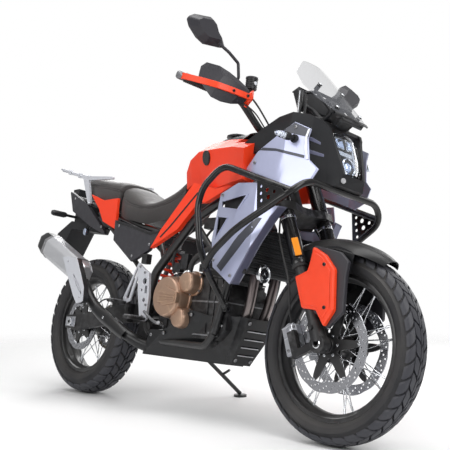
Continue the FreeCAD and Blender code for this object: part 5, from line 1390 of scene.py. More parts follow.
@dataclass
class Exhaust(Assembly):
    """Header pipes, collector, mid pipe, silencer and its shield."""

    start: Place = (172.0, -232.0, 546.0)
    end: Place = (-168.0, -236.0, 690.0)

    def build(self) -> None:
        """Makes the pipes, the can and the shield."""
        self._pipes()
        self._can()
        self._shield()

    def _pipes(self) -> None:
        """Two bent headers, a flattened collector and the pipe to the can."""
        shapes, collars = [], []
        for side in (1, -1):
            route = [(1050, side * 46, 736), (1100, side * 50, 712), (1120, side * 56, 600),
                     (1096, side * 50, 425), (1034, side * 36, 294), (1000, side * 24, 247)]
            shapes.append(tube(route, 19, 90, 24))
            collars.append(rod((1052.0, side * 46, 735), (1068.0, side * 46.8, 727), 27, 24))
            collars.append(rod((1121.2, side * 55.6, 612), (1119.8, side * 55, 588), 21.5, 20))
        run = [(1000, 0, 247), (900, 0, 246), (690, -36, 245), (600, -134, 248), (520, -180, 286),
               (372, -196, 352), (272, -212, 404), (196, -226, 500)]
        self.kit.piece("header_pipes", shapes, PIPE, ("exhaust_pipes",), angle=50, clean=True)
        self.kit.piece("mid_pipe", tube(run, 24, 120, 28), SATIN_BLACK, ("exhaust_pipes",),
                       slot="exhaust_steel", angle=50, clean=True)
        collector = block((880, -44, 230), (1010, 44, 262))
        self.kit.piece("collector", collector, PIPE, ("exhaust_pipes",), bevel=14.0)
        joints = [rod((452.0, -187.6, 316), (424.0, -190.6, 329), 28, 24)]
        self.kit.piece("pipe_clamps", collars + joints, STEEL, ("exhaust_pipes",), slot="exhaust_steel",
                       bevel=1.0, clean=True)
        guard = self._guard()
        self.kit.piece("pipe_guard", guard, SATIN_BLACK, bevel=1.0, solid=2.5)
        self.kit.piece("pipe_guard_screws", bolts([(500, -214, 302), (398, -231, 348)], (0, -1, 0.1), 5.5),
                       CHROME)

    @staticmethod
    def _guard() -> Shape:
        """A curved shield outside the mid pipe: an arc of two radians, narrower at both ends."""
        path = smooth([(528, -182, 284), (470, -190, 312), (410, -197, 340), (360, -202, 362),
                       (318, -208, 384)], 24)
        along = unit(np.gradient(path, axis=0))
        out = unit(np.cross(np.cross(along, (0, -1, 0)), along))
        out = np.where(out[:, 1:2] > 0, -out, out)
        up = np.cross(out, along)
        arc = np.linspace(-1.0, 1.0, 13)[None, :, None]
        taper = (0.7 + 0.3 * np.sin(np.linspace(0.25, np.pi - 0.2, 24)))[:, None, None]
        points = path[:, None] + 34 * (np.cos(arc) * out[:, None] + np.sin(arc * taper) * up[:, None])
        return grid(points)

    def _can(self) -> None:
        """An eight-sided can: rings of rounded octagons, drawn in at both ends."""
        start, end = np.asarray(self.start), np.asarray(self.end)
        axis = unit(end - start)
        side = np.array((0.0, 1.0, 0.0))
        up = np.cross(side, axis)
        up = up if up[2] > 0 else -up
        axes = np.array([axis, side, up])
        stations = [(-40, 34, 40), (-14, 45, 48), (0, 50, 52), (12, 50.5, 52.5), (300, 54, 56)]
        tail = [(300, 53.5, 55.5), (340, 52, 54), (352, 50, 52), (368, 43, 45), (373, 38, 40)]
        self.kit.piece("silencer_can", self._octagon(stations, start, axes), CAN, ("silencer",), bevel=7.0,
                       angle=20)
        self.kit.piece("silencer_end_cap", self._octagon(tail, start, axes), SATIN_BLACK, ("silencer",),
                       bevel=5.0, angle=20)
        band = [(284, 54.6, 56.6), (304, 54.9, 56.9)]
        front = [(6, 51.4, 53.4), (26, 51.9, 53.9)]
        bands = joined([self._octagon(b, start, axes) for b in (band, front)])
        self.kit.piece("silencer_bands", bands, STEEL, ("silencer",), slot="exhaust_steel", bevel=1.5)
        rivets = []
        for along in (294, 16):
            for a, b in ((-1.0, 0.25), (-1.0, -0.25), (-0.78, 0.75), (-0.78, -0.75)):
                rivets.append(start + axis * along + side * (53.5 * a) + up * (54 * b))
        self.kit.piece("silencer_rivets", bolts(rivets, (0, -1, 0), 3.2, 2.0), CHROME, ("silencer",))
        outlet = start + axis * 372 - up * 4
        ring = [(19, -6), (19, 1.4), (16, 1.4), (16, -6)]
        self.kit.piece("silencer_outlet", spun(ring, outlet, (side, up, axis), 32), STEEL, ("silencer",),
                       slot="exhaust_steel", clean=True)

    @staticmethod
    def _octagon(stations: Sequence[tuple[float, float, float]], start: np.ndarray,
                 axes: np.ndarray) -> Shape:
        """Octagon rings at stations (along, half width, half height), closed at both ends."""
        corner = np.array([(-1, -0.5), (-1, 0.5), (-0.5, 1), (0.5, 1), (1, 0.5), (1, -0.5), (0.5, -1),
                           (-0.5, -1)])
        axis, side, up = axes
        rings = np.array([start + axis * a + side * (corner[:, :1] * w) + up * (corner[:, 1:] * h)
                          for a, w, h in stations])
        body = grid(rings[:, ::-1], False, True)
        last = (len(stations) - 1) * len(corner)
        ends = np.arange(len(corner))
        body.faces += [ends[None, :], last + ends[None, ::-1]]
        return body

    def _shield(self) -> None:
        """The slotted side shield ahead of the can."""
        outline = [(94, 604), (150, 606), (212, 598), (258, 536), (304, 468), (311, 410), (300, 402),
                   (264, 398), (230, 430), (198, 470), (150, 530)]
        slots = []
        for k in range(4):
            x, z = 206 + 15 * k, 522 - 13 * k
            slots.append(np.array([(x, z), (x + 4, z + 6), (x + 44, z - 42), (x + 40, z - 50)]))
        plate = punched(np.array(outline, float), slots, -291.5, -287.5)
        lip = np.array(outline, float)
        rim = punched(lip, [self._inset(lip, 0.93)], -287.6, -263)
        self.kit.piece("heat_shield", plate, PALE_SILVER, ("silencer",), bevel=1.2)
        self.kit.piece("heat_shield_rim", rim, SATIN_BLACK, ("silencer",), bevel=0.8)
        self.kit.piece("heat_shield_screws", bolts([(150, -291, 584), (286, -291, 424)], (0, -1, 0), 5.5),
                       CHROME)

    @staticmethod
    def _inset(outline: np.ndarray, share: float) -> np.ndarray:
        """The outline drawn towards its middle."""
        middle = outline.mean(axis=0)
        return middle + (outline - middle) * share


class Cooling(Assembly):
    """The radiator with side tanks, cap and horn."""

    def build(self) -> None:
        """Dresses the core and adds tanks, guard wires, cap and horn."""
        self.kit.copy("radiator", RADIATOR, 0.6)
        tanks = [prism([(1126, 744), (1148, 556), (1192, 552), (1172, 742)], s * 176 - (0 if s > 0 else 14),
                       s * 176 + (14 if s > 0 else 0)) for s in (1, -1)]
        self.kit.piece("radiator_tanks", tanks, CAST_BLACK, slot="radiator_black", bevel=4.0)
        z = np.linspace(572, 728, 14)
        x = 1190 - (z - 556) * 20.0 / 184
        wires = bars(np.column_stack([x, np.full(14, -160.0), z]),
                     np.column_stack([x, np.full(14, 160.0), z]), 1.2, 6)
        self.kit.piece("radiator_guard_wires", wires, SATIN_BLACK, slot="radiator_black", clean=True)
        cap = lathe([(0.01, -128), (17, -128), (19, -130), (19, -140), (0.01, -140)],
                    np.array((1132.0, 0, 760.0)), 28)
        horn = [(0.01, -8), (30, -8), (34, -4), (34, 6), (30, 10), (22, 12), (20, 9), (8, 9), (6, 14),
                (0.01, 14)]
        self.kit.piece("horn", spun(horn, (1202, -100, 564), AHEAD_AXES, 40), CHROME, bevel=0.8, clean=True)
        bracket = rod((1160.0, -100, 575), (1196.0, -100, 566), 4, 8)
        self.kit.piece("horn_bracket", [bracket, cap], SATIN_BLACK, slot="radiator_black", bevel=0.5,
                       clean=True)


# Frame, running gear and protection


def paired(places: Places) -> list[Place]:
    """Places on the left, then the same on the right."""
    return [(x, side * y, z) for side in (1, -1) for x, y, z in places]


def sided(outline: Outline, holes: Sequence[np.ndarray], low: float, high: float) -> Shape:
    """A plate with holes on both sides of the machine, between two distances from its centre plane."""
    flat = np.asarray(outline, float)
    return joined([punched(flat, holes, low, high), punched(flat, holes, -high, -low)])


@dataclass
class RunningGear(Assembly):
    """Frame, swingarm, chain, shock, stand, footrests and rear brake."""

    output: tuple[float, float] = (640.0, 405.0)

    def build(self) -> None:
        """Makes every piece of the running gear."""
        self.kit.copy("main_frame", FRAME_BLACK, 1.0)
        self.kit.copy("swingarm", CAST_BLACK, 2.2)
        self.kit.copy("side_stand", FRAME_BLACK, 1.0)
        self.kit.copy("rear_caliper", FORK_SILVER, 1.6)
        self.kit.copy("rear_fender", MATT_BLACK, 1.5)
        self._swingarm_ends()
        self._chain()
        self._shock()
        self._footrests()
        self._small_parts()

    def _swingarm_ends(self) -> None:
        """Axle adjusters, nuts and pivot caps."""
        plates = sided([(-46, 300), (-46, 342), (34, 346), (34, 298)], [REAR_AXLE[[0, 2]] + circle(13, 32)],
                       135, 139)
        self.kit.piece("axle_plates", plates, FORK_SILVER, slot="alloy", bevel=1.2, clean=True)
        nuts = []
        for s in (1, -1):
            nuts.append(lathe([(8.6, 139 * s), (21, 139 * s), (21, 149 * s), (17, 151 * s), (8.6, 151 * s)],
                              REAR_AXLE, 6))
        self.kit.piece("axle_nuts", nuts, CHROME, bevel=1.0, angle=20, clean=True)
        bosses = [rod((560.0, s * 116, 398), (560.0, s * 150, 398), 21, 32) for s in (1, -1)]
        self.kit.piece("pivot_bosses", bosses, FRAME_BLACK, slot="frame_black", bevel=2.0, clean=True)
        caps = paired([(560, 150, 398)])
        self.side_screws("pivot_caps", caps, 13, 6, STEEL)
        screws = [(-52, s * 122, z) for s in (1, -1) for z in (331, 311)]
        self.kit.piece("chain_adjusters", bolts(screws, (-1, 0, 0), 5.5, 7), STEEL)

    def _chain_route(self) -> np.ndarray:
        """The chain's closed line round both sprockets: two straight runs and two arcs."""
        rear, front = np.array((0.0, REAR_TYRE_R)), np.array(self.output)
        big, small = 104.0, 40.0
        span = front - rear
        slope = math.atan2(span[1], span[0])
        tilt = math.acos((big - small) / float(np.linalg.norm(span)))
        top = np.stack([rear + around(big, slope + tilt), front + around(small, slope + tilt)])
        low = np.stack([front + around(small, slope - tilt), rear + around(big, slope - tilt)])
        nose = slope + tilt - np.linspace(0, 2 * tilt, 24)[1:-1]
        tail = slope - tilt - np.linspace(0, 2 * np.pi - 2 * tilt, 60)[1:-1]
        return np.vstack([top, front + around(small, nose), low, rear + around(big, tail), top[:1]])

    def _chain(self) -> None:
        """Link plates and rollers round both sprockets.

        Pins stand at equal steps along the route. A link is a twelve-cornered plate between two
        pins, turned to its chord.
        """
        route = self._chain_route()
        length = np.concatenate([[0], np.cumsum(np.linalg.norm(np.diff(route, axis=0), axis=1))])
        count = 2 * int(round(length[-1] / CHAIN_PITCH / 2))
        at = np.linspace(0, length[-1], count, endpoint=False)
        pins = np.stack([np.interp(at, length, route[:, 0]), np.interp(at, length, route[:, 1])], axis=1)
        nxt = np.roll(pins, -1, axis=0)
        along = unit(nxt - pins)
        across = np.stack([-along[:, 1], along[:, 0]], axis=1)
        pitch = float(length[-1]) / count
        outline = np.array([(-5, 0), (-3.4, 5.4), (2, 6.6), (pitch / 2, 5.0), (pitch - 2, 6.6),
                            (pitch + 3.4, 5.4), (pitch + 5, 0), (pitch + 3.4, -5.4), (pitch - 2, -6.6),
                            (pitch / 2, -5.0), (2, -6.6), (-3.4, -5.4)])
        flat = (pins[:, None] + along[:, None] * outline[None, :, :1]
                + across[:, None] * outline[None, :, 1:])
        outer = (np.arange(count) % 2 == 0)[:, None]
        plates = []
        for s in (1, -1):
            far = np.where(outer, 7.9, 5.6) * s + CHAIN_Y
            near = np.where(outer, 5.9, 3.6) * s + CHAIN_Y
            plates.append(self._plates(flat, near, far))
        pins3, ends3 = (np.column_stack([pins[:, 0], np.full(count, CHAIN_Y + side), pins[:, 1]])
                        for side in (-8.2, 8.2))
        self.kit.piece("chain_plates", plates, CHAIN, ("drive_chain",), angle=30, clean=True)
        rollers = joined([bars(pins3, ends3, 2.4, 8),
                          bars(pins3 + (0, 4.8, 0), ends3 - (0, 4.8, 0), 4.6, 10)])
        self.kit.piece("chain_rollers", rollers, STEEL, ("drive_chain",), slot="chain_steel", angle=50,
                       clean=True)
        self._chain_fittings()

    def _chain_fittings(self) -> None:
        """The driving sprocket, and the guard over the chain with its lugs."""
        front = np.array(self.output)
        out = turns(144)
        radius = 37.2 - 3.2 * (0.5 - 0.5 * np.cos(16 * out)) ** 1.5
        small_sprocket = punched(front + around(radius, out), [front + circle(12, 20)], CHAIN_Y - 3.4,
                                 CHAIN_Y + 3.4)
        self.kit.piece("front_sprocket", small_sprocket, STEEL, ("drive_chain",), bevel=0.5)
        guard_path = [(-30, 452), (120, 470), (300, 468), (430, 470)]
        top_line = smooth(guard_path, 24)
        curve = np.stack([top_line[:, 0], np.full(24, 0.0), top_line[:, 1]], axis=1)
        lip = curve[:, None] + np.array([(0, 112, -26), (0, 112, -3), (0, 109, 0), (0, 85, 0)])[None]
        self.kit.piece("chain_guard", grid(lip), SATIN_BLACK, bevel=0.8, solid=2.5)
        lugs = [tube([(60, 113, 440), (66, 116, 352)], 5), tube([(380, 113, 446), (384, 116, 404)], 5)]
        self.kit.piece("chain_guard_lugs", lugs, SATIN_BLACK, clean=True)

    @staticmethod
    def _plates(flat: np.ndarray, near: np.ndarray, far: np.ndarray) -> Shape:
        """Flat plates, each an outline in side view between two heights."""
        count, corners = flat.shape[:2]
        low = np.stack([flat[..., 0], np.broadcast_to(near, (count, corners)), flat[..., 1]], axis=-1)
        high = np.stack([flat[..., 0], np.broadcast_to(far, (count, corners)), flat[..., 1]], axis=-1)
        points = np.stack([low, high], axis=1).reshape(-1, 3)
        base = (np.arange(count) * 2 * corners)[:, None]
        k = np.arange(corners)[None, :]
        nxt = (k + 1) % corners
        walls = np.stack([base + k, base + nxt, base + corners + nxt, base + corners + k],
                         axis=-1).reshape(-1, 4)
        return Shape(points, [walls, base + k[:, ::-1], base + corners + k])

    def _shock(self) -> None:
        """A coil spring on a damper, between two seats.

        The coil is a helix of radius 33 about the damper's axis, with six and a half turns.
        """
        low, high = np.array((428.0, 0, 400)), np.array((560.0, 0, 740))
        axis = unit(high - low)
        side = np.array((0.0, 1.0, 0.0))
        up = np.cross(axis, side)
        t = np.linspace(0, 1, 150)
        turn = 2 * np.pi * 6.5 * t
        centre = low + axis * (106 + 190 * t)[:, None]
        helix = centre + 33 * (np.cos(turn)[:, None] * side + np.sin(turn)[:, None] * up)
        self.kit.piece("shock_spring", carried(helix, circle(6.2, 10), tuple(axis)), ORANGE,
                       ("rear_shock",), slot="steel", clean=True)
        ends = [(low, low + axis * 102, 22), (low + axis * 92, low + axis * 101, 45),
                (low + axis * 301, low + axis * 310, 45), (low + axis * 300, high, 24),
                (low + axis * 100, low + axis * 302, 11)]
        shapes = [rod(a, b, r, 28) for a, b, r in ends]
        self.kit.piece("shock_body", shapes, CAST_GREY, ("rear_shock",), slot="steel", bevel=1.0,
                       clean=True)

    def _footrests(self) -> None:
        """Alloy hangers, serrated pegs, pedals and their screws."""
        y = 128.0
        outline = [(502, 598), (545, 573), (584, 556), (604, 452), (604, 364), (590, 352), (562, 353),
                   (521, 480)]
        holes = [np.array((562.0, 520.0)) + circle(14, 28), np.array((572.0, 440.0)) + circle(9, 20),
                 np.array((548.0, 482.0)) + circle(6, 16)]
        lobe = np.array([(568, 500), (584, 500), (588, 468), (572, 468)], float)
        plates = [sided(outline, holes + [lobe], y + 18, y + 32)]
        hanger = [(500, 600), (520, 580), (472, 432), (430, 420), (420, 445)]
        inner = np.array([(494, 578), (500, 570), (462, 446), (444, 440), (440, 448)], float)
        plates.append(sided(hanger, [inner], y + 22, y + 30))
        self.kit.piece("footrest_hangers", plates, PALE_SILVER, ("footrests",), slot="alloy", bevel=1.4,
                       clean=True)
        pegs, teeth = [], []
        for s in (1, -1):
            pegs.append(block((562, min(s * 160, s * 249), 353), (604, max(s * 160, s * 249), 366)))
            pegs.append(block((418, min(s * 158, s * 239), 418), (450, max(s * 158, s * 239), 430)))
            for k in range(7):
                a, b = sorted((s * (172 + 11 * k), s * (175 + 11 * k)))
                teeth.append(block((562, a, 364), (604, b, 371)))
            for k in range(5):
                a, b = sorted((s * (172 + 13 * k), s * (176 + 13 * k)))
                teeth.append(block((419, a, 428), (449, b, 434.5)))
        self.kit.piece("pegs", pegs, CAST_BLACK, ("footrests",), slot="steel", bevel=2.0)
        self.kit.piece("peg_teeth", teeth, STEEL, ("footrests",), bevel=0.6)
        places = paired([(x, y + 32, z) for x, z in ((522, 582), (560, 556), (594, 420), (582, 372))])
        self.side_screws("hanger_screws", places, 6.5, 4.5, STEEL, ("footrests",))
        brake = [tube([(598, -168, 392), (680, -176, 352), (746, -184, 346)], 6, 30, 12),
                 tube([(735, -176, 346), (762, -214, 348)], 7, 0, 12)]
        shift = [tube([(598, 168, 392), (668, 178, 362), (726, 184, 356)], 6, 30, 12),
                 tube([(718, 176, 356), (742, 212, 356)], 7, 0, 12),
                 tube([(610, 164, 410), (690, 140, 470)], 4, 0, 10)]
        self.kit.piece("pedals", brake + shift, CAST_GREY, clean=True)

    def _small_parts(self) -> None:
        """Brake hose, caliper pins and master cylinder."""
        hoses = [tube([(118, -96, 392), (200, -112, 440), (330, -104, 440), (430, -118, 470),
                       (520, -120, 560)], 3.4, 50, 8)]
        self.kit.piece("rear_brake_hose", hoses, GRIP, clean=True)
        pins = [(104, -98, 340), (134, -98, 346), (124, -98, 384)]
        self.kit.piece("rear_caliper_pins", bolts(pins, (0, -1, 0), 5.5, 4), CHROME)
        master = [block((508, -146, 470), (536, -124, 560)), block((504, -150, 596), (540, -120, 640))]
        self.kit.piece("rear_master_cylinder", master, SATIN_BLACK, bevel=4.0)


@dataclass
class Protection(Assembly):
    """Crash bars, skid plate and luggage rack.

    Fields:
        slots: The front sheet's slots, as (distance up the sheet, half length).
    """

    slots: tuple = ((46, 42), (82, 47), (118, 52), (154, 57))

    def build(self) -> None:
        """Makes the bars, the plate and the rack with their fasteners."""
        self._bars()
        self._skid()
        self.kit.copy("rear_rack", PALE_SILVER, 1.2)
        places = paired([(-326, 124, 1098), (-226, 124, 1070), (-140, 124, 1048), (-28, 124, 900)])
        self.side_screws("rack_screws", places, 6, 4, CHROME)

    def _bars(self) -> None:
        """Bent tubes with perforated gussets, feet and screws."""
        hoop = [(1058, 136, 430), (1050, 240, 545), (1040, 288, 640), (1012, 298, 790), (1030, 298, 862),
                (1108, 280, 944), (1438, 250, 830)]
        sweep = [(1052, 262, 560), (1110, 286, 612), (1228, 294, 696), (1432, 262, 818), (1461, 200, 877),
                 (1461, 0, 877)]
        left = joined([tube(hoop, 12.5, 46, 20), tube(sweep, 12.5, 52, 20)])
        self.kit.piece("crash_bar_tubes", left.both(), GLOSS_BLACK, ("crash_bars",), slot="frame_black",
                       angle=50, clean=True)
        gusset = np.array([(1288, 872), (1306, 748), (1345, 772), (1425, 822), (1412, 836)], float)
        holes = [np.array(c) + circle(r, 16) for c, r in
                 (((1312, 850), 6), ((1314, 824), 6), ((1320, 798), 6), ((1326, 772), 6), ((1342, 836), 9),
                  ((1352, 808), 9), ((1378, 826), 7))]
        plate = punched(gusset, holes, 268, 272)
        self.kit.piece("bar_gussets", plate.both(), GLOSS_BLACK, ("crash_bars",), slot="frame_black",
                       bevel=0.8, clean=True)
        feet = [block((1046, 120, 414), (1070, 142, 446)), block((1040, 250, 545), (1064, 276, 574))]
        self.kit.piece("bar_feet", joined(feet).both(), GLOSS_BLACK, ("crash_bars",), slot="frame_black",
                       bevel=3.0, clean=True)
        screws = [(1058, s * 143, 430) for s in (1, -1)] + [(1461, s * 8, 892) for s in (1, -1)]
        axes = [(0, 1, 0), (0, -1, 0), (0, 0, 1), (0, 0, 1)]
        self.kit.piece("bar_screws", bolts(screws, axes, 6.5, 4.5), CHROME, ("crash_bars",))

    def _skid(self) -> None:
        """The folded plate, bright bars along its slots' lower edges as painted highlights, and screws."""
        self.kit.copy("skid_plate", SATIN_BLACK, 1.2, 18.0)
        low, high = np.array((1034.0, 0, 222)), np.array((1140.0, 0, 404))
        axis = unit(high - low)
        out = np.array((axis[2], 0, -axis[0]))

        def face(along: float, across: float, lift: float = 0.0) -> np.ndarray:
            """A place on the front sheet."""
            return low + axis * along + out * lift + np.array((0, across, 0))

        sheet = punched(np.array([(0, -52), (0, 52), (205, 84), (205, -84)], float),
                        [np.array([(a - 2.6, -h), (a - 2.6, h), (a + 2.6, h), (a + 2.6, -h)], float)
                         for a, h in self.slots], -4, 0)
        back = punched(np.array([(8, -50), (8, 50), (196, 80), (196, -80)], float), [], -9, -7)
        sheet = sheet + back
        along, lift, across = sheet.points.T
        front = Shape(low + along[:, None] * axis + lift[:, None] * out + across[:, None] * (0, 1, 0),
                      sheet.faces)
        cheeks = [cage([face(0, 52, -1), face(205, 84, -1), (1090, 82, 404), (999, 51, 222),
                        face(0, 48, -1), face(205, 80, -1), (1090, 78, 404), (999, 47, 222)],
                       [(0, 1, 2, 3), (7, 6, 5, 4), (0, 4, 5, 1), (1, 5, 6, 2), (2, 6, 7, 3),
                        (3, 7, 4, 0)])]
        self.kit.piece("skid_front_sheet", [front, cheeks[0], cheeks[0].mirrored()], SATIN_BLACK,
                       ("skid_plate",), bevel=1.0, clean=True)
        # Bright alloy bars along each slot's lower edge: painted highlights where the slots' edges catch
        # the light.
        rims = []
        for a, h in self.slots:
            rims.append(rod(face(a - 3.6, -h, 1.0), face(a - 3.6, h, 1.0), 1.9, 8))
        self.kit.piece("skid_slot_highlights", rims, ALLOY, clean=True)
        places = [tuple(face(a, s * w)) for a, w in ((20, 40), (184, 66)) for s in (1, -1)]
        self.kit.piece("skid_front_screws", bolts(places, tuple(out), 7.5, 4.0), STEEL)
        side = paired([(724, 150, 312), (872, 141, 394), (642, 149, 300)])
        self.side_screws("skid_side_screws", side, 7.0, 4.0, STEEL)


# Fork and steering


@dataclass
class Fork(Assembly):
    """The upside-down fork, its clamps, calipers, fender and guards."""

    y: float = 105.0

    def build(self) -> None:
        """Makes every piece that turns with the bars below the top clamp."""
        self._tubes()
        self.kit.copy("fork_legs", CAST_BLACK, 1.6)
        self.kit.copy("triple_clamps", CAST_BLACK, 2.0)
        self._calipers()
        self._fender()
        self._guards()
        self._details()

    def _on_legs(self, profile: Outline, steps: int = 48) -> Shape:
        """A (radius, t) outline turned about each fork leg."""
        return joined([spun(profile, fork(0, side * self.y, 0), FORK_AXES, steps) for side in (1, -1)])

    def _tubes(self) -> None:
        """Gloss outer tubes with wipers, clamp bands and caps."""
        body = [(21.8, 296), (27, 294), (30.5, 297), (31, 304), (30.5, 314), (28.2, 318), (28, 330),
                (28, 776), (26, 779), (0.01, 779), (0.01, 700), (21.8, 370)]
        self.kit.piece("fork_outer_tubes", self._on_legs(body), GLOSS_BLACK, ("fork_tubes",),
                       slot="fork_black", angle=40, clean=True)
        cap = [(0.01, 779), (18, 779), (18, 787), (16, 790), (9, 790), (9, 786), (0.01, 786)]
        self.kit.piece("fork_caps", self._on_legs(cap, 24), ALLOY, ("fork_tubes",), slot="fork_alloy",
                       bevel=0.6, clean=True)
        wiper = [(22.2, 285), (26, 285), (27.5, 289), (27.5, 296), (22.2, 296)]
        self.kit.piece("fork_wipers", self._on_legs(wiper, 40), GRIP, slot="grip_rubber", bevel=0.6,
                       clean=True)
        band = [(28.2, 478), (30.2, 479), (30.2, 489), (28.2, 490)]
        self.kit.piece("fork_bands", self._on_legs(band, 40), CHROME, bevel=0.5, clean=True)

    def _calipers(self) -> None:
        """Silver calipers with ribs, piston caps and pins."""
        self.kit.copy("front_calipers", FORK_SILVER, 2.4)
        caps, pins, ribs = [], [], []
        for s in (1, -1):
            for n, t in ((-136, 104), (-138, 64)):
                place = fork(n, s * 82.8, t)
                caps.append(tuple(place))
            for n, t in ((-108, 50), (-110, 112), (-158, 40)):
                pins.append(tuple(fork(n, s * 82.5, t)))
            for t in (30, 84, 122):
                a, b = fork(-164, s * 81, t), fork(-108, s * 81, t + 2)
                ribs.append(rod(a, b, 4.0, 10))
        self.side_screws("caliper_piston_caps", caps, 13, 3.5, FORK_SILVER)
        self.side_screws("caliper_pins", pins, 5.5, 4, STEEL)
        self.kit.piece("caliper_ribs", ribs, FORK_SILVER, bevel=1.0, clean=True)

    def _fender(self) -> None:
        """The crowned mudguard and its cheeks.

        The crown is a surface over (turn about a centre behind the axle, sideways): radius and
        width follow the solid's section, its edges turn down, and the front draws in to a beak.
        """
        turn = np.radians(np.linspace(53.2, 110.8, 49))[:, None]
        v = np.linspace(-1, 1, 41)[None, :]
        front = np.clip((np.degrees(turn) - 53) / 19, 0, 1)
        width = 79 * (0.42 + 0.58 * np.sin(front * np.pi / 2) ** 0.8)
        drop = 44 * np.abs(v) ** 3.2 * (0.55 + 0.45 * front) + 5 * np.exp(-((np.abs(v) - 0.42) / 0.05) ** 2)
        radius = 409 - drop + 3 * (1 - front) - 6 * np.clip((np.degrees(turn) - 101) / 10, 0, 1) ** 2
        x = 1459 + radius * np.cos(turn)
        z = 294 + radius * np.sin(turn)
        points = np.stack([x, np.broadcast_to(v * width, radius.shape), z], axis=-1)
        self.kit.piece("front_fender_crown", grid(points), SATIN_BLACK, ("front_fender",), bevel=0.8,
                       solid=3.6, angle=50)
        outline = [(1598, 640), (1572, 520), (1556, 462), (1530, 416), (1492, 404), (1434, 430),
                   (1372, 500), (1352, 590), (1370, 652), (1440, 664), (1520, 668), (1566, 656)]
        notch = np.array([(1430, 560), (1488, 585), (1500, 545), (1446, 520)], float)
        cheeks = sided(smooth(outline + outline[:1], 60)[:-1], [notch], 76, 80)
        self.kit.piece("front_fender_cheeks", cheeks, MATT_BLACK, ("front_fender",), bevel=1.0, clean=True)
        stays = [tube([(1440, s * 83, 470), (1416, s * 86, 540)], 4) for s in (1, -1)]
        self.kit.piece("fender_stays", stays, SATIN_BLACK, clean=True)

    def _guards(self) -> None:
        """Orange shields with rounded edges outside the legs, each on a wider dark backing."""
        shield = [(1459, 658), (1516, 629), (1562, 580), (1574, 443), (1537, 387), (1497, 440), (1435, 444),
                  (1390, 553), (1443, 575), (1452, 610)]
        backing = [(1450, 664), (1520, 652), (1569, 640), (1606, 607), (1600, 561), (1603, 440),
                   (1543, 382), (1490, 428), (1428, 436), (1382, 556), (1438, 582)]
        field = np.array([(1469, 640), (1509, 618), (1547, 574), (1558, 450), (1534, 414), (1504, 452),
                          (1446, 456), (1409, 547), (1456, 567), (1463, 604)])
        self.kit.piece("fork_guard_shells", sided(shield, [], 113, 135), ORANGE_PLASTIC, ("fork_guards",),
                       bevel=6.0, clean=True)
        self.kit.piece("fork_guard_fields", sided(field, [], 134, 137.5), ORANGE_PLASTIC, ("fork_guards",),
                       bevel=3.0, clean=True)
        self.kit.piece("fork_guard_backs", sided(backing, [], 101, 118), GREY_PLASTIC, ("fork_guards",),
                       bevel=4.0, clean=True)
        places = paired([(1520, 137, 595), (1538, 137, 450)])
        self.side_screws("fork_guard_screws", places, 6.5, 4.5, SATIN_BLACK, slot="steel")

    def _details(self) -> None:
        """Axle rings, pinch screws, reflectors, brake hoses and clamp screws."""
        rings = [lathe([(8.1, s * 126), (12, s * 127.5), (15.5, s * 126), (15.5, s * 122.6),
                        (8.1, s * 122.6)], FRONT_AXLE, 40) for s in (1, -1)]
        self.kit.piece("axle_rings", rings, CHROME, clean=True)
        pinch = [tuple(fork(-24 - 12 * k, s * 104, -8)) for s in (1, -1) for k in (0, 1)]
        up = FORK_AXES[2]
        self.kit.piece("pinch_screws", bolts(pinch, tuple(-up), 5, 4), STEEL)
        clamp = [tuple(fork(-16, s * 139, t)) for s in (1, -1) for t in (521, 538, 748)]
        self.side_screws("clamp_screws", clamp, 5, 4, CHROME)
        shapes = []
        flat = np.array([(-12, -3), (12, -3), (12, 3), (-12, 3)])
        for s in (1, -1):
            path = np.stack([fork(22, s * (self.y + 22), t) for t in (322, 392)])
            across = FORK_AXES[1] * s - FORK_AXES[0]
            shapes.append(carried(path, flat, tuple(across)))
        self.kit.piece("fork_reflectors", shapes, AMBER, bevel=2.0, clean=True)
        hoses = []
        for s in (1, -1):
            route = [fork(-120, s * 78, 118), fork(-100, s * 96, 170), fork(-44, s * 132, 240),
                     fork(-38, s * 136, 420), fork(-40, s * 100, 506), fork(-44, s * 62, 560)]
            hoses.append(tube([tuple(p) for p in route], 3.6, 60, 10))
        self.kit.piece("front_brake_hoses", hoses, GRIP, clean=True)
        fittings = [rod(fork(-122, s * 78, 104), fork(-118, s * 79, 122), 6, 12) for s in (1, -1)]
        self.kit.piece("hose_fittings", fittings, CHROME, bevel=0.6, clean=True)


# Bodywork


UPPER_PLAN = ((1060, 186), (1200, 206), (1330, 196), (1400, 176), (1500, 140))
LOWER_PLAN = ((980, 200), (1020, 205), (1150, 218), (1230, 214), (1300, 190), (1380, 150))
COWL_PLAN = ((1060, 176), (1330, 172), (1400, 136), (1450, 92), (1510, 58))


def dense(outline: Outline, step: float = 9.0) -> np.ndarray:
    """A closed outline with extra points along its runs, at most a step apart."""
    p = np.asarray(outline, float)
    nxt = np.roll(p, -1, axis=0)
    counts = np.maximum(1, np.ceil(np.linalg.norm(nxt - p, axis=1) / step).astype(int))
    index = np.repeat(np.arange(len(p)), counts)
    share = np.concatenate([np.arange(c) / c for c in counts])[:, None]
    return p[index] + (nxt[index] - p[index]) * share


def wrapped(outline: Outline, plan: Outline, inner: float, outer: float,
            holes: Sequence[np.ndarray] = ()) -> Shape:
    """A plate on both sides that follows a plan curve.

    Args:
        outline: Its outline in side view, (x, z).
        plan: The curve, (x, y) points from the rear to the front.
        inner: Distance of its inner face outside the curve.
        outer: Distance of its outer face outside the curve.
        holes: Loops cut out of it.
    Returns:
        Both plates: y = plan(x) + the flat plate's own y.
    """
    flat = punched(dense(outline), [dense(hole) for hole in holes], inner, outer)
    course = np.asarray(plan, float)
    points = flat.points.copy()
    points[:, 1] += np.interp(points[:, 0], course[:, 0], course[:, 1])
    return Shape(points, flat.faces).both()


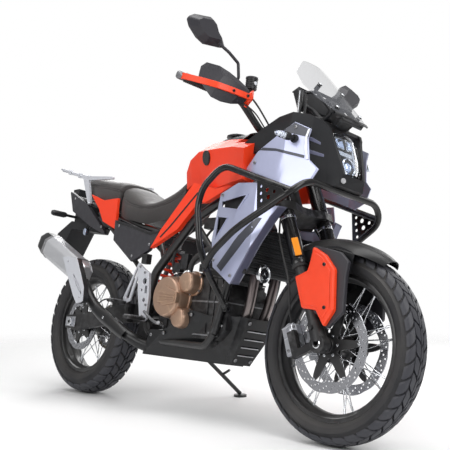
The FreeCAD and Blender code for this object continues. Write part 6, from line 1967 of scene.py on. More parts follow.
class Shrouds(Assembly):
    """The silver side panels with their patches, steps, inlays and windows."""

    def build(self) -> None:
        """Makes the panels and what is set on them."""
        self.kit.copy("side_shrouds", SILVER, 1.2)
        self._upper()
        self._lower()
        self._ribs()

    def _set(self, name: str, outline: Outline, finish: Finish, height: float,
             plan: Outline = UPPER_PLAN, holes: Sequence[np.ndarray] = ()) -> None:
        """A raised field on a panel."""
        shape = wrapped(outline, plan, -0.5, height, holes)
        self.kit.piece(name, shape, finish, slot=self.kit.slots["side_shrouds"], bevel=min(1.2, height / 2),
                       angle=40, clean=True)

    def _upper(self) -> None:
        """Dark patch, a grey band painted along the step as its shade, lower field, bright rim, screws and
        the indicators' bosses.
        """
        self._set("shroud_patch",
                  [(1312, 1070), (1361, 1101), (1422, 1072), (1416, 1043), (1400, 1048), (1350, 1061)],
                  GREY_INLAY_AND_STEP_SHADE, 1.6)
        # The step's shade, painted as a thin grey band.
        self._set("shroud_step_shade_band",
                  [(1229, 1018), (1291, 1009), (1351, 993), (1410, 978), (1409, 967), (1352, 982),
                   (1293, 999), (1214, 1009)], GREY_INLAY_AND_STEP_SHADE, 1.2)
        self._set("shroud_field",
                  [(1211, 1006), (1293, 996), (1352, 979), (1408, 964), (1427, 961), (1460, 928),
                   (1436, 881), (1370, 863), (1152, 944)], SILVER, 3.0)
        rim = [(1423, 1074), (1414, 1041), (1418, 1000), (1426, 962), (1419, 962), (1409, 1000),
               (1406, 1040), (1414, 1073)]
        self._set("shroud_rim", rim, ALLOY, 4.0)
        y = 187.0
        screws = [(1366, s * y, 1082) for s in (1, -1)] + [(1200, s * 209, 962) for s in (1, -1)]
        self.side_screws("shroud_screws", screws, 6.5, 4.0, STEEL)
        bosses = [rod((1366.0, s * 178, 1040), (1366.0, s * 196, 1040), 15, 28) for s in (1, -1)]
        self.kit.piece("indicator_bosses", bosses, MATT_BLACK, bevel=3.0, clean=True)

    def _lower(self) -> None:
        """The inlay stripe, the folded front flange in silver darkened as painted shade, the window frames
        and their dark backs.
        """
        stripe = [(1061, 577), (1092, 556), (1153, 614), (1209, 679), (1233, 697), (1264, 752), (1250, 754),
                  (1197, 714), (1169, 690), (1124, 641)]
        self._set("shroud_inlay", stripe, GREY_INLAY_AND_STEP_SHADE, 1.4, LOWER_PLAN)
        quad = [(1047, 823), (1184, 839), (1146, 788), (1051, 803)]
        tri = [(1033, 766), (1091, 758), (1031, 684)]
        frames = []
        for window in (quad, tri):
            middle = np.mean(window, axis=0)
            wide = middle + (np.asarray(window, float) - middle) * 1.16
            frames.append(wrapped(wide, LOWER_PLAN, -0.4, 2.4, [np.asarray(window, float)]))
        self.kit.piece("window_frames", frames, SILVER, bevel=1.0, angle=40, clean=True)
        backs = [wrapped([(1040, 832), (1196, 846), (1150, 782), (1042, 796)], LOWER_PLAN, -22, -19),
                 wrapped([(1024, 772), (1100, 766), (1026, 672)], LOWER_PLAN, -22, -19)]
        self.kit.piece("window_backs", backs, MATT_BLACK, clean=True)
        edge = smooth([(1152, 509), (1214, 616), (1250, 684), (1291, 757), (1318, 798)], 30)
        course = np.asarray(LOWER_PLAN, float)
        y = np.interp(edge[:, 0], course[:, 0], course[:, 1])
        across = np.linspace(0, 1, 7)[None, :]
        fold = np.stack([edge[:, :1] + 9 * across - 5 * across ** 2, y[:, None] - 44 * across,
                         edge[:, 1:] + 4 * across], axis=-1)
        # The fold is painted in the darkened silver, as painted shade.
        self.kit.piece("shroud_flanges", grid(fold).both(), SHADED_SILVER, solid=2.5)
        screws = [(1046, s * 209, 850) for s in (1, -1)] + [(1036, s * 208, 600) for s in (1, -1)]
        screws += [(1150, s * 219, 540) for s in (1, -1)]
        self.side_screws("lower_screws", screws, 6.5, 4.0, STEEL)

    def _ribs(self) -> None:
        """Two bright ribs, in silver darkened as painted shade, across the dark hollow beside the lamp, and
        its back wall.
        """
        back = [(1378, 1082), (1398, 1086), (1424, 1000), (1420, 940), (1424, 900), (1436, 884),
                (1400, 900), (1390, 980)]
        self.kit.piece("hollow_backs", wrapped(back, COWL_PLAN, -24, -19), MATT_BLACK, clean=True)
        ribs = [wrapped([(1376, 1063), (1402, 1055), (1426, 1040), (1426, 1030), (1402, 1040),
                         (1377, 1050)], COWL_PLAN, -8, 1),
                wrapped([(1384, 1013), (1410, 1006), (1438, 997), (1438, 986), (1410, 992), (1386, 1000)],
                        COWL_PLAN, -8, 1)]
        self.kit.piece("cowl_ribs", ribs, SHADED_SILVER, bevel=1.6, clean=True)


@dataclass
class Bodywork(Assembly):
    """Tank, cowls, side covers and tail."""

    badge: Place = (864.0, 161.5, 1028.0)

    def build(self) -> None:
        """Makes the painted and moulded covers."""
        self.kit.copy("fuel_tank", ORANGE, 3.0, 20)
        self.kit.copy("nose_cowl", MATT_BLACK, 3.0, 24)
        self.kit.copy("tail_panels", ORANGE, 2.0)
        self.kit.copy("side_covers", GREY_PLASTIC, 3.0)
        self._tank_fittings()
        self._cover_lines()

    def _tank_fittings(self) -> None:
        """The bare round inserts, the filler cap and the dark lines on the lower wings."""
        x, y, z = self.badge
        inserts, rims = [], []
        for s in (1, -1):
            out = np.array((-0.24, s * 0.94, -0.24))
            at = np.array((x, s * y, z))
            inserts.append(rod(at - out * 4, at + out * 3.4, 27, 48))
            rims.append(rod(at - out * 4, at + out * 2.2, 31, 48))
        self.kit.piece("tank_inserts", inserts, GLOSS_BLACK, bevel=1.2, clean=True)
        self.kit.piece("tank_insert_rims", rims, SATIN_BLACK, bevel=0.8, clean=True)
        cap = [(0.01, 0), (52, 0), (52, 6), (48, 9), (34, 9), (32, 12), (0.01, 13)]
        self.kit.piece("filler_cap", spun(cap, (868, 0, 1152), np.eye(3)), SATIN_BLACK, bevel=0.8,
                       clean=True)
        turn = turns(6)
        screws = [(868 + 42 * math.cos(a), 42 * math.sin(a), 1161) for a in turn]
        self.kit.piece("cap_screws", bolts(screws, (0, 0, 1), 4, 2.5), CHROME)
        self._top_pad()
        lines = sided([(640, 706), (700, 752), (850, 884), (856, 878), (706, 746), (648, 702)], [], 171.6,
                      172.8)
        self.kit.piece("wing_lines", lines, MATT_BLACK, clean=True)

    def _top_pad(self) -> None:
        """The dark cover over the front of the tank's top.

        Height falls with the distance from the middle line and turns down at the rim, to the tank
        behind and hardly in front, where the bars pass under it: z = 1154 - 0.17 |y| - 6 f^2 -
        drop r^6, with f along the cover and r out to its rim.
        """
        u = np.linspace(0, 1, 25)[:, None]
        v = np.linspace(-1, 1, 33)[None, :]
        half = 62 + 34 * np.sin(u * np.pi / 2)
        rim = np.maximum(np.abs(v), np.abs(1 - u) ** 2)
        y = v * half
        x = 800 + 290 * u + 14 * v ** 2 * (1 - u)
        drop = 31 - 25 * np.clip((u - 0.6) / 0.2, 0, 1)
        z = 1154 - 0.17 * np.abs(y) - 6 * u ** 2 - drop * rim ** 6
        points = np.stack([np.broadcast_to(x, y.shape), y, z], axis=-1)
        self.kit.piece("tank_top_cover", grid(points), MATT_BLACK, solid=5.0, bevel=1.0)

    def _cover_lines(self) -> None:
        """Stepped edge strips and screws on the side covers, and the rear marker on its bracket."""
        step = sided([(270, 797), (418, 763), (540, 732), (604, 739), (600, 729), (540, 722), (418, 752),
                      (272, 786)], [], 149, 152.5)
        self.kit.piece("cover_steps", step, SATIN_BLACK, bevel=1.0, clean=True)
        places = paired([(300, 150, 770), (545, 150, 680), (430, 150, 630), (-150, 128, 930),
                         (120, 128, 776)])
        self.side_screws("cover_screws", places, 6, 3.5, STEEL)
        marker = rod((-40.0, -104.0, 762.0), (-42.0, -115.0, 762.0), 17, 32)
        self.kit.piece("side_marker", marker, REFLECTOR, bevel=2.0, clean=True)
        bracket = [tube([(-30, -60, 812), (-36, -96, 792), (-40, -104, 762)], 5, 14),
                   rod((-40.0, -98.0, 762.0), (-41.0, -106.0, 762.0), 19, 32)]
        self.kit.piece("marker_bracket", bracket, MATT_BLACK, bevel=1.0, clean=True)


# Seats


@dataclass
class Cushion:
    """A crowned cushion over stations along the machine.

    Each section has a skirt from the bottom to the seam and a crown above it: the skirt bows out
    by a sine, the crown is a superellipse quarter over the seam's half width. Both ends draw in
    along an ellipse.
    """

    stations: Sequence[tuple[float, float, float, float, float]]
    ends: tuple[float, float] = (0.05, 0.05)
    rows: int = 90
    skirt: int = 12
    crown: int = 22

    def _lines(self, count: int) -> tuple[np.ndarray, ...]:
        """x, half width, seam height, top and bottom along the cushion."""
        return tuple(smooth(np.asarray(self.stations, float), count).T)

    def _draw(self, share: np.ndarray) -> np.ndarray:
        """The size factor that rounds both ends."""
        front, back = self.ends
        near = np.clip(share / front, 0, 1)
        far = np.clip((1 - share) / back, 0, 1)
        return np.sqrt(np.clip(1 - (1 - near) ** 2.4, 0, 1)) * np.sqrt(np.clip(1 - (1 - far) ** 2.4, 0, 1))

    def surface(self) -> Shape:
        """The cushion's skin."""
        share = (0.5
                 - 0.5 * np.cos(np.linspace(0, np.pi,
                                            self.rows))) * 0.5 + np.linspace(0, 1, self.rows) * 0.5
        x, half, seam, top, low = (np.interp(share, np.linspace(0, 1, 200), line)[:, None]
                                   for line in self._lines(200))
        t = np.linspace(0, 1, self.skirt)[None, :]
        side_y = half * (0.955 + 0.045 * np.sin(np.pi * t * 0.85)) - 2.2 * (t > 0.99)
        side_z = low + (seam - low) * t
        angle = np.linspace(0, np.pi / 2, self.crown)[None, 1:]
        over_y = half * np.cos(angle) ** 0.72 * 0.985
        over_z = seam + (top - seam) * np.sin(angle) ** 0.95
        left_y = np.concatenate([side_y, over_y], axis=1)
        z = np.concatenate([side_z, over_z], axis=1)
        y = np.concatenate([left_y, -left_y[:, -2::-1]], axis=1)
        z = np.concatenate([z, z[:, -2::-1]], axis=1)
        size = self._draw(share[:, None])
        middle = (seam + low) / 2 + (top - seam) * 0.35
        y = y * (0.25 + 0.75 * size)
        z = middle + (z - middle) * size
        points = np.stack([np.broadcast_to(x, y.shape), y, z], axis=-1)
        return grid(points, close_v=True)

    def seam_line(self, count: int, lift: float = 0.0, first: float = 0.06,
                  last: float = 0.94) -> np.ndarray:
        """The seam on the left side, as points."""
        share = np.linspace(first, last, count)
        x, half, seam = (np.interp(share, np.linspace(0, 1, 200), line) for line in self._lines(200)[:3])
        size = self._draw(share)
        return np.stack([x, half * 0.965 * (0.25 + 0.75 * size) + lift, seam + lift * 0.6], axis=1)


class Seats(Assembly):
    """The rider's saddle and the passenger's pad."""

    def build(self) -> None:
        """Makes both cushions with piping and stitches."""
        rider = Cushion(((240, 118, 932, 980, 832), (300, 131, 886, 958, 808), (370, 134, 864, 921, 795),
                         (440, 129, 852, 892, 782), (520, 118, 856, 903, 786), (600, 98, 884, 945, 812),
                         (668, 84, 930, 1000, 872)), (0.05, 0.02))
        pillion = Cushion(((-150, 66, 1022, 1052, 962), (-80, 92, 1004, 1049, 940),
                           (20, 110, 986, 1030, 908), (110, 121, 968, 1014, 880),
                           (190, 126, 952, 1004, 856), (240, 126, 940, 986, 846)), (0.06, 0.05))
        self._cushion("rider_seat", rider, 44)
        self._cushion("pillion_seat", pillion, 40)

    def _cushion(self, node: str, cushion: Cushion, stitches: int) -> None:
        """One cushion, its piping and its stitches."""
        skin = self.kit.piece(node + "_cover", cushion.surface(), SEAT, (node,), angle=70, clean=True)
        piping = carried(cushion.seam_line(70), circle(2.0, 8), (0, 0, 1))
        self.kit.piece(node + "_piping", piping.both(), SEAT_TOP, clean=True)
        line = cushion.seam_line(2 * stitches, 1.4)
        ends = line[0::2] + (line[1::2] - line[0::2]) * 0.9
        stitch = bars(line[0::2] + (0, -3, 6), ends + (0, -3, 6), 0.8, 6)
        self.kit.piece(node + "_stitches", stitch.both(), THREAD, clean=True)


# Cockpit


@dataclass
class Controls(Assembly):
    """Handlebar, controls, guards and mirrors, which all turn with the fork."""

    def build(self) -> None:
        """Makes everything above the upper clamp."""
        self.kit.copy("handlebar", SATIN_BLACK, 0.6, 45)
        self.kit.copy("hand_controls", CAST_BLACK, 1.0)
        self.kit.copy("mirrors", GREY_PLASTIC, 2.0, 28)
        self._grips()
        self._guards()
        self._mirror_glass()
        self._reservoir()

    @staticmethod
    def _grip(share: np.ndarray, side: int) -> np.ndarray:
        """Places along a grip: 0 at the bar's end, 1 at 250 mm inboard."""
        outer, inner = np.array((1008.0, 442.0, 1252.0)), np.array((1078.0, 205.0, 1222.0))
        place = outer + unit(inner - outer) * 250 * np.asarray(share, float)[..., None]
        return place * (1, side, 1)

    def _grips(self) -> None:
        """Ribbed rubber sleeves, bar-end weights, switches and lever hinge screws."""
        shapes, ends, buttons, reds, screws = [], [], [], [], []
        share = np.linspace(0.024, 0.512, 150)
        swell = 1 + 0.055 * np.clip(np.sin(np.linspace(0, 34 * np.pi, 150)) * 2.2, -1, 1)
        swell[[0, -1]] = 0.93
        for s in (1, -1):
            shapes.append(carried(self._grip(share, s), circle(17.4, 28), (0, 0, 1), swell))
            ends.append(carried(self._grip(np.array([-0.11, -0.085, 0.0, 0.022]), s), circle(15.5, 28),
                                (0, 0, 1), np.array([0.8, 1.0, 1.0, 0.86])))
            for k, z in enumerate((14, 2, -12)):
                at = self._grip(np.array([0.64]), s)[0] + (-22, 0, z)
                target = reds if k == 0 and s < 0 else buttons
                target.append(block(tuple(at - (5, 7, 4)), tuple(at + (5, 7, 4))))
            at = self._grip(np.array([0.79]), s)[0] + (34, 0, 8)
            screws.append(tuple(at))
        self.kit.piece("grips", shapes, GRIP, slot="grip_rubber", angle=50, clean=True)
        self.kit.piece("bar_ends", ends, CAST_GREY, bevel=1.0, clean=True)
        self.kit.piece("switch_buttons", buttons, GREY_PLASTIC, slot="grey_plastic", bevel=1.5)
        self.kit.piece("stop_switch", reds, RED_LENS, bevel=1.5)
        self.kit.piece("lever_screws", bolts(screws, (0, 0, 1), 6, 4), CHROME)

    def _guards(self) -> None:
        """Faceted dark shields and the painted strap across them.

        A shield is a sheet over columns from the bar's end inwards, each through a low edge, the
        strap's line, a crease and a top edge.
        """
        net = np.array([
            [(1090, 426, 1226), (1084, 432, 1238), (1084, 430, 1262), (1082, 424, 1284)],
            [(1106, 414, 1198), (1112, 414, 1221), (1116, 404, 1264), (1100, 414, 1299)],
            [(1126, 398, 1168), (1142, 391, 1212), (1150, 366, 1254), (1134, 380, 1290)],
            [(1138, 360, 1160), (1158, 348, 1208), (1162, 330, 1246), (1150, 342, 1274)],
            [(1146, 318, 1164), (1168, 302, 1205), (1169, 296, 1234), (1158, 304, 1258)],
            [(1148, 262, 1182), (1172, 254, 1204), (1172, 254, 1224), (1162, 262, 1240)]], float)
        rows = np.linspace(0, 3, 13)
        low = np.minimum(rows.astype(int), 2)
        share = (rows - low)[None, :, None]
        sheet = net[:, low] * (1 - share) + net[:, low + 1] * share
        self.kit.piece("guard_shields", grid(sheet).both(), GREY_PLASTIC, ("handguards",), bevel=1.2,
                       solid=4.0, angle=14)
        route = rounded([(1006, 452, 1252), (1022, 455, 1249), (1064, 444, 1236), (1112, 420, 1222),
                         (1148, 391, 1212), (1164, 348, 1208), (1175, 302, 1205), (1179, 252, 1204),
                         (1176, 238, 1226), (1150, 214, 1224), (1098, 196, 1204)], 14, 4)
        strap = np.array([(-11, -4), (11, -4), (12, 1), (8, 8), (-8, 8), (-12, 1)])
        shape = carried(route, strap, (0, 0, 1))
        self.kit.piece("guard_straps", shape.both(), ORANGE_PLASTIC, ("handguards",), bevel=1.5, angle=35,
                       clean=True)
        screws = [(1172, s * 330, 1206) for s in (1, -1)] + [(1184, s * 268, 1204) for s in (1, -1)]
        self.kit.piece("guard_screws", bolts(screws, (0.98, 0, 0.1), 6, 4), SATIN_BLACK, slot="steel")

    def _mirror_glass(self) -> None:
        """A silvered plate let into the back of each mirror, and the stems' clamps."""
        outline = np.array([(316, 1400), (336, 1390), (419, 1375), (458, 1388), (498, 1418), (514, 1447),
                            (484, 1469), (404, 1488), (374, 1470), (352, 1431)], float)
        middle = np.array((424.0, 1430.0))
        flat = middle + (outline - middle) * 0.83
        curve = rounded(np.column_stack([np.zeros(12), np.vstack([flat, flat[:2]])]), 16, 5)[5:-5, 1:]
        ring = np.unique(curve, axis=0, return_index=True)[1]
        curve = curve[np.sort(ring)]
        count = len(curve)
        faces = np.column_stack([np.full(count, 1063.6), curve])
        rear = np.column_stack([np.full(count, 1062.2), curve])
        k = np.arange(count)
        walls = np.stack([k, (k + 1) % count, count + (k + 1) % count, count + k], axis=1)
        glass = Shape(np.vstack([faces, rear]), [walls, k[None, :], (count + k)[None, ::-1]])
        self.kit.piece("mirror_glass", glass.both(), MIRROR, ("mirrors",), clean=True)
        clamps = [rod((1066.0, s * 244, 1236), (1069.0, s * 244, 1256), 12, 8) for s in (1, -1)]
        self.kit.piece("mirror_clamps", clamps, SATIN_BLACK, bevel=1.0, clean=True)

    def _reservoir(self) -> None:
        """The ribbed brake fluid cup with its window and cap screws."""
        rings = []
        for k in range(5):
            low = np.array([(1118.0, -198, 1266 + 7 * k)])
            rings.append(bars(low, low + (0, 0, 3.6), 23.2, 36))
        self.kit.piece("reservoir_ribs", rings, SATIN_BLACK, bevel=0.8, clean=True)
        cap = rod((1118.0, -198, 1302), (1118.0, -198, 1310), 24.5, 36)
        self.kit.piece("reservoir_cap", cap, GREY_PLASTIC, bevel=1.6, clean=True)
        window = rod((1134.0, -198, 1284), (1142.0, -198, 1284), 7, 24)
        self.kit.piece("reservoir_window", window, WHITE_LENS, bevel=0.8, clean=True)
        screws = [(1118 + 15 * c, -198 + 15 * s, 1310) for c, s in ((1, 1), (-1, -1))]
        self.kit.piece("reservoir_screws", bolts(screws, (0, 0, 1), 4, 2.5), CHROME)


@dataclass
class Dash(Assembly):
    """The screen, its mount and rails, and the display.

    Fields:
        foot: The middle of the screen's lower edge.
        top: The middle of its upper edge.
        bend: The radius that it is bent to across its width.
    """

    foot: Place = (1496.0, 0.0, 1135.0)
    top: Place = (1240.0, 0.0, 1414.0)
    bend: float = 360.0

    def build(self) -> None:
        """Makes the screen, the display and what carries them."""
        self._screen()
        self._display()
        self._rails()
        self._screen_mount()

    def _screen(self) -> None:
        """The clear screen with rubber grommets, screws and a dark base trim."""
        self.kit.copy("windscreen", SCREEN, 1.0, 40)
        base, along, normal = self._screen_axes()
        grommets, screws = [], []
        for s in (1, -1):
            for place in (70, 210):
                seat = base + along * place + (0, s * 66, 0) + normal * self._sag(66)
                grommets.append(rod(seat - normal * 2.4, seat - normal * 0.1, 10, 24))
                screws.append(tuple(seat - normal * 2.4))
        self.kit.piece("screen_grommets", grommets, GRIP, bevel=0.6, clean=True)
        self.kit.piece("screen_screws", bolts(screws, tuple(-normal), 6.5, 4), CHROME)
        side = np.linspace(-96, 96, 41)
        sag = self._sag(side)
        low = 2 + 34 * (np.abs(side) / 96) ** 1.5
        trim = []
        for lift, out in ((-4, -1.5), (-4, 5.5), (9, 5.5), (9, -1.5)):
            trim.append(base + along * (low + lift)[:, None] + np.column_stack([0 * side, side, 0 * side])
                        + normal * (sag + out)[:, None])
        self.kit.piece("screen_trim", grid(np.stack(trim, axis=1), close_v=True), SATIN_BLACK, bevel=1.0,
                       clean=True)

    def _screen_axes(self) -> tuple[np.ndarray, np.ndarray, np.ndarray]:
        """The screen's foot, its upward direction and the normal of its back."""
        foot = np.array(self.foot)
        along = unit(np.array(self.top) - foot)
        return foot, along, np.array((-along[2], 0, along[0]))

    def _sag(self, side: object) -> np.ndarray:
        """How far the bent screen lies behind its middle line at a sideways place."""
        return self.bend - np.sqrt(self.bend ** 2 - np.square(side))

    def _display(self) -> None:
        """The display's housing, bezel, glass and hood."""
        self.kit.copy("instrument", MATT_BLACK, 1.5)
        tilt = math.radians(-24)
        axes = np.array([(math.cos(tilt), 0, -math.sin(tilt)), (0, 1, 0),
                         (math.sin(tilt), 0, math.cos(tilt))])
        centre = (1266, 0, 1232)
        shell = block((-9, -94, -46), (22, 94, 46)).moved(centre, axes)
        self.kit.piece("display_shell", shell, MATT_BLACK, ("instrument",), bevel=7.0)
        bezel = block((-13, -88, -41), (-8, 88, 41)).moved(centre, axes)
        self.kit.piece("display_bezel", bezel, GLOSS_BLACK, ("instrument",), bevel=2.5)
        glass = block((-14, -78, -33), (-12, 78, 33)).moved(centre, axes)
        self.kit.piece("display_glass", glass, DISPLAY, ("instrument",), bevel=0.6)
        hood = block((-16, -90, 44), (22, 90, 49)).moved(centre, axes)
        self.kit.piece("display_hood", hood, SATIN_BLACK, bevel=2.5)

    def _rails(self) -> None:
        """The guide rails of the screen and the struts between them."""
        rails, slots = [], []
        for s in (1, -1):
            rails.append(tube([(1298, s * 108, 1160), (1296, s * 106, 1216), (1288, s * 98, 1262)], 8, 20))
            rails.append(tube([(1322, s * 100, 1150), (1318, s * 100, 1206), (1308, s * 94, 1254)], 6, 20))
            slots.append(tube([(1301, s * 117, 1166), (1299, s * 115, 1216), (1291, s * 107, 1258)], 2.4,
                              20))
        self.kit.piece("screen_rails", rails, SATIN_BLACK, clean=True)
        self.kit.piece("screen_rail_slides", slots, ALLOY, clean=True)
        cross = [tube([(1310, -100, 1250), (1330, -60, 1262), (1330, 60, 1262), (1310, 100, 1250)], 6, 20),
                 tube([(1384, -66, 1150), (1384, 66, 1150)], 7),
                 tube([(1322, -100, 1152), (1384, -66, 1146)], 7),
                 tube([(1322, 100, 1152), (1384, 66, 1146)], 7)]
        self.kit.piece("cockpit_struts", cross, SATIN_BLACK, clean=True)

    def _screen_mount(self) -> None:
        """The plates and knobs behind the screen, and the power socket."""
        base, slope, behind = self._screen_axes()
        face = np.array([slope, (0, 1, 0), behind])
        foot = base + behind * 16
        plates = [block((22, -62, 0), (140, -50, 10)), block((22, 50, 0), (140, 62, 10)),
                  block((20, -64, 4), (52, 64, 16)), block((112, -64, 2), (144, 64, 14)),
                  block((44, -34, 14), (122, 34, 54))]
        self.kit.piece("screen_mount", [p.moved(tuple(foot), face) for p in plates], SATIN_BLACK, bevel=3.0)
        knobs = [foot + slope * a + behind * 4 + np.array((0, s * 64, 0)) for a in (36, 128)
                 for s in (1, -1)]
        pegs = bars(np.array(knobs) - (0, 6, 0), np.array(knobs) + (0, 6, 0), 9, 20)
        self.kit.piece("screen_knobs", pegs, CAST_BLACK, slot="black_plastic", bevel=1.0, clean=True)
        socket = block((1296, 118, 1128), (1330, 150, 1150))
        self.kit.piece("power_socket", socket, GRIP, bevel=3.0)


class Cables(Assembly):
    """Cables and screws between the bars and the upper clamp."""

    def build(self) -> None:
        """Cables and the brake hose down to the lower clamp, the stem's nut and the risers' screws."""
        left = [tube([(1104, 262, 1216), (1152, 214, 1190), (1160, 120, 1120), (1164, 50, 1040)], 3.4, 60,
                     8),
                tube([(1088, 236, 1214), (1132, 190, 1180), (1148, 110, 1100), (1156, 40, 1030)], 2.8, 60,
                     8)]
        right = [tube([(1112, -214, 1250), (1158, -196, 1200), (1168, -110, 1120), (1166, -46, 1040)], 3.6,
                      60, 8),
                 tube([(1088, -236, 1214), (1138, -186, 1180), (1150, -100, 1100), (1158, -36, 1030)], 2.8,
                      60, 8)]
        self.kit.piece("control_cables", left + right, GRIP, clean=True)
        caps = [rod(fork(-40, 0, 764), fork(-40, 0, 784), 16, 6)]
        self.kit.piece("stem_nut", caps, CHROME, bevel=1.0, clean=True)
        places = [tuple(fork(n, s * 50, 881)) for s in (1, -1) for n in (-29, -1)]
        self.kit.piece("riser_screws", bolts(places, tuple(FORK_AXES[2]), 5.5, 4), CHROME)


# Lamps


class Lamps(Assembly):
    """Headlamp, indicators and tail lamp."""

    def build(self) -> None:
        """Makes the lamps with what shows through their lenses."""
        self._headlight()
        self._indicators()
        self._tail()

    @staticmethod
    def _face(z: np.ndarray) -> np.ndarray:
        """x of the headlamp's front line at a height."""
        return np.interp(z, [934, 1000, 1094], [1494, 1478, 1442])

    def _panel(self, outline: Outline, low: float, high: float) -> Shape:
        """A plate in front view, (y, z), between two depths behind the lamp's front line."""
        flat = punched(np.asarray(outline, float), [], low, high)
        y, depth, z = flat.points.T
        points = np.stack([self._face(z) - depth - 10 * (y / 60) ** 2, y, z], axis=1)
        return Shape(points, flat.faces)

    def _headlight(self) -> None:
        """Housing, side walls and the clear cover."""
        body = prism([(1370, 932), (1436, 934), (1452, 944), (1440, 1000), (1414, 1088), (1370, 1094)], -58,
                     58)
        self.kit.piece("headlight_body", body, GLOSS_BLACK, ("headlight",), bevel=3.0, clean=True)
        z = np.linspace(936, 1092, 40)[:, None]
        v = np.linspace(-1, 1, 33)[None, :]
        low = np.clip((z - 936) / 34, 0, 1)
        high = np.clip((1092 - z) / 14, 0, 1)
        half = 60 * (0.62 + 0.38 * np.sin(low * np.pi / 2)) * (0.9 + 0.1 * high)
        x = self._face(z) + 2 - 13 * np.abs(v) ** 2.6 - 5 * (1 - high)
        cover = np.stack([x, np.broadcast_to(v * half, x.shape), np.broadcast_to(z, x.shape)], axis=-1)
        self.kit.piece("headlight_cover", grid(cover), LENS_GLASS, ("headlight",), solid=2.0, angle=60)
        sides = []
        for s in (1, -1):
            edge = cover[:, 0 if s < 0 else -1]
            front = edge - (16, s * 1.5, 0)
            back = edge * (0, 0.97, 1) + np.column_stack([np.full(40, 1424.0), np.zeros(40), np.zeros(40)])
            sides.append(grid(np.stack([front, back], axis=1)))
        self.kit.piece("headlight_sides", sides, GLOSS_BLACK, ("headlight",), solid=2.0)
        self._modules()

    def _modules(self) -> None:
        """The stacked modules and light guides behind the cover, and the nose's screw."""
        cells, rims = [], []
        for s in (1, -1):
            cell = [(s * 6, 1036), (s * 44, 1040), (s * 47, 1078), (s * 10, 1084)]
            inner = [(s * 11, 1041), (s * 39, 1045), (s * 42, 1073), (s * 14, 1078)]
            rims.append(self._panel(cell, 14, 26))
            cells.append(self._panel(inner, 10, 16))
        bar = [(-40, 1012), (40, 1012), (46, 1030), (-46, 1030)]
        rims.append(self._panel(bar, 16, 28))
        self.kit.piece("headlight_cells", cells, REFLECTOR, bevel=2.0, clean=True)
        self.kit.piece("headlight_frames", rims, CHROME, bevel=2.0, clean=True)
        at = np.array((1482.0, 0, 974))
        ahead = unit(np.array((0.97, 0, 0.22)))
        hoop = self._about(at - ahead * 22, ahead,
                           [(33, 0), (36, 3), (36, 11), (32, 15), (29, 11), (29, 0)])
        self.kit.piece("projector_ring", hoop, CHROME, clean=True)
        bowl = self._about(at - ahead * 26, ahead, [(0.01, -6), (28, 4), (28.5, 8), (20, 3), (0.01, 0)])
        self.kit.piece("projector_bowl", bowl, SATIN_BLACK, clean=True)
        dome = self._about(at - ahead * 24, ahead,
                           [(0.01, 17), (8, 16), (15, 12.5), (20, 6), (21, 0), (0.01, 0)])
        self.kit.piece("projector_lens", dome, REFLECTOR, clean=True)
        guides = []
        for s in (1, -1):
            route = [(1484 - 22, s * 34, 944), (1478 - 24, s * 50, 962), (1468 - 18, s * 53, 1000),
                     (1446 - 14, s * 54, 1060), (1440 - 16, s * 50, 1084)]
            guides.append(tube(route, 3.6, 16, 10))
        self.kit.piece("light_guides", guides, WHITE_LENS, clean=True)
        chin = self._about(np.array((1500.0, -58, 905)), unit(np.array((0.9, -0.35, 0))),
                           [(0.01, 0), (10, 0), (10, 2), (0.01, 2)])
        self.kit.piece("nose_screw", chin, STEEL, bevel=0.4, clean=True)

    @staticmethod
    def _about(at: np.ndarray, axis: np.ndarray, profile: Outline) -> Shape:
        """A closed (radius, height) outline turned about any axis."""
        side = unit(np.cross(axis, (0.0, 0.1, 1.0)))
        return spun(profile, at, (side, np.cross(axis, side), axis))

    def _indicators(self) -> None:
        """Slim indicators: dark bodies, clear front lenses and amber rear ones."""
        bodies, fronts, rears, bulbs = [], [], [], []
        front = [(0.01, 0), (12, 3), (14, 14), (13, 40), (8, 60), (0.01, 64)]
        shell = [(0.01, -2), (13, 1), (15, 8), (15, 22), (12, 22), (0.01, 22)]
        for s in (1, -1):
            axis = unit(np.array((-0.24, s * 1.0, 0.03)))
            at = np.array((1366.0, s * 210, 1040))
            bodies.append(self._about(at, axis, shell))
            bodies.append(rod((1366.0, s * 184, 1040), at, 8, 20))
            fronts.append(self._about(at + axis * 4, axis, front))
            for k in range(3):
                bead = at + axis * (24 + 12 * k)
                bulbs.append(rod(bead - axis * 3, bead + axis * 3, 6.5, 12))
            out = unit(np.array((-0.05, s * 1.0, -0.02)))
            rear = np.array((-232.0, s * 116, 852))
            bodies.append(rod((-232.0, s * 62, 852), rear, 7, 20))
            bodies.append(self._about(rear, out,
                                      [(0.01, -2), (11, 2), (15, 14), (15, 70), (11, 82), (0.01, 84)]))
            lens = rear + out * 18 + (-6, 0, 0)
            rears.append(self._about(lens, out,
                                     [(0.01, 0), (10, 1), (12, 6), (12, 52), (8, 58), (0.01, 59)]))
        self.kit.piece("indicator_bodies", bodies, SATIN_BLACK, ("signal_lamps",), clean=True)
        self.kit.piece("indicator_lenses", fronts, LENS_GLASS, ("signal_lamps",), slot="signal_lens",
                       clean=True)
        self.kit.piece("indicator_beads", bulbs, WHITE_LENS, slot="signal_lens", clean=True)
        self.kit.piece("rear_indicator_lenses", rears, AMBER, ("signal_lamps",), clean=True)

    def _tail(self) -> None:
        """The tail lamp's dark housing and red lens, and the lamp over the plate carrier."""
        house = prism([(-292, 1002), (-240, 1004), (-226, 884), (-258, 882)], -62, 62)
        self.kit.piece("tail_housing", house, SATIN_BLACK, ("signal_lamps",), bevel=4.0, clean=True)
        lens = prism([(-300, 996), (-288, 998), (-256, 894), (-264, 888)], -54, 54)
        self.kit.piece("tail_lens", lens, RED_LENS, ("signal_lamps",), bevel=4.0, clean=True)
        plate_lamp = prism([(-252, 838), (-226, 836), (-226, 826), (-250, 826)], -22, 22)
        self.kit.piece("plate_lamp", plate_lamp, SATIN_BLACK, bevel=2.0, clean=True)


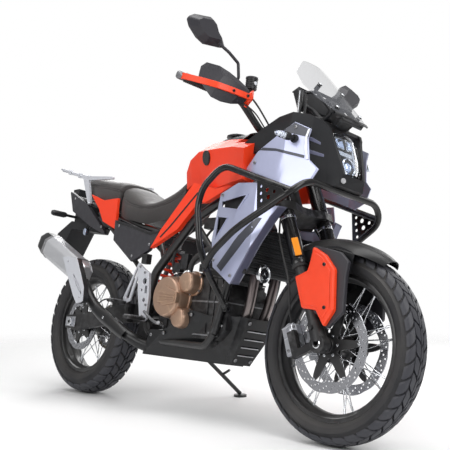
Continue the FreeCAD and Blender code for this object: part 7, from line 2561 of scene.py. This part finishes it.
def main() -> None:
    """Builds the studio and every sub-assembly in order."""
    logging.basicConfig(level=logging.INFO, format="%(name)s: %(message)s")
    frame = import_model()
    kit = Kit(frame)
    Studio().build()
    turning = kit.riding(Body.STEERING)
    assemblies = (Wheels(kit), Engine(kit), Exhaust(kit), Cooling(kit), RunningGear(kit), Protection(kit),
                  Fork(turning), Shrouds(kit), Bodywork(kit), Seats(kit), Controls(turning), Dash(kit),
                  Cables(turning), Lamps(kit))
    for assembly in assemblies:
        assembly.build()
    done = {name for thing in bpy.data.objects for name in thing.get("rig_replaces", [])}
    bare = sorted(set(frame["nodes"]) - done)
    if bare:
        LOG.warning("no piece stands for %s", ", ".join(bare))


if __name__ == "__main__":
    main()
